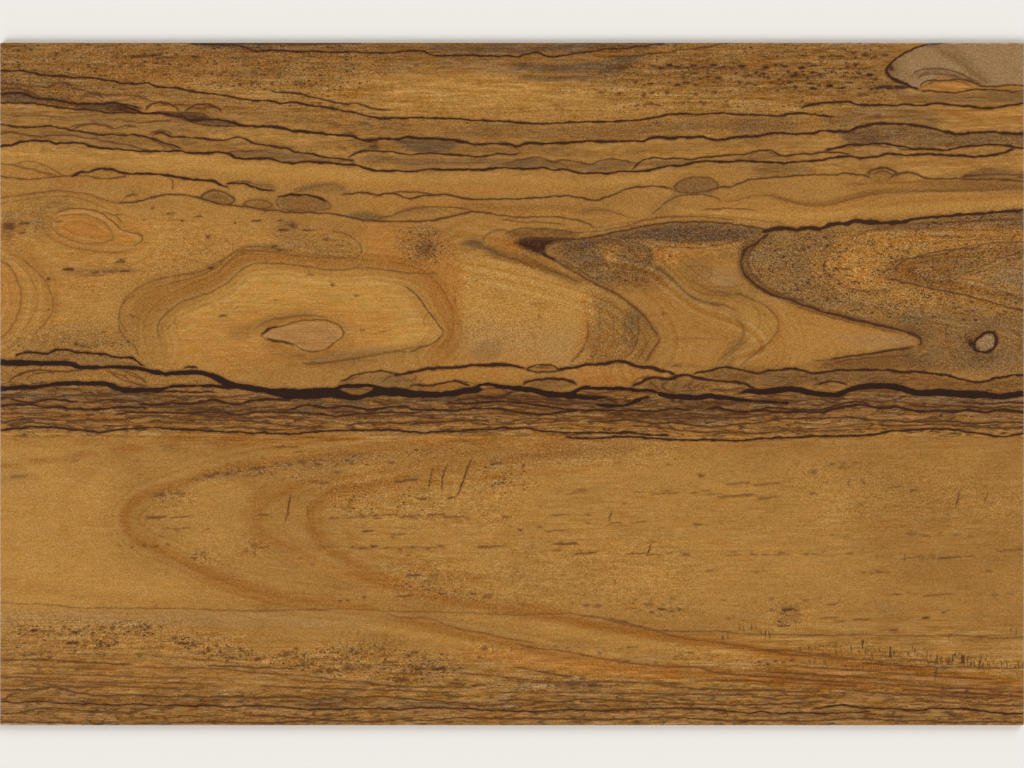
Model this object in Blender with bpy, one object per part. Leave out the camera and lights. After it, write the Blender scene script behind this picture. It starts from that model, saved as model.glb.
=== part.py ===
"""A polished quartzite slab, sawn from a block: one solid piece of stone.

Metres, +Z up. The slab lies on its sawn back, the origin is the centre of that back face,
+X runs along the bedding (the slab's length) and +Z is the polished face.
"""

import math

import bmesh
import bpy
from mathutils import Matrix

# Driving dimensions of the sawn blank.
SLAB_LENGTH = 3.000
LENGTH_TO_WIDTH = 3.0 / 2.0
SLAB_THICKNESS = 0.020

# The saw leaves square edges, which are eased by hand so that they don't chip.
CORNER_RADIUS = 0.004
FACE_ARRIS = 0.0015
CORNER_STEPS = 4
ARRIS_STEPS = 2
ROUND_PROFILE = 0.5

# Worked out from the dimensions above.
SLAB_WIDTH = SLAB_LENGTH / LENGTH_TO_WIDTH
MID_THICKNESS = SLAB_THICKNESS / 2

# A face counts as lying flat when its normal's height is over this.
FLAT_NORMAL = 0.5

STONE_COLOUR = (0.29, 0.14, 0.04, 1.0)
STONE_ROUGHNESS = 0.3
STONE_METALLIC = 0.0
SMOOTH_UNDER = math.radians(30)


def clear_scene():
    """Removes what the startup file holds."""
    for thing in list(bpy.data.objects):
        bpy.data.objects.remove(thing)


def stone_material():
    """The slab's plain stone: ochre, not metallic, with a polished sheen."""
    stone = bpy.data.materials.new("ochre_quartzite")
    stone.use_nodes = True
    shader = stone.node_tree.nodes["Principled BSDF"]
    shader.inputs["Base Color"].default_value = STONE_COLOUR
    shader.inputs["Roughness"].default_value = STONE_ROUGHNESS
    shader.inputs["Metallic"].default_value = STONE_METALLIC
    return stone


def is_upright(edge):
    """True for the four edges that run through the slab's thickness."""
    first, second = edge.verts
    return abs(first.co.z - second.co.z) > MID_THICKNESS


def lies_flat(face):
    """True for the polished face and the sawn back."""
    return abs(face.normal.z) > FLAT_NORMAL


def is_rim(edge):
    """True for an edge that borders the polished face or the sawn back."""
    first, second = edge.link_faces
    return lies_flat(first) != lies_flat(second)


def sawn_blank():
    """A bmesh of the square-edged blank, lying on the ground."""
    blank = bmesh.new()
    bmesh.ops.create_cube(blank, size=1.0)
    bmesh.ops.transform(
        blank,
        matrix=Matrix.Diagonal((SLAB_LENGTH, SLAB_WIDTH, SLAB_THICKNESS, 1.0)),
        verts=blank.verts,
    )
    bmesh.ops.translate(blank, vec=(0.0, 0.0, MID_THICKNESS), verts=blank.verts)
    return blank


def ease(blank, edges, width, steps):
    """Rounds the given edges of the blank."""
    bmesh.ops.bevel(
        blank,
        geom=edges,
        offset=width,
        segments=steps,
        profile=ROUND_PROFILE,
        affect="EDGES",
        clamp_overlap=True,
    )
    blank.normal_update()


def build_slab():
    """The whole slab as one object."""
    blank = sawn_blank()
    ease(blank, [e for e in blank.edges if is_upright(e)], CORNER_RADIUS, CORNER_STEPS)
    ease(blank, [e for e in blank.edges if is_rim(e)], FACE_ARRIS, ARRIS_STEPS)
    mesh = bpy.data.meshes.new("quartzite_slab")
    blank.to_mesh(mesh)
    blank.free()
    mesh.materials.append(stone_material())
    mesh.shade_smooth()
    mesh.set_sharp_from_angle(angle=SMOOTH_UNDER)
    slab = bpy.data.objects.new("quartzite_slab", mesh)
    bpy.context.scene.collection.objects.link(slab)
    return slab


clear_scene()
build_slab()
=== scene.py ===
"""The looks of a polished quartzite slab: its figure, its faces, and the studio round it.

The stone's figure is laid out in centimetres from the slab's lower left corner, as
(along, up): along runs with the bedding from 0 to 300, and up runs across it from 0 to 200.
Every seam, bed and stain is placed in that grid and then carried by the mesh as
attributes, which the stone's nodes turn into crisp lines and grainy colour.
"""

import logging
import math
from collections.abc import Callable
from dataclasses import dataclass
from enum import Enum

import bmesh
import bpy
import numpy as np
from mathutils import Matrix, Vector


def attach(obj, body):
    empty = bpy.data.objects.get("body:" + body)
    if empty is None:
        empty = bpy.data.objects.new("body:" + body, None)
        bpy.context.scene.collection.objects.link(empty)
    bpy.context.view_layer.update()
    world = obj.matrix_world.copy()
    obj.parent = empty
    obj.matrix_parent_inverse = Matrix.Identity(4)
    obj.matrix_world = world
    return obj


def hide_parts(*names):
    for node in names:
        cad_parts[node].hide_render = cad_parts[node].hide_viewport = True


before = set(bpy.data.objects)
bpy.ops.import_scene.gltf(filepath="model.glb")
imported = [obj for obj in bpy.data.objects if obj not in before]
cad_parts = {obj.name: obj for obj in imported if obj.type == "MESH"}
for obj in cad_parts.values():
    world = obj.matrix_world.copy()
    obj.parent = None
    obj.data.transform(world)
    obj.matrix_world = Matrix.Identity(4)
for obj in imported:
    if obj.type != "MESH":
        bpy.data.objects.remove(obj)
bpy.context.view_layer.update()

log = logging.getLogger("quartzite_slab")

Route = tuple[tuple[float, float], ...]
Profile = tuple[tuple[float, float, float], ...]
Triple = tuple[float, float, float]
Pair = tuple[float, float]
Socket = bpy.types.NodeSocket
Feed = Socket | float | tuple[float, ...]

NODE = "quartzite_slab"
BODY = "root"

CENTIMETRE = 0.01
SLAB_ALONG = 300.0
SLAB_UP = 200.0


class Mineral(Enum):
    """What stains the stone; the value is its place among the mesh's stain attributes."""

    HONEY = 0
    BUFF = 1
    EMBER = 2
    RUST = 3
    SMOKE = 4
    PLUM = 5
    UMBER = 6
    PEPPER = 7
    STREAK = 8
    COMB = 9
    STRATA = 10
    GROWTH = 11


@dataclass(frozen=True)
class Seam:
    """A thin dark layer, seen on edge as a line.

    width is across the line in centimetres, dark is how much of the ground it hides, and
    closed joins the route's ends into a ring.
    """

    width: float
    dark: float
    route: Route
    closed: bool = False


@dataclass(frozen=True)
class Lode:
    """A thick dark layer, given as (along, top, bottom) stations."""

    profile: Profile


@dataclass(frozen=True)
class Stain:
    """A patch of one mineral inside a smooth outline, feathered at its edge."""

    mineral: Mineral
    strength: float
    feather: float
    outline: Route


@dataclass(frozen=True)
class Band:
    """A ribbon of one mineral along a route; width is its full width."""

    mineral: Mineral
    strength: float
    width: float
    feather: float
    route: Route


@dataclass(frozen=True)
class Ring:
    """An outline that growth bands follow on both sides, out to its reach.

    start shifts the bands, so that rings side by side don't show the same ones.
    """

    strength: float
    reach: float
    start: float
    route: Route
    closed: bool = False


HONEY, BUFF, EMBER = Mineral.HONEY, Mineral.BUFF, Mineral.EMBER
RUST, SMOKE, PLUM = Mineral.RUST, Mineral.SMOKE, Mineral.PLUM
UMBER, PEPPER, STREAK = Mineral.UMBER, Mineral.PEPPER, Mineral.STREAK
STRATA = Mineral.STRATA

# The speckled roof of the slab and the tan lens in its corner.
ROOF_SEAMS = (
    Seam(0.45, 0.85, (
        (55, 199.7), (62, 199.5), (68, 199.3), (71, 199), (72.5, 198.3), (74, 197.7), (80, 197.8),
        (86, 197.4), (92, 197.5), (98, 197.2), (103, 197.4), (108, 197), (114, 197), (119, 197.5),
        (125, 197.2), (126.5, 196.4), (131, 196.2), (137, 196.3), (143, 196.1), (149, 196.1), (152, 195.9),
        (154.5, 196.8), (158, 197), (160.5, 195.9), (165, 196.2), (168.5, 196.9), (173, 197.3), (177, 198.1),
        (182, 198.2), (187, 198.9), (191, 199.3), (195, 200.2))),
    Seam(0.35, 0.6, (
        (177, 195.9), (184, 196.1), (188, 196.3), (191, 196.8), (195, 197.1), (199, 197.8), (204, 198.3),
        (210, 199.3), (214, 200.3))),
    Seam(0.5, 0.85, (
        (-1, 191.8), (3, 191.8), (7, 191.6), (10, 191.1), (11.5, 190.4), (13, 190.6), (14.5, 190.2),
        (17, 190.4), (21, 189.9), (25, 189.8), (28, 189.5), (31, 189), (34, 188.5), (36, 188.2), (39, 188),
        (43, 188.1), (45.5, 187.3), (48, 186.9), (51, 186.8), (54, 186.3), (57, 185.7), (61, 185.2),
        (65, 184.7), (68, 184), (72, 183.3), (75, 183.1), (78, 183), (80.5, 182.7), (82, 182.2), (84, 182.5),
        (87, 182.5), (90, 181.8), (94, 181.3), (98, 180.6), (101, 179.9), (104, 179.5), (107, 178.6),
        (111, 178), (115, 177.9), (122, 178), (130, 177.9), (135, 177.6), (140, 177.2), (147, 177),
        (151, 176.7), (155, 176.3), (159, 176.3), (165, 176.6), (172, 176.8), (178, 176.8), (182, 177.1),
        (186, 177.2), (190, 177.8), (194, 178.6), (198, 179.1), (205, 179), (212, 179.4), (216, 179),
        (222, 178.8), (230, 178.8), (231.5, 179.2), (236, 179.2), (240, 178.7), (245, 178.3))),
    Seam(0.3, 0.7, ((36, 188.3), (36.6, 189.2), (37.3, 188.9), (38.2, 188.2))),
    Seam(0.4, 0.75, (
        (78, 186), (82, 185.5), (86, 185.2), (89, 184.8), (91, 184), (93.5, 183.7), (96, 183), (99, 182.4),
        (101.5, 181.9), (104, 182.2), (106, 181.8), (108.5, 180.9), (111, 180.4), (115, 180.3))),
    Seam(0.55, 0.9, (
        (234, 180.6), (237, 181.7), (240, 182.2), (245, 182.6), (249, 182.5), (251, 181.9), (255, 181.8),
        (259, 181.8), (263, 181.6), (265, 182), (267, 181.6), (271, 181.8), (275, 182.2), (278, 181.8),
        (281, 181.5), (284, 181.4), (287, 180.9), (290, 180.8), (294, 181.4), (297, 181.9), (301, 182.4))),
    # The outline of the tan lens and the lines at its base.
    Seam(0.55, 0.95, (
        (279, 200.4), (273, 199.6), (269, 198.8), (266, 197.5), (263.5, 195.9), (261.3, 194.2),
        (260.2, 193.2), (259.7, 191.9), (260.2, 190.6), (261.7, 189.4), (264, 188.3), (266.4, 187.2),
        (268.4, 186.6), (269.8, 185.9))),
    Seam(0.9, 0.95, (
        (261.6, 194.3), (260.4, 193.3), (259.7, 191.9), (260.3, 190.6), (262.2, 189.2), (264.5, 188.2),
        (267, 187.1))),
    Seam(1.0, 0.95, ((259.6, 192.3), (260.8, 192.4), (262.6, 192.4))),
    Seam(0.4, 0.75, (
        (269, 186.1), (273, 185.7), (278, 185.4), (282, 185.6), (284, 186.1), (290, 186.2), (295, 185.8),
        (301, 185.8))),
    Seam(0.4, 0.7, (
        (269.6, 186.2), (269.9, 187.6), (271, 188.6), (273, 188.9), (277, 188.9), (280, 189.3), (283, 189),
        (285, 188.4), (286.6, 187.6), (288.4, 187.1), (292, 187.2), (296, 187.6), (301, 187.4))),
    Seam(0.9, 0.6, ((60, 199.8), (75, 199.9), (90, 199.8), (105, 200))),
    Seam(0.45, 0.7, ((42, 179.6), (44.4, 181.8), (48, 182.6), (51.6, 181), (53, 179.4))),
    Seam(0.45, 0.7, ((53.4, 179.2), (56, 181.2), (60, 182), (63.6, 181), (65.6, 179.2))),
    Seam(0.6, 0.8, ((33, 181.2), (36, 181.9), (39, 181.3), (42, 180.4))),
    Seam(0.4, 0.6, ((14, 187), (16.6, 188.4), (20, 188), (22, 187))),
    Seam(0.4, 0.6, ((23, 183.6), (26, 185), (29.4, 184.4), (31, 183))),
    Seam(0.35, 0.55, (
        (267, 190.4), (269, 191.8), (273, 192.4), (278, 192), (282, 190.6), (285.6, 188.6), (288, 187.6))),
    Seam(0.35, 0.5, ((268, 189), (270, 190.4), (275, 190.8), (280, 190.2), (284, 188.6))),
    Seam(0.35, 0.5, ((270, 186.6), (273, 188.4), (278, 189), (282.6, 188.2), (285, 187))),
)

# The stacked beds below the roof, from 164 to 189.
BED_SEAMS = (
    Seam(0.4, 0.55, (
        (-1, 188.4), (3, 187.9), (6, 187.8), (7.5, 187.2), (12, 187.3), (14.5, 186.9), (16, 187.7),
        (18, 188.1), (20, 187.8), (21.5, 186.5), (24, 186.3), (26, 185.7), (28, 185.1), (31, 184.9),
        (36, 184.7), (40, 184.4), (43, 183.4), (46, 182.5), (50, 182), (54, 181.7), (57, 180.9),
        (60, 180.6))),
    Seam(0.35, 0.6, ((59, 180.3), (60.3, 181.2), (62.5, 181.3), (64, 180.6), (65.3, 179.4))),
    Seam(0.4, 0.6, ((-1, 186), (3, 186.7), (6, 186.5), (8, 185.8), (10, 184.8), (12.5, 183.8), (14, 183.4))),
    Seam(0.35, 0.5, ((22, 182.4), (24.5, 183.8), (27.5, 184.1), (29.5, 183.3), (31, 182.4))),
    Seam(0.7, 0.95, (
        (-1, 184.9), (3, 185.2), (7, 185), (10, 183.9), (13, 183.4), (16, 183.3), (19, 182.6), (22, 182.2),
        (26, 182), (30, 182.1), (34, 182.4), (36, 181.9), (37.3, 180.9), (39.5, 180.4), (42, 179.3),
        (45, 179.4), (48, 179.2), (51, 178.5), (53.5, 178.1), (55, 177.4), (57.5, 177.2), (60.5, 177.6),
        (65, 177.3), (68, 176.6), (70, 175.9), (73, 175.6), (77, 175.4), (80, 175.4), (83, 174.8),
        (86, 174.1), (90, 173.8), (95, 173.3), (100, 172.8), (103, 172.6), (105.5, 171.8), (107.5, 171.3),
        (109.5, 171.4), (111.5, 171.9), (114, 171.8), (117, 171.8), (119.5, 172.3), (123, 171.9),
        (128, 171.8), (132, 171.6), (134.5, 171.1), (138, 170.5), (141, 170.2), (144, 170.5), (148, 170.3),
        (150, 170), (151.6, 169.4), (153, 170.3), (155.5, 170.6), (159, 170.3), (165, 170.6), (172, 171.1),
        (178, 171), (184, 171.2), (188.5, 171.3), (190.5, 172.1), (196, 172.1), (203, 172.3), (206, 172.4),
        (209, 171.6), (214, 172), (218, 172.5), (222, 172.7), (227, 173.5), (233, 173.3), (238, 173.5),
        (241, 174.1), (245, 173.9), (249, 174), (251, 175), (254, 175.9), (258, 176.2), (264, 176.1),
        (269, 175.7), (272, 175.2), (275, 174.2), (277.5, 173.8), (279.5, 173.2), (284, 173.5), (290, 173.9),
        (295, 173.4), (301, 173.3))),
    Seam(0.55, 0.5, (
        (82, 175), (86, 174.1), (90, 173.8), (95, 173.3), (100, 172.8), (104, 172.3), (108, 171.3))),
    Seam(0.48, 0.82, (
        (-1, 182.4), (5, 182.3), (10, 182.3), (13, 181.8), (16, 181.3), (19, 180.8), (23, 180.5), (26, 180.4),
        (29, 180), (31.5, 179.4), (33.5, 179.5), (36, 179.6), (40, 179.4), (43, 179.3))),
    Seam(0.35, 0.7, (
        (50, 178.8), (53, 177.7), (56, 176.8), (59, 176.1), (63, 175.6), (67, 175.6), (71, 175.9))),
    Seam(0.5, 0.55, ((46, 179.3), (52, 179.4), (58, 179.3), (60.5, 178.5), (61.5, 177.7))),
    Seam(0.35, 0.55, ((35, 176.8), (38, 177), (40.5, 176.6), (44, 176.8), (48, 177.1), (51, 177.2))),
    Seam(0.35, 0.55, (
        (20, 175.2), (23, 175.9), (27, 176.1), (31, 175.6), (33.5, 174.9), (37, 175.6), (41, 175.5))),
    Seam(0.3, 0.4, ((2, 178.3), (8, 178.7), (14, 178.5), (20, 178))),
    Seam(0.48, 0.82, (
        (-1, 176.1), (3, 175.6), (8, 175.2), (11, 175.4), (15, 175.5), (18, 174.9), (22, 174.2), (25, 173.8),
        (28, 173.1), (32, 173.1), (36, 172.9), (40, 173), (42, 172.6), (45, 171.7), (47.5, 170.9),
        (50, 170.1), (52, 169.4), (54, 168.5))),
    Seam(0.3, 0.55, ((43, 172.2), (46, 170.8), (48, 169.6), (49, 168.6))),
    Seam(0.3, 0.55, ((45.5, 171.5), (48, 170.3), (50.5, 169.2), (52, 168.6))),
    Seam(0.38, 0.55, (
        (-1, 173.2), (3, 173.8), (6, 173.3), (9, 172.7), (13, 172.6), (17, 172.9), (21, 172.8), (24, 172.2),
        (27, 172), (30, 171.4), (34, 170.6), (38, 169.8), (41, 169), (44, 168.4))),
    Seam(0.56, 0.92, (
        (-1, 169.4), (2, 169.9), (4, 169.9), (5, 170.7), (8, 171.1), (12, 171.3), (14, 171.1), (16, 170.5),
        (19, 170.6), (24, 170.5), (26, 169.8), (27.5, 169.4), (31, 169), (35, 168.8), (39, 168.4),
        (43, 168.1), (48, 168.2), (53, 168.2), (55, 167.8), (60, 167.6), (65, 167.9), (67.5, 167.3),
        (69, 166.3), (73, 166.1), (77, 166.1), (80, 165.8), (82, 165.1), (84, 164.9), (86, 164.6),
        (89, 165.1), (93, 165), (97, 164.8), (101, 164.3), (105, 164), (108, 163), (110, 162.5), (114, 162.4),
        (118, 162.4), (122, 162.3), (125.5, 162.9), (130, 162.8), (136, 162.9), (142, 162.8), (145, 163.3),
        (150, 163.2), (155, 163.1), (159.5, 163.3), (162, 162.8), (166, 162.7), (170, 161.7), (173, 161.8),
        (176, 161.9), (178, 161.6), (180, 162.1), (184, 162.3), (188, 162.2), (192, 163.1), (196, 163.9),
        (200, 164.1), (204, 165), (208, 165.3), (212, 165.1), (218, 165.4), (222, 165.1), (227, 164.9),
        (232, 164.9), (236, 165.2), (241, 165.7), (245, 166.4), (249, 166.8), (252, 166.2), (256, 166.5),
        (260, 167.4), (263, 167.3), (266, 166.9), (269, 167.3), (274, 167.2), (280, 167), (287, 166.7),
        (292, 167.3), (295, 168.2), (297.8, 169))),
    Seam(0.5, 0.8, (
        (44, 172.6), (45, 173), (46, 173.5), (48, 173.5), (49, 172.8), (53, 172.4), (58, 172.1), (62, 171.6),
        (66, 171.5), (68, 172.1), (70, 172.2), (72, 171.8), (73.5, 170.9), (75.5, 170.2), (77.5, 169.9),
        (80, 169.7), (82, 169.2), (84, 169.2), (86, 168.2), (89, 167.7), (92, 167.3), (94, 166.6),
        (97, 166.2), (100, 165.9), (102, 165.7), (104.5, 164.9))),
    Seam(0.35, 0.6, ((64, 167.7), (67, 167.9), (70, 168.2), (74, 168.2), (78, 168.8))),
    Seam(0.5, 0.8, (
        (101.5, 165.6), (103.5, 167.3), (106, 168.2), (109, 168.4), (112, 168.1), (115, 168.1), (118, 167.5),
        (121, 167.1), (124, 167.6), (128, 167.5), (132, 167.2), (137, 166.9), (140, 166.5), (143, 166.9),
        (146, 167.5), (150, 167.2), (153, 167.7))),
    Seam(0.35, 0.55, (
        (148, 164.6), (152, 165.6), (156, 166.4), (158, 166.4), (160, 165.7), (163, 165), (165, 164.6))),
    Seam(0.35, 0.6, (
        (159, 165.6), (162, 165.2), (165, 165.6), (168, 165.2), (171, 164.7), (174, 164.6), (176, 165.5),
        (179, 165.9), (183, 165.4), (187, 164.5))),
    Seam(0.45, 0.75, (
        (184.5, 162.3), (186, 163.5), (187, 164.6), (188.5, 165.7), (190.5, 166.2), (193, 166.3),
        (195, 165.9), (198, 166.2), (203, 165.8), (206, 166.4), (210, 166.7), (215, 167.2), (218, 167.2),
        (220.5, 168), (224, 168.5), (226, 168.3), (228.5, 167), (232, 167.1), (236, 167.5), (238, 167.2),
        (240, 167.9), (243, 168), (246, 167.7), (250, 167.2))),
    Seam(0.6, 0.9, (
        (241, 168.3), (243, 168.9), (246, 169.3), (248, 170), (252, 170.1), (256, 170.4), (260, 170.3),
        (263, 169.8), (265, 169.5), (267, 168.9), (270, 168.8), (273, 168.9), (275, 168.5), (279, 168.8),
        (281, 169.3), (285, 169.8), (290, 170.1), (294, 170), (297, 169.3), (301, 169.1))),
    Seam(0.35, 0.6, ((262, 169.5), (264, 168.7), (267, 168.7), (270, 168.6))),
    Seam(0.4, 0.6, ((43, 172.8), (45.6, 174), (49, 173.8), (51, 172.6))),
    Seam(0.4, 0.6, ((21, 174.6), (25, 176), (30, 176), (34, 174.8))),
    Seam(0.35, 0.55, ((219, 166.4), (223, 168.4), (228, 166.8))),
    Seam(0.35, 0.55, ((247, 169.2), (254, 170), (262, 169.2))),
    Seam(0.35, 0.55, ((281, 160.4), (288, 161.4), (300, 161.2))),
    Seam(0.4, 0.6, ((109, 154.8), (116, 156.2), (124, 156), (130, 154.8))),
    Seam(0.4, 0.6, ((66, 158.4), (70, 159.4), (75, 158.6))),
    Seam(0.35, 0.55, ((36, 154), (38.4, 155.6), (41, 154.8))),
    Seam(0.45, 0.7, (
        (254.2, 160.6), (255, 162.2), (257.4, 163.2), (260.4, 163), (262.6, 161.6), (263.2, 160.4))),
    Seam(0.35, 0.55, ((255.8, 161), (257.4, 162.2), (260, 162.2), (261.6, 161))),
)

# The broad pale beds from 146 to 166 and the little shapes that hang in them.
UPPER_SEAMS = (
    Seam(0.65, 0.9, (
        (20, 160.9), (22, 161), (23.3, 162), (24.5, 162.3), (25.7, 162), (27.5, 162.8), (29.5, 163.1),
        (32, 163), (35, 162.3), (37, 161.7), (41, 161.6), (45, 161.5), (50, 161), (54, 160.3), (59, 159.7),
        (63, 159.3), (65, 158.3), (67.5, 157.2))),
    Seam(0.35, 0.55, (
        (-1, 161.1), (3, 160.5), (7, 160), (10, 160), (14, 160.6), (18, 160.9), (22, 160.9), (26, 160.8),
        (30, 160.2), (34, 160.4), (38, 161.3))),
    Seam(0.5, 0.85, (
        (65.5, 158.3), (67.5, 158.8), (70, 158.8), (72, 158.6), (73.5, 158), (75.5, 157.1), (78, 156.7),
        (81, 156.5))),
    Seam(0.35, 0.45, ((-1, 164.6), (3, 164.3), (6, 163.6), (10, 162.6), (14, 161.6), (18, 160.9))),
    Seam(0.3, 0.4, ((4, 164.3), (8, 165.2), (11, 164.9), (14, 163.6), (17, 162), (19, 161))),
    Seam(0.3, 0.5, ((48.5, 160.8), (50.3, 160), (50.7, 158.3), (50, 156.2))),
    Seam(0.42, 0.66, (
        (34, 153.2), (38, 153.3), (42, 153.8), (46, 155), (50, 155.6), (55, 155.2), (60, 154.1), (64, 152.9),
        (68, 152.4), (73, 151.8), (77, 151.1), (80, 150.9), (85, 150.3), (90, 150.2), (96, 150), (100, 149.4),
        (105, 148.3), (110, 147.8), (115, 147.6), (120, 147.6), (126, 147.9), (131, 148.8), (136, 150),
        (139, 150.4), (143, 150.1), (147, 149.2))),
    Seam(0.4, 0.55, (
        (143, 150.1), (147, 149.3), (151, 148.8), (155, 148.8), (160, 149), (165, 148.7), (169, 148),
        (172, 147), (174.4, 145.8))),
    Seam(0.35, 0.45, (
        (180, 145.6), (185, 146.8), (190, 148.2), (195, 148.8), (201, 149), (208, 148.8), (216, 148))),
    Seam(0.3, 0.4, ((146, 148.4), (152, 147.6), (159, 147.4), (166, 146.6))),
    Seam(0.4, 0.6, (
        (58.8, 154.4), (59.8, 155.7), (61.5, 156.6), (64, 156.6), (66.6, 155.7), (68.8, 153.8), (68, 152.8),
        (65, 152.7), (61.5, 153.6)), closed=True),
    Seam(0.3, 0.45, (
        (71, 152.6), (74, 153.9), (77.5, 153.6), (80, 152.4), (77.5, 151.4), (73.5, 151.8)), closed=True),
    Seam(0.55, 0.85, ((80.6, 154.6), (83, 155.2), (88, 155.4), (92, 155.1), (94, 154.2), (96.5, 153.2))),
    Seam(0.4, 0.4, (
        (81.3, 154.6), (84, 155.3), (89, 155.4), (93, 154.8), (96, 153.4), (97.2, 152.1), (96, 151.2),
        (92.5, 150.7), (87, 150.7), (83, 151.1), (81.2, 152.5)), closed=True),
    Seam(0.4, 0.7, (
        (99.5, 155.2), (101.5, 155.8), (103, 155.6), (105, 156), (108, 155.9), (110, 155.4), (112, 155.7),
        (115, 155.9), (117, 155.3), (118.5, 154.5), (122, 154.5), (124, 155.2), (127, 155.2), (130, 155.6),
        (133, 155.2), (136, 154.3), (141, 154.1), (146, 154.2), (152, 154.3), (156, 154.5), (160, 154.8),
        (166, 155.2), (169, 154.8), (172, 154.1), (175.5, 153.9), (177, 154.6), (180, 155.6), (183, 156.9),
        (186, 157.6), (190, 157.9), (195, 157.6), (198, 156.8))),
    Seam(0.4, 0.5, (
        (197.3, 157.3), (199, 159.2), (202, 160.3), (206, 160.6), (209, 159.7), (210.6, 158), (207.5, 156.6),
        (202, 156), (199, 156.3)), closed=True),
    Seam(0.42, 0.65, (
        (207.5, 156.8), (211, 157.6), (214, 157.8), (216, 158.5), (219, 159.7), (224, 160.3), (227, 160.5),
        (232, 161), (240, 161.3), (246, 161.5), (247.3, 161.8), (249, 161.6), (252, 161.3), (254.2, 160.8),
        (255.6, 160.2))),
    Seam(0.42, 0.65, (
        (260, 159.9), (261.5, 160.9), (264, 161.8), (267, 161.8), (269.5, 161.1), (271, 160.4), (274, 160.1),
        (280, 160.2), (284, 160), (290, 160), (296, 159.7), (301, 159.3))),
    Seam(0.35, 0.65, ((280.5, 160.1), (282.5, 160.9), (284.5, 161.2), (287.5, 161))),
    Seam(0.35, 0.65, ((296.8, 160), (298.2, 160.6), (301, 160.5))),
    Seam(0.35, 0.5, (
        (253.3, 160.7), (254.8, 162.3), (257.5, 163.1), (260.5, 163), (262.6, 162.1), (264, 161.3))),
    Seam(0.3, 0.45, ((255.3, 160.6), (256.6, 162), (259, 162.4), (261, 161.7))),
    Seam(0.35, 0.55, (
        (190.5, 149.5), (193, 151.4), (195, 153.3), (197.5, 154.7), (201.5, 155.4), (206, 155.5),
        (209, 154.8), (212, 153.4))),
    Seam(0.3, 0.5, ((205, 150.8), (211, 151.4), (217, 151.3), (222, 150.6))),
)

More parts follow.
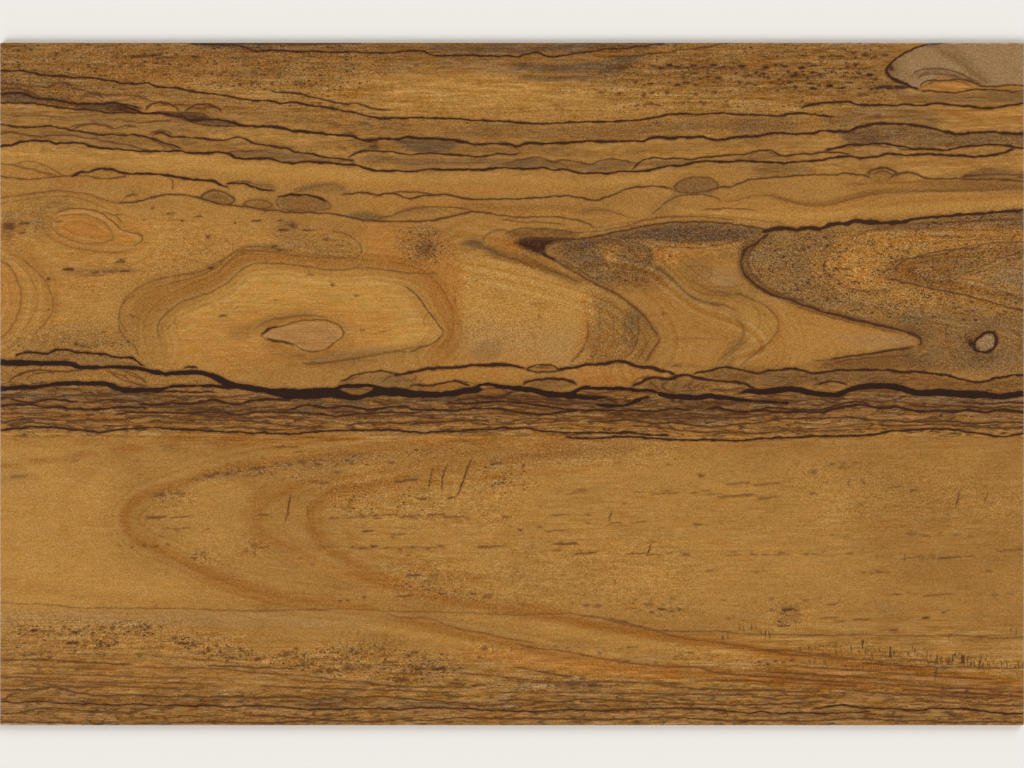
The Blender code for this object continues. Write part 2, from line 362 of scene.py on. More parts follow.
# The closed shapes of the middle band: the nested oval, the fish and its eye, the two
# flames and the pale eye at the right.
FIGURE_SEAMS = (
    Seam(0.36, 0.45, (
        (16, 149.7), (17.5, 150.4), (20, 151.2), (23, 151.4), (26, 151.1), (28.5, 150.6), (30.5, 149.6),
        (32, 148.3), (34, 146.6), (36, 145.2), (38, 144.5), (40.3, 144), (41.9, 143.2), (41.6, 142.1),
        (40, 140.9), (38, 140.1))),
    Seam(0.3, 0.45, ((29.5, 150.5), (33, 149.7), (35, 148.2), (36.5, 146.6))),
    Seam(0.35, 0.28, (
        (15, 146.5), (17, 149), (21, 149.6), (26, 149.4), (30, 147.6), (32.5, 145), (33, 142.5), (29, 141.2),
        (23, 141.5), (18, 143.5)), closed=True),
    Seam(0.45, 0.34, (
        (-1, 136.4), (2, 135.2), (4, 132.5), (5.4, 129.5), (6.2, 126.5), (6, 123), (5, 119.8), (3.2, 116.5),
        (1.2, 114.2), (-1, 112.9))),
    Seam(0.36, 0.38, (
        (-1, 154.2), (3, 155), (8, 155.6), (14, 156.4), (20, 156.4), (26, 155.6), (30, 154.2), (34, 153.2),
        (38, 153.4))),
    Seam(0.3, 0.25, ((-1, 152.6), (5, 153.6), (12, 154.8), (20, 154.8), (26, 153.6), (32, 151))),
    Seam(0.35, 0.5, (
        (110, 148.2), (114, 149.2), (118, 150.6), (122, 151.5), (128, 151.9), (134, 151.6), (139, 150.6))),
    Seam(0.35, 0.22, (
        (12.6, 148.6), (12.8, 145.4), (15, 142.6), (19, 140.6), (26, 139.2), (33, 138.4), (39, 139.6))),
    Seam(0.35, 0.3, (
        (6, 137), (10, 133.6), (13.6, 129.6), (15.4, 125), (15, 120.6), (12.6, 117), (9, 113.8))),
    Seam(0.4, 0.32, (
        (41, 108), (39.4, 111), (36.6, 113.6), (35, 117), (35, 120.6), (36.4, 124.4), (39.4, 127.4),
        (43.6, 129.8), (50, 131.4), (57, 132.6), (62, 134), (66, 136.6), (69.6, 139.4), (73, 140.2),
        (79, 140), (84, 139.2))),
    Seam(0.3, 0.28, (
        (64, 132.6), (67, 136), (70, 138.4), (74, 138.9), (80, 138.6), (88, 137.6), (96, 136.9), (104, 137))),
    Seam(0.3, 0.22, ((52.6, 115.6), (51, 118), (51.4, 120.4))),
    Seam(0.35, 0.3, ((88, 106.4), (95, 106.2), (103, 107.4), (112, 108.8), (118, 110), (124, 111.6))),
    Seam(0.3, 0.25, ((126, 121.6), (124, 118), (125, 116))),
    Seam(0.3, 0.3, (
        (97, 144.8), (101, 144), (104.4, 142), (106, 139.6), (105, 137.4), (101, 136.8), (96, 137))),
    # The fish: the line round its paler body, its lit tip and the shape within.
    Seam(0.36, 0.36, (
        (47.5, 113.2), (46.3, 115), (46.1, 117), (47.6, 119.5), (50, 121.8), (53, 124), (57, 125.3),
        (62, 126.9), (66, 129.3), (69, 131.7), (71.5, 134), (74.5, 135.3), (80, 135.4), (86, 134.9),
        (92, 134.1), (97, 133.3), (103, 133.8), (108, 134.1), (113, 133.4), (118, 132.8), (124, 132.3),
        (129, 132.3))),
    Seam(0.3, 0.4, ((60, 134.3), (64, 135.8), (67, 137.5), (70, 139), (73, 139.3), (78, 138.8), (83, 138.3))),
    Seam(0.3, 0.28, ((38, 114.5), (36, 117), (35, 120), (35.6, 122.5), (37, 124.8), (40, 126.3))),
    Seam(0.38, 0.55, (
        (118, 129), (120.5, 127.4), (122.5, 125.6), (124.5, 122.8), (126.5, 120), (128.5, 117.2),
        (130.3, 115.1))),
    Seam(0.38, 0.5, (
        (130.4, 115.1), (128.5, 113.3), (126.8, 111.9), (124, 111), (121.5, 109.9), (119.5, 109))),
    Seam(0.5, 0.4, (
        (120, 109.2), (116, 109.6), (112, 109), (107, 108), (102, 107.2), (97, 106.4), (92, 106),
        (88, 106.1))),
    Seam(0.32, 0.55, (
        (76.6, 114.5), (77.8, 115.7), (80, 116.3), (83, 117), (85.6, 117.9), (88.6, 118.6), (92, 118.8),
        (95.6, 118.6), (98.2, 117.8), (100, 116.4), (100.6, 114.8), (99.6, 113.2), (98, 112.3), (96.6, 110.8),
        (94, 109.8), (91, 109.4), (88.8, 110), (86.5, 111.4), (83.8, 112.3), (81, 112.7), (78.6, 113.4),
        (77, 113.6)), closed=True),
    Seam(0.6, 0.8, ((77.2, 113.6), (76.8, 114.6), (78, 115.7), (80, 116.4), (82.4, 116.9))),
    Seam(0.6, 0.7, ((77.2, 113.4), (79.6, 112.9), (82, 112.6), (84.4, 112), (86.6, 111))),
    Seam(0.4, 0.3, ((74, 116), (78, 118.2), (84, 119.4), (90, 120), (96, 119.6))),
    # The first flame.
    Seam(0.5, 0.66, (
        (155, 142.7), (160, 142.7), (165, 142.5), (170, 142.5), (174, 143), (178, 144), (183, 145.1),
        (187, 145.8), (190, 146.5), (195, 147.1), (200, 147.5), (206, 147.5), (212, 147.1), (218, 146.4),
        (222, 145.7), (226, 144.9))),
    Seam(0.4, 0.4, ((141.6, 141), (141.8, 142.8), (143.4, 144.3), (146, 145), (148.6, 145), (149.8, 144))),
    Seam(0.35, 0.5, ((147.4, 143.6), (149.4, 144.8), (152, 145.5), (157, 145.4), (163, 145.2), (169, 144.2))),
    Seam(0.3, 0.4, ((163, 143.9), (169, 144.4), (175, 144.8), (181, 145.7), (188, 146.6))),
    Seam(0.9, 0.8, ((157.6, 139), (159.6, 138), (161.6, 136.8), (163.6, 135.6))),
    Seam(0.5, 0.52, (
        (160.5, 137.4), (163, 136), (166, 134.2), (169, 132.4), (172, 130.6), (175.5, 128.8), (178, 127.7),
        (180.5, 126.4), (183, 124.8), (185.3, 122.9), (187.6, 121.2), (189.5, 119), (191, 116.8),
        (192.2, 115), (193, 113.6))),
    Seam(0.35, 0.35, ((164, 136.6), (168, 134.4), (172, 132), (176, 130), (180, 128))),
    Seam(0.4, 0.3, ((152, 138.4), (156, 136.4), (160, 134.2), (165, 131.8), (170, 129.6))),
    Seam(0.45, 0.3, ((141, 140.6), (144, 139), (148, 137.4), (152, 136.2), (157, 133.8))),
    Seam(0.5, 0.5, ((193.8, 114), (193, 112.6), (191.5, 110.2), (190, 108), (188.7, 106.2))),
    Seam(0.35, 0.35, ((190, 113), (189, 110.6), (187.6, 108.4), (186.4, 106.8))),
    Seam(0.32, 0.45, (
        (183, 107.3), (184.4, 108.7), (185.6, 110.2), (186.4, 112), (187, 115), (187, 118), (186.6, 121))),
    Seam(0.35, 0.3, ((183.6, 121.4), (183, 118), (183.2, 114), (183.8, 111))),
    Seam(0.6, 0.4, ((172, 118.5), (172.4, 115), (171.6, 112), (170.4, 109.8), (168.6, 107.6), (166.5, 106))),
    Seam(0.3, 0.25, ((175.4, 122), (175.8, 116), (175, 110), (173.4, 106.4))),
    Seam(0.3, 0.22, ((179.6, 120), (180, 114), (180.6, 109.4))),
    Seam(0.6, 0.34, (
        (191.4, 134.6), (194, 133.2), (196.2, 131.4), (198, 129.6), (200, 127.6), (202.4, 125.6),
        (205.4, 124.4), (209, 123.6), (213, 122.8), (216.4, 121.4))),
    Seam(0.35, 0.24, (
        (193, 136), (196, 134), (199, 131), (202, 128.4), (206, 126.6), (212, 126), (218, 126.6))),
    Seam(0.4, 0.16, ((200, 134), (203, 134.6), (207, 134.2), (208.8, 132.6), (207.4, 130.8), (204, 130.6))),
    Seam(0.4, 0.24, ((204, 129.4), (208, 127.6), (213, 126.6), (218, 125.8), (223, 123.8))),
    Seam(0.45, 0.3, (
        (222, 124.6), (226, 121.4), (228, 118), (227.6, 115), (225, 112), (222, 109.6), (219, 107.2),
        (216.6, 105.4))),
    Seam(0.5, 0.22, (
        (213, 120.6), (217, 118), (218, 115), (216.4, 112), (213.6, 109.4), (211, 107.4), (209.4, 105.6))),
    Seam(0.35, 0.2, ((196, 113), (204, 113.4), (212, 113))),
    Seam(0.35, 0.4, (
        (178, 138.6), (180.4, 141), (185, 141.6), (189.4, 140), (191, 137), (188.6, 134.2), (183.6, 133.4),
        (179.4, 135.4))),
    Seam(0.4, 0.3, (
        (176, 140.2), (182, 142.6), (190, 142.8), (198, 141.8), (206, 141.8), (214, 142.6), (220, 143.6))),
    Seam(0.35, 0.35, ((190, 139.8), (196, 140.2), (204, 139.8), (210, 140.6), (216, 142), (219, 142.6))),
    Seam(0.35, 0.2, ((184, 144), (194, 145), (206, 145.2), (216, 144.4))),
    # The second flame and its seam.
    Seam(1.3, 1.0, (
        (222.5, 144.6), (225, 144.9), (227.5, 145.4), (230, 145.6), (233, 145.2), (236, 145.7), (240, 145.4),
        (243, 146.5), (245, 147), (248, 147), (250, 147.6), (253, 147.5), (257, 147.3), (261, 147.2),
        (264.5, 147.4), (267, 148.3))),
    Seam(0.75, 1.0, (
        (262, 147.2), (264.5, 147.4), (267, 148.2), (270, 148.6), (273, 149), (276, 149), (280, 149.5),
        (285, 149.8), (290, 150.1), (295, 150.6), (301, 151))),
    Seam(0.75, 0.72, (
        (226, 144.6), (223.6, 143), (221.4, 141), (219, 139.8), (217.7, 138), (217.1, 136), (217.4, 134),
        (218.5, 131.8), (220.5, 129.9), (223, 127.8), (226, 126.4), (229, 125.4), (231.5, 124.8),
        (234, 123.6), (237, 122.6), (241, 121.2), (246, 119.9), (250, 118.9), (254, 118), (258, 117.1),
        (262, 116.2), (265, 115.4), (267.3, 114.5), (269, 113.4))),
    Seam(0.6, 0.42, (
        (224.6, 144), (222.2, 141.4), (220.4, 139.6), (219.2, 137.4), (219, 135), (219.8, 133),
        (221.6, 130.8), (224, 128.8), (227, 127.2), (231, 125.6), (236, 124))),
    Seam(0.8, 0.72, (
        (265.6, 115.4), (267.6, 114.8), (269.2, 113.8), (270, 112.6), (269.6, 111.5), (268.4, 110.9))),
    Seam(0.35, 0.4, (
        (233, 122.8), (237, 121.6), (241, 120.4), (246, 119), (251, 117.7), (256, 116.6), (261, 115.4),
        (265, 114.4))),
    Seam(0.4, 0.42, (
        (269, 111), (265, 110.6), (260, 110), (256, 109.2), (252, 108.5), (248, 107.9), (243, 107),
        (238, 106.6))),
    Seam(0.3, 0.3, ((264, 107.6), (258, 107.4), (252, 106.4), (246, 106), (240, 105.8))),
    Seam(0.4, 0.5, (
        (261, 135.6), (263, 136.2), (266, 136.9), (270, 137.3), (274, 137.8), (278, 138.6), (281, 139.6),
        (284, 140.2))),
    Seam(0.35, 0.3, ((281, 139.6), (285, 140.6), (290, 141.2), (301, 141.8))),
    Seam(0.4, 0.6, (
        (259.4, 130.6), (262, 130.4), (264, 129.9), (267, 129.4), (270, 128.6), (275, 127.6), (280, 126.6),
        (285, 125.4), (290, 124), (295, 122.6), (301, 121.3))),
    Seam(0.4, 0.4, ((281.6, 132), (285, 133.2), (289, 135), (293, 136.8), (301, 138.6))),
    Seam(0.35, 0.35, ((281.4, 131), (285, 130.4), (289, 129.2), (294, 127), (301, 124))),
    Seam(0.3, 0.3, ((258, 134.2), (257.6, 132.4), (258.8, 130.8))),
    Seam(0.3, 0.28, ((262, 143), (272, 143.4), (284, 143), (294, 143.2), (301, 143.8))),
    Seam(0.35, 0.32, ((252, 144.8), (264, 145.6), (276, 145.2), (288, 145), (301, 145.4))),
    Seam(0.3, 0.25, ((266, 141.4), (276, 141.8), (286, 142.2), (296, 142.4))),
    Seam(0.35, 0.3, ((276, 147.2), (286, 147.8), (296, 148.4), (301, 148.8))),
    Seam(0.4, 0.4, ((240, 139), (241.4, 139.4), (243, 140.6))),
    Seam(0.35, 0.3, (
        (240.4, 137), (240.6, 135), (242, 133), (244, 131.4), (246.6, 129.4), (250, 127.6), (255, 127),
        (260, 127.6))),
    Seam(0.3, 0.2, ((246, 140.4), (252, 141.2), (258, 140.4))),
    # The pale eye.
    Seam(0.9, 0.95, (
        (285.6, 110.2), (285.4, 111.6), (286.2, 113), (287.6, 114.4), (289.4, 115.2), (291.2, 114.8),
        (291.9, 113), (291.6, 111), (290.4, 109.7), (288, 109.3)), closed=True),
    Seam(1.4, 0.9, ((282.8, 112.9), (284.4, 112.2), (285, 111), (285.2, 110))),
    Seam(0.35, 0.4, ((295.6, 116.2), (297.8, 114.8), (299.2, 112.8), (299, 110.6), (297.6, 109.4))),
    Seam(0.35, 0.25, ((278, 118.4), (277, 114), (278, 110), (281, 106.4))),
    Seam(0.3, 0.22, ((172.6, 140), (174.6, 137.4), (178, 134.4), (184, 132.6), (190, 132.8), (194, 131.6))),
    Seam(0.3, 0.22, ((174.6, 141.6), (175.4, 138.6), (178.4, 135.8), (183, 134.6))),
    Seam(0.3, 0.22, (
        (182.6, 139.6), (185.4, 140.6), (189, 139.6), (190, 137.4), (187.4, 135.6), (184, 136.2))),
    Seam(0.3, 0.2, ((198, 134.6), (200, 132), (203.4, 129.6), (208, 128.6), (214, 128.4), (220, 129.6))),
    Seam(0.3, 0.2, ((219.6, 124), (222, 121.4), (222.6, 118), (220.6, 114.6), (217, 111.2), (213, 108.4))),
    Seam(0.3, 0.2, ((160.6, 140.6), (163, 139), (167, 137), (172, 135.6), (176, 133))),
    Seam(0.3, 0.24, (
        (174, 145.6), (180, 146.6), (190, 148.4), (200, 149.4), (212, 149.2), (222, 148), (230, 147.2))),
    Seam(0.3, 0.26, (
        (212, 153.4), (216, 153.8), (220, 155), (226, 155), (232, 153.4), (238, 152.2), (244, 152.6),
        (250, 154.4), (258, 155.8), (268, 156.4), (284, 156.6), (301, 157))),
    Seam(0.3, 0.22, ((246, 158.4), (258, 158.8), (272, 159.4), (286, 159))),
    Seam(0.3, 0.26, ((170, 149.6), (173, 151), (176.4, 151.2), (180, 150.4), (184, 148.8), (188, 148.8))),
    Seam(0.3, 0.3, ((117, 150.8), (121, 151.9), (126, 151.9), (131, 150.6), (135, 149.6))),
    Seam(0.3, 0.22, ((242, 148), (244, 147.6))),
    Seam(0.3, 0.3, ((283, 131.6), (288, 133), (293, 135.2), (301, 137.6))),
    Seam(0.3, 0.2, ((-1, 138.2), (5, 135.4), (9, 131), (11, 125.6), (9.4, 119.6), (5, 114.4), (0, 111.4))),
    Seam(0.3, 0.2, (
        (39, 121), (40.6, 124.6), (45, 127.6), (52, 130), (59, 132), (65, 135), (70, 137.6), (78, 138))),
    Seam(0.3, 0.2, ((113, 136), (121, 134.4), (127, 131), (131, 125), (133, 118), (131, 111))),
    Seam(0.28, 0.36, ((175, 143.4), (181, 141.4), (186, 138.4), (189, 134.6))),
    Seam(0.28, 0.34, ((173.6, 140.4), (179, 138.8), (184, 136.2), (187, 133))),
    Seam(0.28, 0.32, ((171, 138), (176.6, 136.6), (181, 134.4), (184, 131.4))),
    Seam(0.36, 0.6, ((261, 133.4), (265, 136), (271, 138), (279, 139.4), (288, 140))),
)

# The thick dark layer through the middle, with the islands that split it.
LODES = (
    Lode((
        (-2, 107.1, 105.5), (5, 107.0, 105.4), (12, 106.8, 105.4), (18, 106.7, 105.4), (21, 106.5, 105.1),
        (23, 105.6, 104.4), (27, 105.4, 104.4), (31, 105.4, 104.5), (36, 105.4, 104.4), (40, 105.2, 104.1),
        (43, 104.7, 103.6), (46, 103.9, 102.6), (49, 103.6, 102.5), (52, 103.8, 102.7), (55, 104.0, 102.8),
        (59, 103.9, 102.8), (62, 103.1, 101.6), (65, 102.0, 99.9), (68, 100.6, 98.8), (71, 100.0, 98.4),
        (74, 99.6, 97.8), (78, 98.9, 97.2), (81, 98.5, 96.6), (83, 98.8, 95.7), (87, 98.4, 95.6),
        (91, 98.8, 95.7), (95, 99.0, 95.9), (98, 98.8, 96.1), (101, 97.7, 95.6), (103, 97.0, 95.2),
        (105.5, 96.9, 95.5), (108, 97.5, 96.2), (110.5, 99.2, 96.4), (113, 99.1, 96.5), (117, 98.9, 96.4),
        (120, 98.2, 96.1), (124, 97.9, 96.0), (129, 97.7, 96.1), (133, 98.2, 96.5), (137, 98.9, 97.2),
        (139.5, 99.1, 97.4), (141.6, 98.8, 98.0))),
    Lode((
        (145, 99.4, 99.0), (147, 99.6, 98.6), (150, 99.5, 98.2), (154, 99.2, 97.7), (157, 98.8, 97.3),
        (160, 98.0, 96.2), (164, 97.6, 96.0), (168, 97.3, 95.7), (171, 96.6, 95.4), (174, 96.3, 95.4),
        (178, 96.4, 95.8))),
    Lode((
        (94, 97.6, 96.8), (98, 99.0, 97.2), (100, 99.7, 98.6), (104, 100.0, 98.9), (108, 100.0, 99.1),
        (110.5, 99.6, 98.5), (112, 99.0, 97.6))),
    Lode((
        (137, 98.6, 97.8), (139, 99.5, 98.4), (141, 100.1, 99.3), (144, 100.2, 99.6), (147, 99.7, 98.9),
        (150, 99.2, 98.6))),
    Lode((
        (165, 97.0, 96.4), (168, 98.1, 97.0), (170, 99.1, 98.2), (174, 99.2, 98.4), (179, 99.1, 98.2),
        (184, 99.0, 98.1), (187, 98.6, 97.6), (190, 98.6, 97.8), (192.5, 97.9, 97.0), (195, 97.3, 95.9),
        (199, 97.0, 95.5), (204, 96.8, 95.4), (208, 97.1, 95.7), (212, 96.6, 95.4), (216, 96.0, 94.9),
        (221, 95.4, 94.7), (226, 95.1, 94.4), (231, 94.7, 94.2))),
    Lode((
        (216, 97.4, 97.0), (220, 98.6, 97.3), (223, 98.5, 97.0), (227, 98.9, 97.2), (231, 99.4, 97.8),
        (235, 98.8, 97.2), (239, 97.9, 96.4), (243, 97.5, 96.2), (246, 97.8, 96.2), (249, 99.2, 97.6),
        (252, 99.8, 98.3), (255, 100.2, 98.5), (259, 100.3, 98.6), (262, 100.1, 98.3), (265, 99.4, 97.5),
        (268, 98.5, 96.7), (272, 98.3, 96.5), (276, 98.6, 96.5), (280, 98.1, 96.1), (284, 98.0, 95.8),
        (289, 97.8, 95.8), (294, 97.1, 95.5), (297, 97.7, 96.0), (302, 98.1, 96.5))),
    Lode((
        (-2, 99.1, 97.9), (3, 99.3, 98.2), (6, 99.7, 98.4), (12, 99.7, 98.7), (15, 100.3, 99.2),
        (20, 100.8, 99.6), (25, 100.8, 99.5), (30, 100.9, 99.5), (33, 100.2, 98.8), (35, 99.3, 97.7),
        (39, 98.9, 97.5), (43, 98.8, 97.6), (47, 98.9, 97.7), (49, 99.4, 98.6), (52, 99.8, 99.0),
        (57, 99.7, 99.0), (61, 99.9, 99.2), (66, 99.5, 98.7), (70, 99.6, 98.7))),
    Lode((
        (174, 94.2, 93.8), (177, 94.3, 93.3), (180, 94.0, 93.2), (184, 94.3, 93.5), (186, 95.4, 94.2),
        (188, 96.2, 95.3), (190.5, 96.6, 96.1))),
)

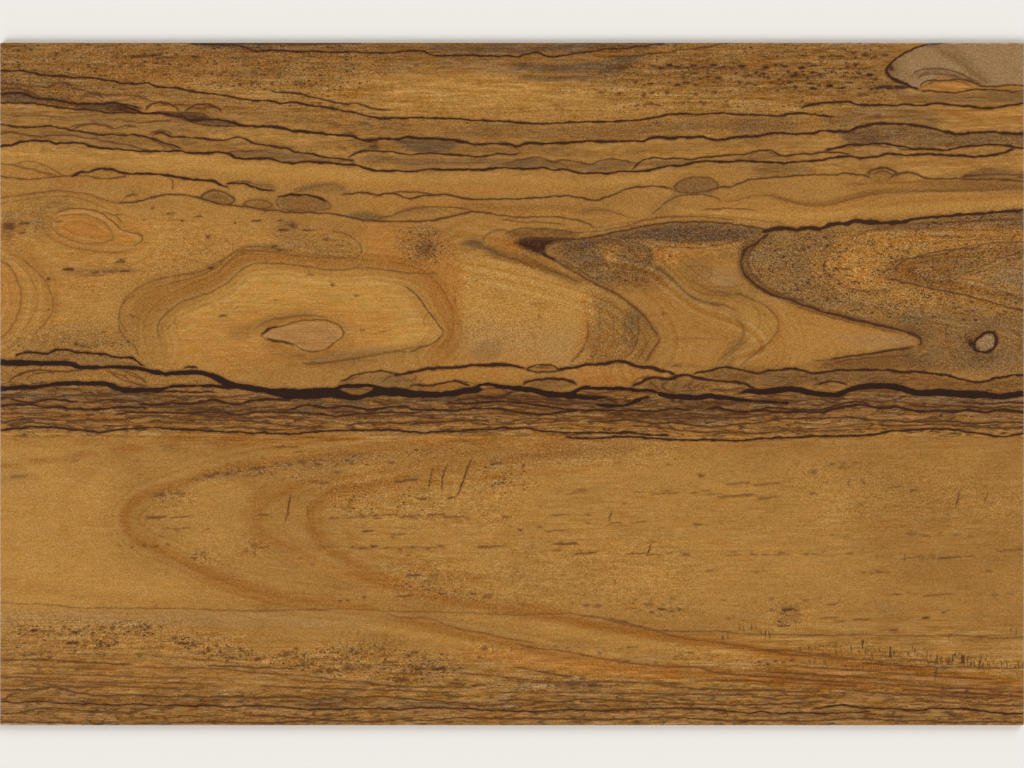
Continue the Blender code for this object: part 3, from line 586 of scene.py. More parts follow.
# The braid of seams on both sides of the thick layer.
BRAID_SEAMS = (
    Seam(0.6, 0.9, (
        (4, 107.6), (5.5, 108.8), (8, 109.3), (11.5, 109.1), (14.5, 109), (16, 110), (18.5, 110.1),
        (20.5, 109.9), (22, 109.2), (25, 109.2), (28, 109), (31, 108.6), (33.5, 107.9), (36, 107.7),
        (38, 107.8), (39.6, 107.1), (41, 105.9), (43, 104.9))),
    Seam(0.5, 0.8, ((53.4, 103.9), (54, 104.7), (56, 105), (57.6, 104.6), (58.4, 103.9))),
    Seam(0.4, 0.65, (
        (2, 100.3), (4, 101.9), (7, 103.3), (10, 104), (14, 103.9), (17, 103.6), (21, 103.9), (25, 104.2))),
    Seam(0.35, 0.5, ((8, 100.6), (8.3, 102.2), (10, 103), (13, 103.4), (17, 103.1))),
    Seam(0.35, 0.55, ((31.5, 104.3), (33, 103.1), (35, 101.6), (38, 100.6), (42, 99.6), (45, 98.9))),
    Seam(0.35, 0.5, ((36, 103.8), (39, 102.5), (41.5, 101.2), (43.5, 99.8))),
    Seam(0.45, 0.8, ((47, 97.7), (52, 97.9), (56, 97.6), (60, 97.7), (64, 97.4))),
    Seam(0.55, 0.8, ((-1, 96), (3, 95.8), (5, 95.2), (8, 94.6), (12, 94.4))),
    Seam(0.55, 0.85, ((9.5, 94.7), (13, 95.3), (17, 95.4), (20, 95), (24, 94.6))),
    Seam(0.4, 0.7, ((26, 94.9), (31, 95.4), (36, 95.2), (41, 95), (45, 95.4))),
    Seam(0.65, 0.9, (
        (-1, 93.3), (3, 93.9), (6, 94.1), (9, 94), (12, 93.3), (14, 93.2), (17, 93.4), (20, 92.8), (24, 92.7),
        (28, 92.5), (31, 92.8), (33, 93.2), (37, 93.3), (41, 93.1), (44, 92.9))),
    Seam(0.75, 0.95, (
        (40, 94.3), (43, 94), (47, 93.9), (50, 94.4), (54, 94.2), (57, 94.3), (60, 94.9), (62.5, 95.3),
        (65, 94.8), (68, 94.1), (71, 94.2), (73.5, 95.1), (77, 95.4), (80, 95.6), (83, 95.3), (86, 95.1))),
    Seam(0.4, 0.6, (
        (44, 93), (50, 93.2), (56, 93.4), (62, 92.3), (68, 91.9), (72, 92.6), (77, 93.2), (82, 93.4))),
    Seam(0.35, 0.55, ((-1, 91.3), (4, 91.5), (9, 91.3), (14, 91.7), (19, 91.6))),
    Seam(0.5, 0.8, (
        (33, 91.1), (38, 91.6), (44, 91.7), (50, 91.6), (56, 91.5), (60, 91.7), (66, 91.4), (70, 90.9),
        (74, 91.6), (78, 91.8), (83, 91.7), (88, 91.6), (92, 91.3), (95, 91), (97.5, 90.6), (101, 90.8),
        (105, 91.2), (109, 91.4), (112, 91.8), (116, 91.6), (120, 91.5), (125, 91.9))),
    Seam(0.42, 0.65, (
        (-1, 88.7), (3, 89.1), (6, 89.6), (9, 89.9), (12, 90), (15, 89.6), (19, 89.4), (23, 89.3), (28, 89.3),
        (32, 89.4), (36, 89.5), (41, 90.3), (45, 90.8), (48, 90.6), (51, 89.9), (55, 89.7), (60, 89.6),
        (66, 89.4), (71, 89.3), (76, 88.9), (82, 88), (86, 87.6), (91, 87.4), (97, 87.6))),
    Seam(0.35, 0.5, (
        (20, 89), (23, 88), (27, 87.3), (31, 87.2), (36, 87.9), (42, 88.6), (50, 88.8), (58, 88.3),
        (68, 88.2))),
    Seam(0.35, 0.5, ((60, 90.5), (66, 90.2), (72, 90), (78, 90.2), (84, 90.1), (90, 89.4), (96, 89.3))),
    Seam(0.55, 0.85, (
        (-1, 86.4), (5, 87), (9, 87.4), (15, 87.3), (18, 87.1), (20, 86.7), (25, 86.3), (30, 85.9),
        (34, 86.6), (38, 86.8), (42, 87.1), (45, 87.4), (49, 86.9), (54, 86.7), (58, 86.5), (62, 86.1),
        (66, 86), (70, 86), (73, 85.6), (77, 85.8), (81, 85.4), (86, 85.4), (90, 85.9), (95, 86.2),
        (100, 86.4), (105, 86.4), (110, 86.6), (114, 86.6), (118, 86.2), (121, 86), (124, 85.6), (127, 86),
        (130, 86.1), (134, 86.2), (137, 86.4), (141, 86.7), (144, 86.6), (147, 87.2), (150, 87), (155, 87),
        (158, 86.3), (162, 86), (166, 85.6), (171, 85.7), (176, 85.8), (181, 85.5), (184, 86), (188, 85.2),
        (192, 85), (197, 85))),
    Seam(0.4, 0.6, ((62, 87.3), (68, 87.3), (74, 86.9), (78, 86.4))),
    Seam(0.65, 0.85, (
        (84, 92.4), (86.5, 93.1), (89, 93.8), (91, 93.7), (94, 93.2), (97, 93.2), (100, 93.4), (103, 93.5),
        (105, 93), (107.5, 92.5), (110, 92.5), (113, 93.1), (116, 93.2), (119, 93.3), (121, 92.6),
        (124, 92.4), (128, 92.4), (132, 92.2), (136, 92.5), (140, 92.9), (144, 92.8), (148, 92.5),
        (151, 91.9), (155, 91.3), (159, 91.1), (162, 91.5), (166, 91.9), (171, 92.3), (176, 92.3),
        (181, 92.2), (186, 92.3), (190, 92), (193, 92.1), (196, 92.8), (199, 92.5), (203, 92.1))),
    Seam(0.35, 0.55, (
        (97, 90.6), (103, 90.6), (108, 90.6), (114, 90.5), (120, 90.6), (126, 90.8), (132, 91), (138, 91.2),
        (145, 91.3), (152, 91))),
    Seam(0.45, 0.7, (
        (101, 87.4), (104, 88.2), (108, 88.7), (113, 88.6), (118, 88.5), (123, 88.5), (128, 88.8),
        (133, 89.1), (139, 89.4), (144, 88.9))),
    Seam(0.35, 0.5, ((140, 88), (146, 88.2), (152, 88.4), (158, 88.6), (164, 89), (170, 89.2))),
    Seam(0.4, 0.55, ((110, 94.2), (114, 94), (119, 94.9), (122, 94.2), (124, 93.8))),
    Seam(0.6, 0.85, (
        (130, 94.5), (134, 94.3), (138, 94.3), (142, 94.6), (147, 94.9), (151, 94.7), (155, 94.1),
        (159, 93.7), (163, 93), (166.5, 92.5), (170, 92.5))),
    Seam(0.45, 0.6, (
        (138, 96.7), (143, 95.8), (148, 96.2), (152, 97), (158, 96.2), (164, 95.2), (169, 94.6),
        (176, 93.9))),
    Seam(0.45, 0.7, (
        (172, 89.2), (177, 89), (183, 89.4), (188, 88.9), (192, 88.4), (197, 88.6), (202, 88), (206, 87.5),
        (210, 87.4), (213, 87.9), (217, 88.3), (221, 88.5), (224, 89), (228, 89.8), (233, 89.8), (238, 90),
        (243, 90), (248, 90.3), (252, 90), (255, 89.3), (260, 89.3), (265, 89), (270, 88.9), (276, 89),
        (281, 88.8), (285, 88.3), (290, 88.7), (295, 88.9), (301, 88.5))),
    Seam(0.35, 0.5, ((160, 90), (166, 89.3), (172, 89.9), (180, 90.3), (188, 90.2), (196, 90.6))),
    Seam(0.4, 0.6, ((186, 90.4), (194, 89.8), (202, 90), (210, 90.2), (218, 90.1), (224, 91.2), (229, 91.8))),
    Seam(0.75, 0.85, (
        (206, 92.5), (210, 93.1), (213, 92.5), (216, 91.9), (220, 92), (223, 92.3), (226, 91.9), (230, 91.7),
        (234, 92), (238, 91.6), (241, 91.8), (244, 92.6), (247, 93.3), (250, 93.8), (252.5, 93.9),
        (255, 93.4), (259, 93), (263, 93.2), (266, 92.6), (269, 92), (274, 92.1), (280, 92), (284, 92.4),
        (287, 92), (289.5, 91.7), (292, 92.4), (296, 92.2), (301, 91.6))),
    Seam(0.4, 0.6, ((200, 93.6), (206, 93.2), (211, 93.9), (217, 94.2))),
    Seam(0.4, 0.6, ((235, 95.8), (240, 95.6), (244, 94.6), (249, 94.6), (254, 95.2), (260, 94.4))),
    Seam(0.4, 0.55, ((262, 95), (268, 94.2), (273, 94), (278, 93.8))),
    Seam(0.5, 0.8, ((281, 94.8), (285, 94.4), (290, 94.2), (295, 94.6), (301, 94.3))),
    Seam(0.35, 0.5, ((222, 87), (230, 87.2), (238, 86.9), (246, 87.6), (254, 88.3), (262, 87.8))),
    Seam(0.6, 0.85, (
        (165, 84.6), (169, 84.2), (174, 84), (178, 84.3), (183, 84.6), (187, 84.4), (192, 84.1), (196, 83.7),
        (201, 83.5), (207, 83.7), (212, 83.5), (218, 83.5), (221, 83.8), (226, 84.2), (232, 84.3),
        (240, 84.8), (246, 84.7), (252, 85), (256, 85.2), (259, 85.9), (263, 86.3), (267, 86.5), (270, 86.7),
        (275, 86.8), (280, 86.5), (284, 86), (288, 85.5), (291, 84.8), (295, 84.6), (297, 85.1),
        (301, 85.8))),
    # The seam that roofs the islands, from the fish's belly to the right edge.
    Seam(0.45, 0.75, (
        (99, 100), (101, 101.2), (103.5, 102.5), (106, 103.2), (109, 103.6), (112, 103.8), (115, 103.1),
        (117, 102.6))),
    Seam(0.9, 1.0, (
        (114.5, 102.9), (117, 102.8), (119.5, 103.2), (122, 103.8), (124.5, 104.3), (128, 104.6),
        (132, 104.9), (135, 105), (138, 105.4), (142, 105.5), (146, 105.7), (150, 105.4), (152.5, 104.8),
        (154.5, 104.2))),
    Seam(0.8, 0.95, (
        (162.5, 103.7), (164.5, 104.3), (168, 104.8), (172, 105.6), (176, 105.8), (179, 106.3),
        (181.5, 106.7), (184, 106.2), (186, 105.3), (190, 104.9), (193, 104.1), (196, 103.4),
        (198.5, 102.4))),
    Seam(0.45, 0.75, (
        (154.3, 104.3), (156, 105.3), (159.5, 105.7), (162.5, 105.1), (163.7, 104.1), (161, 103.6),
        (157, 103.6)), closed=True),
    Seam(0.3, 0.5, ((156, 104.4), (159, 104.9), (162, 104.4))),
    Seam(0.6, 0.9, (
        (153, 99.2), (154.5, 100.7), (157, 101.2), (161, 101.6), (165, 101.3), (167.3, 100.8),
        (169.5, 99.4))),
    Seam(0.35, 0.5, ((167, 97.6), (169.5, 98), (172, 97.4), (176, 97))),
    Seam(0.8, 0.95, (
        (184.5, 98.7), (186, 99.8), (188, 100.4), (189.5, 101.5), (191.5, 102), (194, 101.5), (197, 101.7),
        (199, 102.4), (201.5, 102.6), (203.5, 102), (206, 101.5), (209, 101), (212, 100.8), (216, 100.5),
        (218, 100.1), (220, 99.2), (222, 98.2))),
    Seam(0.4, 0.6, ((196, 101), (194, 99.4), (196, 97.8), (199, 97.4))),
    Seam(0.4, 0.6, ((207.5, 97.6), (209.5, 98.4), (212.5, 98.2), (216, 98.6), (220, 98.5))),
    Seam(0.55, 0.9, (
        (202.5, 102.8), (206, 103.6), (209, 104.2), (211, 104.8), (214, 104.8), (217, 104.2), (220, 103.5),
        (222.5, 103.2), (225, 103.9), (229, 104.1), (233, 104.4), (236, 103.6), (240, 103.3), (244, 103.9),
        (248, 104.1), (252, 104.1), (256, 104), (260, 104.1), (264, 103.5), (269, 103.6), (274, 103),
        (278, 102.4), (281, 101.5), (284, 101), (287, 100.4), (289, 100.8), (291, 101.6), (294, 102),
        (297, 102.5), (301, 102.4))),
    Seam(0.5, 0.8, ((238, 99.3), (240, 100.1), (242.5, 100.6), (245, 100.7), (247.2, 100.2), (249, 99.2))),
    Seam(0.35, 0.5, ((250, 97.6), (255, 98), (260, 97.9), (265, 97.2))),
    Seam(0.4, 0.6, (
        (119, 99), (121, 99.8), (124, 99.8), (127, 99.4), (129, 100.4), (132, 100.8), (136, 100.6),
        (139, 100.2))),
    Seam(0.35, 0.5, ((111.5, 100.3), (113, 101.6), (116, 102.4))),
    Seam(0.5, 0.8, (
        (119, 98.6), (121.2, 99.7), (124.7, 99.5), (128.2, 100), (131.7, 100.7), (135.3, 100.4),
        (138.4, 99))),
    Seam(0.45, 0.7, (
        (23, 94.7), (28, 94.6), (31.7, 95.4), (35.3, 94.7), (40, 94.9), (46, 94), (49, 94.8), (53, 95.6))),
    Seam(0.45, 0.7, ((30, 92.6), (34, 93), (39.5, 93.4), (43.7, 94.1))),
    Seam(0.4, 0.6, ((56, 95.6), (60, 96.3), (65, 96), (70, 96.4), (75, 97))),
    Seam(0.4, 0.55, (
        (0, 97), (6, 96.8), (12, 96.2), (18, 96.4), (24, 96.8), (30, 96.6), (37, 97.1), (44, 96.8),
        (52, 96.4), (60, 96.6))),
    Seam(0.45, 0.7, ((58, 91.7), (63.5, 92.4), (67.7, 91.6), (71.2, 91), (76, 92), (82, 92.4), (86, 92.2))),
    Seam(0.4, 0.6, ((52, 90), (57, 91), (62, 90.4), (68, 90.8), (74, 89.8), (80, 90.6), (87, 90.2))),
    Seam(0.4, 0.6, ((2, 88.2), (8, 88.8), (13, 88.4), (18, 88), (22, 87), (26, 86.6))),
    Seam(0.4, 0.6, ((64, 87), (70, 87.6), (76, 87), (82, 86.6), (90, 87), (98, 87.2))),
    Seam(0.4, 0.65, ((97, 91.6), (102, 92), (107, 91.2), (112, 90.8), (118, 91), (124, 90.4), (130, 89.8))),
    Seam(0.45, 0.7, (
        (132, 94.9), (137, 95.6), (143, 96.2), (148, 95.8), (153, 95), (160, 94.6), (168, 93.4))),
    Seam(0.4, 0.6, ((136, 92), (142, 93.6), (150, 93.8), (156, 92.8), (162, 92.4))),
    Seam(0.4, 0.6, ((141, 98.4), (144, 98.8), (147, 98.4), (148.8, 97.4), (147, 96.6), (143, 96.3))),
    Seam(0.4, 0.55, ((150, 89.4), (156, 90), (162, 89.6), (170, 90.6), (176, 90), (184, 90.8))),
    Seam(0.5, 0.8, ((168, 96.6), (172, 96.8), (176, 96.2), (179, 95.2), (182, 94.2))),
    Seam(0.4, 0.6, ((176, 93), (184, 92.8), (192, 93.4), (200, 93.2), (208, 92.6))),
    Seam(0.4, 0.6, ((184, 88), (192, 87.4), (200, 86.4), (210, 86), (216, 86.4))),
    Seam(0.4, 0.6, ((193, 91.4), (202, 91.6), (210, 90.8), (218, 91.2), (226, 90.8))),
    Seam(0.5, 0.8, ((219, 92.2), (226, 93), (233, 92.6), (240, 92.4), (246, 94), (251, 94.8), (256, 94))),
    Seam(0.4, 0.6, ((222, 96), (230, 95.2), (238, 95.4), (246, 96.4), (250, 97.2))),
    Seam(0.4, 0.6, ((208, 85.2), (214, 85.8), (222, 85.6), (230, 86.4), (240, 86.2), (250, 86.6))),
    Seam(0.4, 0.6, ((256, 88), (266, 87.8), (276, 88.2), (284, 87.6), (294, 87), (301, 87.2))),
    Seam(0.5, 0.7, ((266, 93.8), (272, 93.2), (280, 93.6), (288, 93), (296, 93.4), (301, 93))),
    Seam(0.5, 0.75, ((242.6, 107.2), (248, 108), (255, 108.9), (262, 110), (268, 110.8))),
    Seam(0.35, 0.5, ((244, 106.4), (252, 107.4), (262, 108.2), (268, 108.4))),
    Seam(0.35, 0.5, ((196, 104.4), (198, 105.4), (200, 104.6))),
    Seam(0.35, 0.55, ((190, 101), (192.4, 99), (194, 98))),
    Seam(0.35, 0.55, ((203.6, 101.4), (201.6, 99.4), (203.4, 97.8))),
    Seam(0.35, 0.55, ((207, 100.6), (205.6, 99), (207, 97.8))),
    Seam(0.35, 0.5, ((121, 103.4), (122, 101.8), (120, 100.6))),
    Seam(0.35, 0.5, ((106, 102.6), (103, 101.4), (101.4, 100.4))),
    Seam(0.5, 0.8, ((138.6, 97.2), (141, 96.4), (144, 96), (147.6, 96.4), (149.6, 97.4), (151.6, 98.2))),
    Seam(0.4, 0.6, ((170, 98), (174, 97.4), (178, 97.6), (183, 98), (186, 97.6))),
    Seam(0.4, 0.6, ((172, 97), (177, 96.4), (181, 95.6), (185, 95.4))),
    Seam(0.4, 0.55, ((186.6, 97.4), (189, 97.6), (191.6, 97))),
    Seam(0.35, 0.5, ((101, 98.2), (105, 98.6), (109, 98.2))),
    Seam(0.35, 0.5, ((155.6, 104.6), (159.4, 105.2), (162.8, 104.6))),
    Seam(0.28, 0.45, ((196.6, 97.8), (197.6, 99.6), (199.4, 100.8))),
    Seam(0.28, 0.45, ((199.6, 97.8), (200.8, 99.6), (202.6, 100.8))),
    Seam(0.28, 0.45, ((202.4, 97.8), (203.8, 99.4), (205.8, 100.4))),
    Seam(0.28, 0.4, ((205.4, 97.8), (206.8, 99.2), (208.8, 99.9))),
    Seam(0.28, 0.45, ((184.6, 99.4), (186.4, 101.2), (189, 102.2), (192, 102.4))),
    Seam(0.28, 0.45, ((30.6, 103.8), (34, 103.2), (37, 101.8), (39.4, 100.2))),
    Seam(0.28, 0.45, ((34.6, 104.2), (38.4, 103.4), (41.4, 101.8), (44, 100))),
)

# The streaked floor of the slab, and the hairlines of the plain band above it.
FLOOR_SEAMS = (
    Seam(0.32, 0.6, (
        (-1, 10.2), (6, 10.3), (10, 10.4), (14, 11.2), (17, 11.2), (19, 10.5), (22, 9.7), (25, 9.2),
        (29, 8.8), (34, 8.8), (39, 8.9), (44, 8.7), (48, 8.3), (52, 8.5), (58, 8.3), (65, 8.4), (72, 8.3),
        (78, 8), (82, 8.3), (88, 8.2), (94, 7.4), (98, 8.1), (104, 8.2), (110, 8.4), (116, 8.1), (120, 7.6),
        (125, 7.4), (130, 7), (134, 6.7), (138, 6.1), (142, 5.9), (148, 6.2))),
    Seam(0.36, 0.82, (
        (-1, 7), (5, 6.6), (9, 6.9), (14, 6.8), (18, 6.5), (22, 6.3), (28, 6.2), (34, 6), (40, 6.2),
        (46, 5.8), (52, 5.8), (58, 5.7), (63, 5.8), (66, 5.3), (72, 5.7), (78, 5.7), (84, 5.2), (90, 4.6),
        (97, 4.8), (104, 4.9), (112, 4.8), (118, 4.6), (124, 5.2), (130, 5), (136, 5), (143, 4.4), (150, 4.2),
        (157, 4), (162, 4.3), (167, 4.6), (172, 4.3), (178, 4.2), (185, 4.6), (193, 4.9), (201, 5),
        (208, 4.6), (214, 4.1), (219, 3.6), (224, 4), (227, 3.4), (232, 3.7), (240, 3.5), (248, 3.7),
        (256, 4))),
    Seam(0.34, 0.6, (
        (-1, 3.4), (5, 3.6), (9, 4.4), (12, 5), (16, 5), (20, 4.8), (24, 4.2), (28, 4), (33, 3.8), (38, 3.8),
        (42, 4.8), (46, 5.2), (52, 5.2))),
    Seam(0.36, 0.62, (
        (-1, 1), (8, 1), (14, 0.9), (22, 0.5), (30, 0.4), (45, 0.5), (60, 1), (78, 0.7), (100, 1.4), (108, 1),
        (116, 1.6), (126, 1.4), (134, 2.2), (145, 2), (152, 1.9), (160, 1.9), (168, 1.8), (176, 1.5),
        (184, 2), (192, 2.3), (200, 2.2), (208, 1.6), (215, 1.3), (222, 1.4), (232, 1.3), (240, 1.3),
        (246, 1.9), (254, 2), (262, 1.4), (270, 1.2), (278, 0.9), (288, 1), (301, 0.8))),
    Seam(0.45, 0.65, ((72, 2.9), (82, 2.6), (90, 2), (98, 1.5))),
    Seam(0.34, 0.65, (
        (145, 7.2), (149, 7.3), (153, 7.6), (157, 7.2), (162, 6.8), (168, 7.4), (175, 7.7), (181, 7.2),
        (186, 7), (192, 6.9), (197, 6.6), (203, 6.2), (208, 6.2), (214, 5.9), (222, 6.1), (230, 6.3),
        (236, 6.7), (242, 7.1))),
    Seam(0.5, 0.85, (
        (237, 4.3), (240, 5), (243, 5.6), (248, 5.9), (251, 5.3), (256, 5), (262, 4.8), (268, 4.4),
        (274, 4.9), (279, 4.9), (284, 4.6), (290, 3.9), (295, 3.4), (301, 3.6))),
    Seam(0.35, 0.55, ((268, 7.2), (274, 6.9), (280, 6.4), (290, 6), (301, 5.6))),
    Seam(0.35, 0.5, ((222, 8), (228, 7.7), (234, 8), (240, 8.6))),
    Seam(0.35, 0.5, ((72, 15.5), (82, 15), (90, 14.4), (96, 13.6), (102, 12.9), (110, 12.6))),
    Seam(0.35, 0.45, ((24, 12.2), (32, 11.7), (40, 11.2), (50, 10.7), (62, 10.6))),
    Seam(0.35, 0.4, ((-1, 14), (6, 14.2), (13, 13.6), (20, 13.4))),
    Seam(0.45, 0.5, (
        (196, 17.2), (205, 16.8), (209, 15.6), (215, 14.9), (222, 14.3), (230, 13.8), (238, 13.3),
        (245, 12.7), (253, 12.4), (262, 12), (270, 11.4), (278, 11), (285, 10.8), (292, 10.2), (301, 9.7))),
    Seam(0.3, 0.4, (
        (190.4, 28), (200, 25.6), (211.5, 24.1), (221, 22.7), (230.8, 20.8), (239.4, 20.3), (251, 19.3),
        (269, 18.8))),
    Seam(0.3, 0.42, (
        (150, 24.1), (156.7, 22.7), (165.4, 21.7), (175, 19.8), (182.7, 18.4), (191.3, 17.4), (198, 16.9))),
    Seam(0.36, 0.55, ((178, 31.6), (186, 29.4), (192, 28))),
    Seam(0.36, 0.55, ((150, 17.4), (159.6, 15.5), (169, 14))),
    Seam(0.36, 0.55, ((191, 12.1), (204, 10.7), (214, 10.4), (226, 10.2), (240, 9.4))),
    Seam(0.36, 0.58, ((252, 18.4), (265, 17.4), (280, 16.8))),
    Seam(0.36, 0.58, ((263.5, 10.7), (275, 9.9), (286.5, 9.2), (301, 8.2))),
    Seam(0.36, 0.55, ((224, 15.6), (240, 14.8), (256, 13.8), (268, 12.8))),
    Seam(0.3, 0.45, ((38.5, 17.1), (52, 16.9), (67.3, 16.4), (76, 15.2))),
    Seam(0.36, 0.55, ((106, 12.4), (118.3, 11.3), (127.9, 11.3), (138.5, 11.2))),
    Seam(0.36, 0.55, ((11.5, 12.3), (21, 11.4), (31, 11.2))),
    Seam(0.36, 0.55, ((76, 11.6), (90, 11), (104, 10.6), (118, 10.2), (132, 9.4))),
    Seam(0.36, 0.55, ((-1, 19), (12, 19.2), (26, 18.4), (40, 17.6))),
    Seam(0.34, 0.42, ((3, 15.2), (18, 15), (34, 14.4), (56, 13.8))),
    Seam(0.36, 0.55, ((60, 17.6), (74, 17), (88, 16.4))),
    Seam(0.34, 0.48, ((134, 15.4), (148, 14.2), (160, 12.8), (176, 12.4))),
    Seam(0.3, 0.4, ((222, 22.2), (230, 22), (238, 21), (245, 20.2), (252, 19.5))),
    Seam(0.4, 0.45, ((275, 17.3), (285, 17), (292, 16.7), (301, 16.8))),
    Seam(0.35, 0.45, ((263, 19.7), (268, 19.3), (272, 18.9), (276, 17.8))),
    Seam(0.28, 0.32, (
        (-1, 36), (6, 35.5), (14, 35.4), (22, 34.5), (30, 34.4), (45, 34.3), (55, 34.2), (65, 33.7),
        (78, 33.6), (90, 33.8), (100, 34), (108, 33.9), (114, 33.4), (122, 33.3), (130, 33.2), (140, 32.8),
        (150, 32.4), (160, 32.6), (170, 32.4), (174, 31.4))),
    Seam(0.28, 0.32, (
        (113, 32.6), (118, 31.6), (126, 31.3), (131, 29.4), (136, 27.9), (141, 27.2), (146, 26), (152, 24.9),
        (157, 24.3))),
    Seam(0.35, 0.42, (
        (170, 32), (176, 31.5), (180, 30.4), (185, 29.2), (190, 28), (196, 27.6), (203, 27.4), (211, 27.6),
        (216, 26.9), (222, 26.7), (232, 26.6), (242, 26.3), (252, 26.6), (262, 26.3), (272, 26.2),
        (280, 26.3), (287, 25.8), (293, 25.5), (301, 26))),
    Seam(0.3, 0.3, ((102, 52), (107, 51.9), (113, 51.9), (120, 52.3), (130, 52))),
    # Short cracks, all leaning the same way.
    Seam(0.3, 0.6, ((85.3, 68.7), (84.6, 65), (84.1, 61), (82.8, 58.8))),
    Seam(0.25, 0.45, ((90.2, 65), (90, 60.4))),
    Seam(0.3, 0.55, ((127, 76.5), (126.2, 73), (125.3, 68.6))),
    Seam(0.3, 0.65, ((131.2, 76.9), (130, 74), (129.4, 70.8), (129.1, 68.6))),
    Seam(0.35, 0.7, ((138.2, 78.8), (136.8, 75), (135.6, 71.2), (134.3, 68), (133.2, 66.6))),
    Seam(0.35, 0.7, ((179.3, 63.5), (178.8, 61.6), (178.4, 59.4))),
    Seam(0.4, 0.7, ((191.1, 54.2), (190.3, 51.7), (189.2, 49))),
    Seam(0.3, 0.6, ((281.4, 69.2), (280.6, 66.2), (279.7, 63.3))),
    Seam(0.3, 0.5, ((289.4, 69), (288.6, 64.7))),
    Seam(0.3, 0.4, ((276.9, 69), (276.6, 66.6))),
    Seam(0.3, 0.45, ((296.9, 67.6), (296.2, 65.3))),
    Seam(0.3, 0.6, ((274.8, 18), (274.3, 15.5), (273.8, 12.9))),
    Seam(0.34, 0.5, ((150, 12.9), (160, 12.4), (172, 12.9), (186, 12.6), (200, 12.2))),
    Seam(0.34, 0.5, ((206, 13.2), (220, 12.9), (238, 12.2), (252, 11.4))),
    Seam(0.34, 0.48, ((228, 17.6), (242, 16.8), (258, 15.6), (274, 14.4), (292, 13.4))),
    Seam(0.34, 0.48, ((154, 9.8), (172, 9.6), (190, 9.2), (206, 9), (222, 8.9))),
    Seam(0.34, 0.5, ((246, 10.4), (262, 9.2), (276, 8.6), (292, 7.6))),
    Seam(0.32, 0.42, ((6, 17.2), (20, 16.9), (34, 16.4))),
    Seam(0.32, 0.42, ((44, 20.4), (56, 19.6), (70, 18.2))),
    Seam(0.32, 0.42, ((8, 13.2), (26, 12.6), (46, 12.4), (64, 12.2))),
    Seam(0.32, 0.42, ((84, 13.4), (98, 12.6), (112, 11.8))),
)

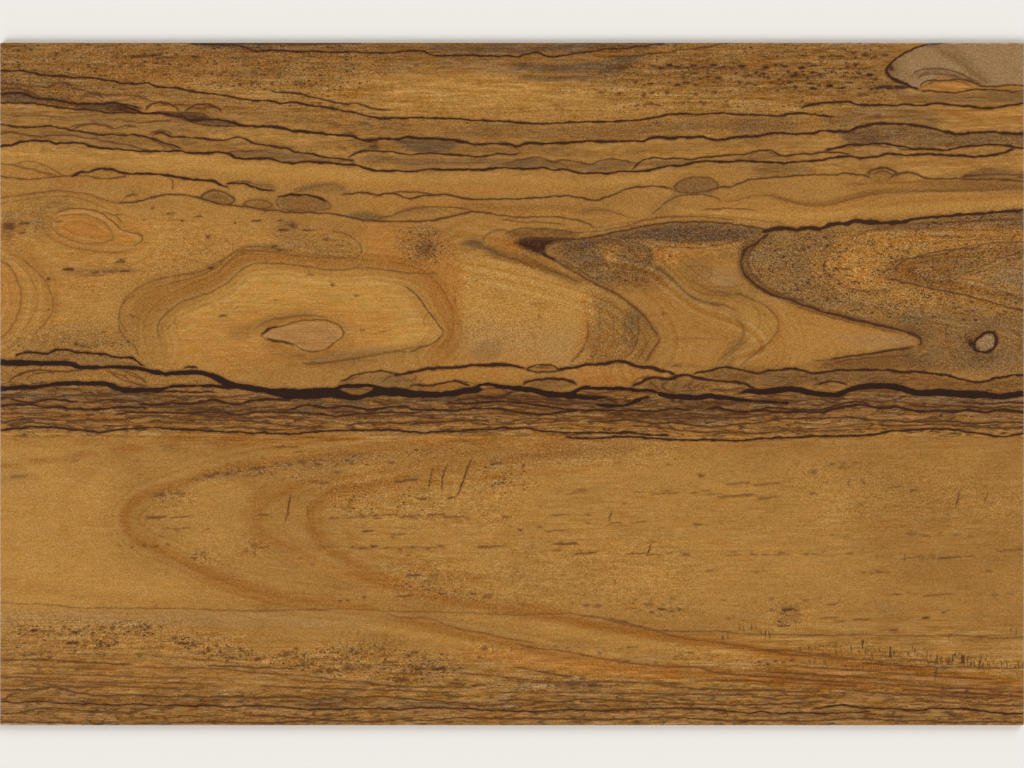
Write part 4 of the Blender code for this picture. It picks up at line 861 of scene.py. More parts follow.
# Short dark flecks: (along, up, length, thickness, dark).
FLECKS = (
    (10, 27.9, 1.8, 0.8, 0.8), (6.2, 28, 1.2, 0.4, 0.6), (8, 27.7, 1.1, 0.5, 0.5), (14, 27.6, 5, 0.45, 0.4),
    (22, 27.3, 2, 0.8, 0.75), (23.7, 27.7, 1, 0.5, 0.6), (20.6, 24.2, 3.4, 0.8, 0.7),
    (25.2, 26.2, 1, 0.4, 0.5), (27.4, 27.2, 1.1, 0.5, 0.6), (28.8, 26.3, 1.2, 0.5, 0.6),
    (29.4, 28, 1.6, 0.5, 0.6), (29.7, 23.7, 1.7, 0.7, 0.6), (28.3, 22.6, 2, 0.55, 0.6),
    (31.6, 23.4, 1.4, 1.1, 0.75), (32.8, 25.4, 1.5, 0.5, 0.6), (34.3, 25.7, 1.4, 0.4, 0.45),
    (32, 27.2, 1, 0.5, 0.5), (37.5, 27.6, 2, 0.7, 0.7), (39.5, 28.9, 1.6, 0.6, 0.55),
    (42.1, 27.9, 1.8, 0.6, 0.7), (45.4, 24.4, 0.9, 0.4, 0.65), (47.5, 22.2, 0.9, 0.6, 0.65),
    (51, 25.6, 2, 0.45, 0.55), (54, 24.2, 3, 0.55, 0.65), (57.2, 23.6, 2.2, 0.6, 0.6),
    (61.2, 22.1, 1.6, 0.6, 0.7), (58, 21, 2, 0.5, 0.5), (65, 20.6, 4, 0.5, 0.5), (68.3, 20, 1.8, 0.8, 0.65),
    (71, 21.8, 2, 0.5, 0.5), (9, 20.7, 4, 0.5, 0.5), (11.3, 16.6, 1.3, 1.4, 0.45),
    (22.6, 16.4, 1.4, 1.6, 0.4), (8.5, 12.4, 4.5, 1, 0.4), (75.5, 19.6, 2.6, 0.7, 0.6),
    (84, 21, 2.4, 1.2, 0.4), (88, 17.6, 5, 0.6, 0.6), (93, 15.8, 3, 0.6, 0.45), (97, 15.8, 2.4, 0.9, 0.5),
    (101.8, 17, 3, 1.4, 0.45), (103, 22, 1.2, 1.2, 0.5), (112, 22.2, 1.6, 0.6, 0.6),
    (115, 18.6, 3.6, 0.6, 0.5), (118, 13.2, 4, 1, 0.55), (120.5, 21.2, 1.6, 0.9, 0.5),
    (125.6, 13, 1.2, 0.5, 0.7), (123.5, 16.4, 4, 0.7, 0.55), (128.5, 16.7, 4.5, 0.8, 0.65),
    (133, 12.1, 5, 0.6, 0.5), (140.3, 11.8, 4, 0.5, 0.55), (142, 22.6, 1, 1, 0.5),
    (138.6, 24.3, 0.7, 0.9, 0.5), (155, 23, 3, 0.6, 0.5), (168, 12.2, 5, 1.1, 0.55),
    (173.6, 11.8, 3.4, 1, 0.6), (170.6, 14, 1.6, 1, 0.4), (183, 18.5, 3.6, 0.7, 0.5), (185, 23, 3, 0.35, 0.5),
    (119, 2, 4, 0.9, 0.6), (197, 2.2, 5, 0.7, 0.55), (45.5, 61, 6, 0.7, 0.5), (53, 61.2, 7, 0.3, 0.45),
    (77, 61.7, 4, 0.35, 0.4), (107, 61.5, 20, 0.35, 0.35), (120, 61.4, 7, 0.35, 0.45),
    (128.5, 61.9, 4.5, 0.4, 0.5), (134, 61.2, 6, 0.4, 0.4), (50.5, 57.6, 5, 0.5, 0.4),
    (60.8, 57.5, 1.8, 0.4, 0.5), (108, 57, 3.5, 0.5, 0.5), (115, 55.2, 1.6, 0.6, 0.4),
    (117, 56, 5, 0.3, 0.35), (57, 49, 3.6, 0.6, 0.5), (60, 49.4, 0.6, 1.2, 0.45), (58, 49.6, 0.5, 1.2, 0.45),
    (74.4, 51, 0.7, 1, 0.6), (76.5, 52.2, 3, 0.9, 0.35), (72, 51, 2, 0.4, 0.4), (88, 49, 1, 0.4, 0.5),
    (91.3, 47, 1.2, 0.5, 0.6), (121.5, 44, 4.5, 0.6, 0.6), (127, 44, 3.5, 0.7, 0.35),
    (117.8, 46.4, 1, 0.9, 0.5), (119.6, 50, 2, 0.4, 0.5), (125, 42.4, 3, 0.5, 0.4),
    (129.6, 38.7, 2.6, 0.4, 0.7), (118, 38, 6, 0.4, 0.4), (106.8, 37.5, 2, 0.7, 0.45),
    (99.5, 36.5, 1.8, 0.5, 0.6), (102, 36.5, 1, 0.4, 0.5), (138.5, 38.6, 2.4, 0.5, 0.5),
    (143, 38, 3, 1, 0.35), (144, 52.6, 9, 0.8, 0.4), (152.6, 57.2, 1.3, 0.8, 0.65), (163, 57.1, 6, 0.4, 0.4),
    (158, 58.2, 1, 0.5, 0.5), (166, 53.4, 7, 0.8, 0.5), (172.2, 59.2, 0.7, 0.6, 0.6),
    (163, 51.4, 3, 0.5, 0.4), (171.5, 50.5, 7, 0.4, 0.5), (164, 61.7, 5, 0.4, 0.4),
    (172, 61.8, 1.8, 0.7, 0.45), (180.5, 59.3, 4, 0.4, 0.45), (187, 59.6, 5, 0.3, 0.4),
    (204.5, 58.8, 1.8, 0.6, 0.5), (186, 50.4, 6, 0.35, 0.45), (192, 50.1, 3, 0.35, 0.5),
    (208, 45.5, 3.6, 0.4, 0.45), (215, 50, 5, 0.3, 0.35), (221, 50, 3, 0.5, 0.35), (153.3, 76, 1.6, 1.2, 0.5),
    (205.5, 73.2, 1.8, 1, 0.5), (216, 71, 8, 0.5, 0.4), (216, 67.4, 11, 0.6, 0.4), (225, 70.8, 8, 0.4, 0.35),
    (225, 66.8, 7, 0.5, 0.4), (195, 68, 8, 0.4, 0.35), (209, 67.8, 5, 0.4, 0.35), (238, 74.4, 2.6, 1.6, 0.35),
    (243.5, 76.4, 2, 0.4, 0.5), (246.5, 75.5, 1.6, 0.5, 0.45), (231, 34, 4, 0.9, 0.65),
    (231.5, 35.4, 0.8, 1.4, 0.5), (233.8, 32.6, 1.4, 0.7, 0.6), (226.2, 33.8, 1, 0.6, 0.5),
    (228.6, 30.4, 1.4, 0.8, 0.6), (229.6, 29.2, 4, 0.4, 0.6), (234, 30, 3, 0.3, 0.35),
    (243, 31.6, 6, 0.4, 0.4), (252.5, 31.1, 5, 0.4, 0.5), (244, 35.6, 4, 0.35, 0.4),
    (245.8, 36.6, 0.7, 0.9, 0.45), (261.5, 28, 3, 0.9, 0.45), (271.4, 31.4, 2.4, 0.6, 0.65),
    (277.2, 33.6, 1.2, 0.7, 0.65), (262.4, 38.4, 4.4, 0.4, 0.5), (268, 38.4, 1.6, 0.5, 0.4),
    (275, 38.4, 10, 0.5, 0.35), (257.5, 44.8, 5, 0.5, 0.35), (290, 45.2, 3, 0.4, 0.35),
    (249.3, 50.5, 1.5, 0.4, 0.5), (264.8, 48.7, 0.5, 1.4, 0.5), (278, 49.2, 7, 0.5, 0.45),
    (268, 49.3, 5, 0.3, 0.4), (296, 51.5, 8, 0.5, 0.35), (284, 49.6, 3, 0.3, 0.4), (238, 50.2, 3, 0.4, 0.4),
    (229, 50.2, 6, 0.4, 0.35), (260.8, 69.6, 1, 0.6, 0.5), (263, 70, 3, 0.4, 0.4), (268, 68.9, 3, 0.5, 0.4),
    (253, 71, 1.2, 0.5, 0.45), (238, 67.8, 2.6, 0.6, 0.4), (248.6, 71, 0.6, 1.2, 0.45),
    (250.6, 77, 1.2, 0.6, 0.4), (82, 81.6, 3.6, 0.45, 0.45), (86, 81.7, 2.4, 0.35, 0.5),
    (87.5, 80, 2, 0.5, 0.35), (92, 71.6, 3, 0.8, 0.35), (95, 71, 3, 0.6, 0.35), (99, 74.2, 3.6, 0.7, 0.4),
    (61.5, 73.2, 3.6, 0.8, 0.4), (57.5, 72.2, 2.6, 0.5, 0.35), (47, 67.6, 3, 0.8, 0.35),
    (52, 68, 5, 0.7, 0.3), (75.5, 75.4, 5, 0.8, 0.45), (22.5, 77.6, 1.6, 0.7, 0.45),
    (40, 77.6, 0.6, 0.6, 0.5), (5, 73, 5, 0.8, 0.3), (124, 66.3, 3, 0.9, 0.45), (132, 66.6, 2, 0.5, 0.6),
    (117, 71.4, 4, 0.8, 0.4), (120, 72, 5, 0.6, 0.45), (145, 76.8, 4, 0.6, 0.4), (103, 66, 2, 0.8, 0.35),
    (101.5, 63.8, 4, 0.7, 0.35), (35.2, 135.8, 3.2, 0.55, 0.55), (62, 133.7, 2.6, 0.4, 0.7),
    (20, 133.6, 3, 0.5, 0.4), (34, 133.2, 8, 0.7, 0.4), (27, 131.9, 8, 0.5, 0.3),
    (69.4, 122.2, 0.7, 0.5, 0.8), (38.8, 119.8, 1.2, 0.35, 0.6), (65.4, 119.8, 3, 0.35, 0.45),
    (24.5, 111.4, 3, 0.9, 0.45), (28.4, 111.2, 1, 1, 0.5), (15.8, 111.4, 1, 0.8, 0.45),
    (97.8, 129, 1.6, 0.5, 0.65), (91, 132, 3, 0.5, 0.4), (104.5, 125.9, 1.6, 0.5, 0.5),
    (106, 115.9, 2, 0.5, 0.4), (113, 115.6, 4, 0.35, 0.3), (133.2, 127, 1, 0.9, 0.6),
    (133.4, 124.8, 0.5, 1, 0.5), (139.6, 130.2, 0.8, 0.5, 0.7), (158, 123.7, 5, 0.4, 0.3),
    (158.2, 120, 0.8, 1.2, 0.35), (194.2, 120.7, 0.6, 0.7, 0.55), (5.7, 138.9, 0.9, 0.6, 0.6),
    (53.2, 147.8, 1, 0.9, 0.55), (61.5, 143, 1.6, 0.8, 0.35), (2.5, 146.4, 3.4, 1.8, 0.5),
    (128, 144.8, 2, 0.5, 0.5), (123, 143.9, 1, 0.5, 0.5), (130.4, 140.8, 0.7, 0.5, 0.6),
    (195.4, 185.4, 1.2, 1.6, 0.6), (41, 196, 6, 0.7, 0.6), (48, 195.7, 6, 0.6, 0.55),
    (34.2, 195.7, 1.8, 0.8, 0.5), (51, 195.7, 2, 0.6, 0.5), (39, 193.5, 1.8, 0.6, 0.5),
    (35.4, 193.4, 1.6, 0.8, 0.5), (64.5, 190.6, 2, 0.4, 0.5), (20, 198, 2.6, 0.9, 0.45),
    (45, 191.4, 3, 0.6, 0.45), (14.5, 191.5, 2.4, 1, 0.35), (36, 186.4, 2, 0.5, 0.45),
    (59, 183.8, 1, 0.4, 0.6), (69.5, 190.6, 0.8, 1, 0.4), (75.6, 188.5, 1.4, 0.7, 0.5),
    (79.6, 192, 2.4, 1.2, 0.4), (81.7, 190.6, 0.9, 2.6, 0.45), (88, 188, 1.4, 1.2, 0.5),
    (91, 195.7, 1.2, 1, 0.6), (96.5, 186, 1.6, 0.4, 0.5), (93.6, 182.2, 1.2, 0.8, 0.55),
    (97, 181.4, 1.4, 0.7, 0.45), (105, 192, 1, 0.5, 0.5), (122, 193.3, 1.6, 0.7, 0.5),
    (120, 192.3, 0.6, 1.2, 0.5), (130.6, 189.1, 1.2, 0.7, 0.65), (141, 187.3, 1, 0.8, 0.45),
    (110, 194.6, 1.6, 0.7, 0.35), (194, 192.6, 3, 0.7, 0.6), (200, 192.6, 5, 0.5, 0.5),
    (206, 192.8, 6, 0.6, 0.55), (211, 192.7, 3, 0.4, 0.6), (217.4, 192.6, 1.6, 0.7, 0.65),
    (200, 190.4, 1.4, 0.8, 0.55), (196, 190.2, 1, 0.6, 0.5), (206.5, 190, 1.4, 0.6, 0.5),
    (200.4, 188.5, 0.9, 0.8, 0.55), (193.6, 188.4, 1.2, 0.5, 0.5), (188.6, 184.9, 1.2, 0.5, 0.55),
    (179, 186.5, 1.2, 0.5, 0.45), (190, 182, 4, 0.7, 0.4), (216.4, 188.2, 1.4, 1.6, 0.5),
    (219, 190.4, 3, 0.7, 0.5), (204.5, 182.6, 5, 0.4, 0.35), (171, 189, 2.4, 0.5, 0.35),
    (173.5, 188.2, 1, 0.4, 0.45), (233, 190.5, 3, 0.7, 0.75), (238.5, 190.3, 6, 0.6, 0.55),
    (231, 191.6, 1, 1.4, 0.45), (227.6, 187.9, 2.4, 0.8, 0.5), (224, 192.2, 4, 0.5, 0.55),
    (250, 197.3, 3, 0.6, 0.6), (240, 197.6, 5, 0.6, 0.4), (231, 197.4, 5, 0.4, 0.4),
    (258.6, 187, 6, 0.9, 0.7), (264, 186.9, 5, 0.8, 0.7), (251, 189.9, 5, 0.5, 0.5),
    (243, 192.6, 5, 0.4, 0.45), (254, 192.6, 5, 0.35, 0.45), (246.5, 185.8, 2, 0.8, 0.5),
    (253, 185, 3, 0.8, 0.4), (228, 186.4, 7, 0.4, 0.4), (257, 178.5, 3.6, 1.2, 0.4),
    (260, 172.3, 2.6, 0.7, 0.5), (278, 170, 2, 1.2, 0.45), (285.5, 170.4, 3.4, 0.6, 0.4),
    (273.3, 145.2, 0.9, 0.9, 0.55), (291, 142.8, 1.2, 0.5, 0.6), (296.6, 142.3, 1.4, 0.8, 0.4),
    (278.7, 142.9, 1, 0.5, 0.65), (265.8, 138.7, 1.6, 0.9, 0.5), (251.3, 141.7, 1.2, 0.7, 0.6),
    (242.4, 140.4, 1.4, 0.8, 0.55), (230.2, 137, 1.1, 1, 0.6), (233.4, 137.6, 1.6, 0.6, 0.55),
    (228.3, 139.4, 0.7, 0.7, 0.6), (237.5, 135.4, 1.4, 0.5, 0.6), (241.6, 134.7, 1, 0.7, 0.5),
    (244.8, 133.9, 0.9, 0.8, 0.6), (247.6, 133.7, 2.4, 0.5, 0.6), (232.7, 132.6, 0.9, 0.8, 0.6),
    (229.6, 127.8, 0.9, 0.5, 0.6), (234.4, 127.5, 1, 0.5, 0.6), (242.6, 124.9, 1.2, 0.9, 0.6),
    (246, 129.2, 0.8, 0.6, 0.5), (252, 128.3, 0.8, 0.5, 0.5), (256.8, 122.4, 1.6, 0.4, 0.65),
    (270, 122.3, 0.8, 1.4, 0.5), (263, 119.3, 0.7, 0.6, 0.6), (275.6, 125, 1.4, 1, 0.45),
    (280, 122.3, 1, 0.8, 0.65), (284.6, 124.2, 0.8, 0.8, 0.55), (298.2, 136.8, 1.6, 0.8, 0.5),
    (288.6, 131.6, 1, 0.8, 0.4), (294.5, 110.5, 1.4, 1.2, 0.4), (299, 127.3, 0.7, 0.5, 0.6),
    (188.8, 131, 0.6, 0.5, 0.7), (211.4, 131.4, 1, 0.8, 0.35), (186.4, 137.4, 0.7, 0.6, 0.4),
    (229.8, 137.3, 1, 0.9, 0.9), (232.5, 137.5, 0.7, 0.6, 0.8), (241.5, 134.7, 1, 0.7, 0.85),
    (245, 134, 1.6, 0.6, 0.9), (247.6, 133.9, 0.9, 0.6, 0.85), (243, 125, 0.8, 0.6, 0.8),
    (257, 122.3, 1, 0.6, 0.75), (270, 122, 1.4, 0.7, 0.8), (280, 122.3, 0.9, 0.6, 0.75),
    (265, 138.8, 1, 0.8, 0.8), (251, 141.6, 0.8, 0.6, 0.8), (237.5, 135.5, 0.9, 0.6, 0.75),
    (228, 139.5, 0.9, 0.6, 0.8), (232.5, 132.5, 0.9, 0.6, 0.8), (234, 127.8, 0.8, 0.6, 0.75),
    (236.5, 129.6, 0.9, 0.5, 0.7), (245.5, 129.3, 0.9, 0.6, 0.8), (250.7, 130, 0.8, 0.5, 0.75),
    (242.6, 140.6, 0.9, 0.7, 0.8), (278.5, 143, 0.8, 0.6, 0.75), (291, 143, 0.8, 0.6, 0.7),
    (273.7, 145, 1.1, 0.6, 0.75), (284.8, 124, 1, 0.6, 0.75), (282, 119, 1.4, 0.8, 0.8),
    (286, 118.6, 1.2, 0.7, 0.8), (240.5, 138.6, 0.8, 0.9, 0.8), (239, 141.8, 0.7, 0.6, 0.7),
    (224, 141.6, 0.8, 0.6, 0.7), (35.4, 136.4, 2.4, 0.5, 0.7), (36.4, 133.2, 3, 0.6, 0.7),
    (20, 133.7, 3.4, 0.7, 0.7), (28, 132.8, 3, 0.5, 0.55), (62, 134.1, 2.4, 0.8, 0.8),
    (53.4, 147.8, 0.8, 0.9, 0.85), (61, 143.2, 1.6, 1.2, 0.55), (68.9, 147.4, 0.6, 1, 0.8),
    (85.6, 146.6, 2.6, 1.4, 0.6), (83, 145.2, 3.4, 0.6, 0.6), (90, 145, 4, 0.5, 0.55),
    (75, 147.9, 3, 0.5, 0.6), (82, 147.8, 2, 0.5, 0.6), (44.8, 151.6, 1.4, 0.9, 0.5),
    (42.6, 148, 1, 0.7, 0.7), (21.6, 149.4, 0.9, 0.5, 0.7), (14.4, 130.8, 1.1, 0.9, 0.7),
    (13.8, 128.6, 0.8, 0.7, 0.65), (16, 124, 0.9, 0.6, 0.6), (14.4, 121.8, 1, 0.6, 0.6),
    (39, 120, 0.9, 0.7, 0.7), (69.6, 122.3, 0.8, 0.6, 0.75), (78.3, 122.4, 0.7, 0.5, 0.7),
    (75.4, 121, 0.9, 0.5, 0.65), (65, 120, 2.6, 0.4, 0.55), (97.6, 129.5, 0.9, 0.6, 0.8),
    (104, 126.2, 0.8, 0.5, 0.65), (81, 124.6, 2, 0.4, 0.5), (22.2, 111.6, 1.8, 0.8, 0.7),
    (20.4, 110.8, 0.9, 0.5, 0.7), (26, 110.9, 1.2, 0.5, 0.6), (9, 112.6, 1.2, 0.5, 0.6),
    (13, 114.4, 1, 0.5, 0.55), (33, 112, 1.2, 0.5, 0.6), (30.6, 115.4, 1.4, 0.4, 0.5),
    (37.6, 112.4, 0.9, 0.7, 0.6), (34.4, 149.6, 2, 0.5, 0.6), (30.6, 147.2, 2, 0.5, 0.5),
    (50, 150, 3, 0.5, 0.5), (58, 149, 2.6, 0.5, 0.55), (7, 147, 3.4, 0.6, 0.55), (6.4, 144.4, 2.4, 0.5, 0.5),
    (17, 147.6, 2, 0.4, 0.5), (95.4, 142.4, 2, 0.5, 0.5), (100, 140.6, 1.6, 0.5, 0.5),
    (80.6, 140.4, 2.6, 0.7, 0.6), (82, 139.2, 2.4, 0.6, 0.6), (34, 198.6, 1.4, 0.5, 0.6),
    (46, 196.5, 4, 0.6, 0.7), (35, 193, 1.8, 0.6, 0.7), (39.5, 193.4, 0.9, 0.5, 0.7),
    (53, 193.6, 0.8, 0.6, 0.7), (44, 191.6, 0.9, 0.5, 0.7), (60, 191.8, 0.9, 0.6, 0.7),
    (65.6, 191.5, 1.8, 0.5, 0.7), (74, 191.2, 1.2, 0.5, 0.6), (78, 191.4, 0.9, 0.5, 0.6),
    (80, 188.4, 0.9, 0.7, 0.7), (87, 187.6, 1.4, 0.6, 0.7), (91, 185, 0.8, 0.6, 0.7),
    (93, 182, 0.8, 0.6, 0.7), (97, 181.6, 0.8, 0.6, 0.65),
)

# Combs of short upright ticks along a seam: (first along, last along, up, height, dark).
COMBS = (
    (223, 226, 26.8, 2.0, 0.8), (212, 213, 26.2, 2.0, 0.7), (217, 221, 28.4, 1.4, 0.6),
    (234, 239, 22.6, 1.2, 0.6), (241, 247, 21.6, 1.2, 0.6), (244, 245, 23.8, 1.6, 0.7),
    (248.6, 249.6, 22.6, 2.2, 0.8), (252.4, 253.2, 23.4, 3.0, 1.0), (254.6, 257, 20.6, 2.0, 0.8),
    (257.8, 258.6, 21.4, 2.2, 0.9), (260.6, 261.8, 21.6, 3.2, 1.0), (263, 264, 21, 1.6, 0.7),
    (265.2, 267.8, 21.8, 2.6, 0.95), (269, 273, 20.4, 1.4, 0.6), (274.4, 276, 19.6, 2.4, 0.8),
    (277.4, 278.6, 19.4, 1.8, 0.7), (280, 280.8, 19.8, 2.6, 0.95), (282.4, 283.2, 19.4, 2.6, 0.9),
    (284, 300, 17.8, 1.6, 0.75), (287, 288, 19.2, 1.6, 0.7), (243, 266, 16.8, 1.0, 0.4),
    (268, 276, 15.4, 1.2, 0.4), (236, 244, 18.8, 1.0, 0.5), (296, 299, 27.6, 1.8, 0.6),
    (277.6, 278.4, 25.6, 1.8, 0.7), (286, 290, 25.6, 1.0, 0.5), (270, 276, 49.3, 1.0, 0.4),
    (115.6, 116.2, 74.6, 2.0, 0.35), (142, 146, 22.4, 1.2, 0.5), (100, 106, 25.6, 4.0, 0.3),
    (106, 118, 25, 2.6, 0.28),
)

# Rows of short dark dashes: (up, length, dark, where along).
DASH_ROWS = (
    (193, 1.5, 0.62, (
        191.5, 193.5, 196, 198.4, 201, 203.4, 206, 209, 212, 214.6, 217.6, 224.6, 227, 230, 235, 238, 248,
        250.6)),
    (191, 1.3, 0.66, (216, 219, 221.6, 223.8, 231, 233.4, 235.6, 238, 240.4, 244, 252, 255)),
    (189.8, 1.2, 0.6, (200, 205, 207.6, 210.4, 222.6, 225.4, 228.6, 232, 237, 247, 251, 256.6)),
    (188, 1.3, 0.58, (186, 190.4, 198.6, 201, 203.6, 216.6, 219, 221.4, 226, 229, 231.4, 237, 240, 249)),
    (186.8, 1.9, 0.72, (233, 238, 243, 246.4, 255.4, 258, 260.6, 263.4)),
    (196, 1.6, 0.5, (236, 241, 243.6, 246, 250.6, 253.4, 256, 259)),
    (185, 1.2, 0.5, (176, 181.6, 188.6, 191, 204, 209.6, 247, 252, 257)),
    (182, 1.2, 0.45, (180, 186.4, 190.6, 193, 200, 206, 213)),
    (196.4, 1.2, 0.55, (34.6, 39, 42.4, 45, 47.2, 51.6, 57)),
    (193.6, 0.9, 0.5, (33, 36.4, 41, 45.6, 50, 55.4, 63, 71.4, 79, 84.4)),
    (190.6, 0.9, 0.5, (30.6, 43, 48.4, 57.6, 62.2, 68, 74.6, 77, 81.4, 87.4, 94)),
    (188, 0.9, 0.55, (62, 70.6, 74, 79.4, 86.4, 88.8, 91)),
    (28.6, 0.8, 0.5, (6, 8.8, 12.4, 19, 24.6, 26, 31, 33.4, 35.6, 38.4, 41.4, 43.4, 45, 47)),
    (27, 0.8, 0.46, (10.6, 16, 17.6, 21.2, 23, 27.4, 30.4, 36.8, 39.6, 44.4)),
    (24, 0.9, 0.54, (19.4, 21.2, 22.6, 24.8, 30.4, 32.4, 33.8, 52.6, 54.4, 56.4, 58.4)),
    (22.8, 0.8, 0.46, (27.8, 29.6, 31.2, 55.2, 57.6, 61.4, 63.6, 66.4, 70.6, 84, 86.4)),
    (21, 0.9, 0.48, (57, 59.6, 61.8, 65, 67.6, 71, 73.4, 82.6, 85.4, 89.6, 97, 104.4, 119.4, 121.6)),
    (19.6, 0.8, 0.42, (66.4, 68.6, 75, 77.6, 79.4, 87, 92.4, 99, 107, 110.6, 120, 124.6, 134, 140.4)),
    (17.8, 0.9, 0.44, (86, 89, 91.6, 94, 100.4, 106.6, 113, 116, 120.6, 127, 133)),
    (16.6, 1.0, 0.5, (94.6, 96.4, 98.8, 102.4, 104, 108, 112, 118.6, 121.4, 124.4, 126.6, 128.4, 130.2, 135)),
    (15.2, 0.8, 0.42, (99, 102.6, 110, 115.4, 117.8, 123, 125.4, 129.6)),
    (13.2, 1.1, 0.45, (113.6, 116, 118.4, 121.6, 125.6, 134, 168, 170.6)),
    (12, 1.3, 0.48, (128.4, 132, 135.6, 139, 152, 163.4, 166, 168.6, 171, 173.4, 175.6)),
    (33.6, 1.2, 0.5, (187, 190.6, 194, 196.6, 199, 233, 276.6)),
    (18.6, 1.0, 0.5, (222.6, 224.8, 227, 229.4, 232, 258, 262.6)),
    (20.6, 1.3, 0.42, (7.4, 9.8, 12, 14.4, 30, 41)),
    (73.6, 1.0, 0.36, (59.4, 63, 66.8, 72, 76.4, 79.6)),
    (76.6, 1.2, 0.34, (80.6, 85, 88.4, 93, 98.6, 103, 108, 114.6)),
    (57.5, 0.9, 0.34, (46.4, 49, 52.2, 54.6, 60.4)),
    (52.6, 1.0, 0.32, (35.4, 38.6, 42, 45.4, 49.4, 74, 78)),
    (61.2, 1.6, 0.3, (97, 101, 106, 111, 116, 121, 126, 131, 137, 142, 148)),
    (52, 1.4, 0.42, (103, 106, 109.6, 113, 117.4, 121, 125.4, 129)),
    (68.3, 1.8, 0.22, (164, 168, 171, 187, 191.6, 195.4, 203, 207)),
    (55.8, 2.0, 0.2, (244, 248, 267, 271, 275.4, 280, 284.4)),
    (50.4, 1.8, 0.26, (190.4, 196, 201, 215, 220, 224.4, 229, 236, 241, 249)),
    (44.8, 1.2, 0.26, (219.6, 221.8, 253, 257, 260)),
    (38.4, 1.4, 0.24, (266, 287, 291.4, 296)),
    (36.8, 1.2, 0.24, (186, 191, 197, 212, 221, 226, 236, 240)),
    (35.2, 1.6, 0.28, (168, 171.6, 175, 190)),
    (30.8, 1.8, 0.24, (213, 218, 246, 253)),
    (22.7, 1.2, 0.28, (163, 166, 181.6, 186.4)),
    (20.9, 1.0, 0.3, (168, 176, 199, 203, 207)),
    (18.5, 1.0, 0.3, (178, 188, 192, 196, 208, 212)),
    (76.4, 1.0, 0.24, (164, 176, 181, 196, 229, 233, 244, 247)),
    (64.6, 0.8, 0.22, (152, 158, 183, 199, 228, 252, 262, 290)),
)

# What stains the stone, bed by bed from the roof to the floor.
ROOF_STAINS = (
    Stain(STRATA, 0.3, 4, ((-8, 208), (250, 208), (262, 196), (230, 186), (180, 190), (100, 192), (-8, 192))),
    Stain(UMBER, 0.4, 4, (
        (-5, 186), (40, 188), (75, 188.5), (110, 191), (150, 191.5), (200, 186), (240, 183), (262, 183),
        (264, 205), (-5, 205))),
    Stain(UMBER, 0.35, 3, ((60, 197.6), (120, 196.6), (160, 196), (190, 197.8), (190, 205), (60, 205))),
    Stain(PEPPER, 0.9, 7, ((-8, 184), (40, 186), (75, 184), (105, 182), (114, 190), (110, 208), (-8, 208))),
    Stain(PEPPER, 0.8, 7, (
        (178, 180), (215, 178), (262, 180), (262, 189), (258, 194), (268, 208), (178, 208))),
    Stain(PEPPER, 0.4, 6, ((110, 183), (180, 180), (180, 205), (110, 205))),
    Stain(STREAK, 0.75, 4, ((-8, 182), (100, 178), (200, 179), (308, 180), (308, 208), (-8, 208))),
    Stain(HONEY, 0.35, 6, (
        (112, 181), (125, 179.6), (145, 179), (165, 180), (172, 184), (152, 189), (130, 190), (114, 187))),
    Stain(EMBER, 0.45, 5, ((26, 190), (40, 188.5), (60, 189), (66, 193), (52, 196), (32, 196))),
    Stain(BUFF, 0.5, 1.6, (
        (128, 194.9), (136, 195.4), (146, 194.2), (155, 192), (148, 191.2), (136, 192.6), (128, 193.6))),
    Stain(SMOKE, 0.75, 1.6, ((58, 199.4), (66, 198.4), (80, 198.9), (84, 204), (58, 204))),
    Stain(SMOKE, 0.7, 1.4, ((173, 192.3), (178, 191.4), (184, 191.8), (183, 193.2), (176, 193.4))),
    Stain(BUFF, 1.0, 0.6, (
        (259.8, 192), (261.5, 194.4), (264, 196.3), (267, 198), (272, 199.4), (278, 200.6), (306, 208),
        (306, 187.4), (295, 187.6), (288, 187.4), (284, 188.8), (276, 189), (271, 188.5), (269.6, 186.3),
        (266, 187.3), (262.3, 189.2), (260.4, 190.6))),
    Stain(EMBER, 0.3, 0.8, (
        (269.8, 186.4), (274, 185.9), (279, 185.8), (283, 186.3), (286.5, 187.2), (284, 188.4), (280, 189),
        (273, 188.6), (270.6, 187.9))),
    Stain(SMOKE, 0.6, 1.6, (
        (262, 185.4), (272, 185), (284, 185.2), (306, 185.6), (306, 182.8), (290, 182.4), (278, 182.6),
        (264, 182.8))),
    Stain(EMBER, 0.3, 2, ((270, 181), (284, 180.6), (306, 181.6), (306, 176), (288, 177), (276, 178))),
    Stain(SMOKE, 0.6, 1.4, (
        (1, 183.4), (3, 186), (7, 186.4), (12, 185), (22, 184.2), (20, 182.6), (10, 182.6))),
    Stain(SMOKE, 0.6, 1, ((50, 178.2), (54, 179.3), (60, 178.8), (62, 177.8), (55, 177.4))),
    Stain(SMOKE, 0.5, 1, ((60, 176.4), (64, 177), (69, 176.4), (66, 175.4), (61, 175.4))),
    Stain(PLUM, 0.5, 1, ((33, 181.4), (37, 182.4), (41, 181.2), (38, 180.2), (34, 180.4))),
    Stain(EMBER, 0.5, 1, (
        (270.6, 186.8), (274, 188.4), (279, 188.8), (284, 187.6), (284.6, 186.4), (277, 185.8))),
    Stain(STREAK, 0.6, 6, (
        (180, 196), (220, 197), (262, 194), (266, 188), (240, 183), (200, 183), (170, 186))),
)
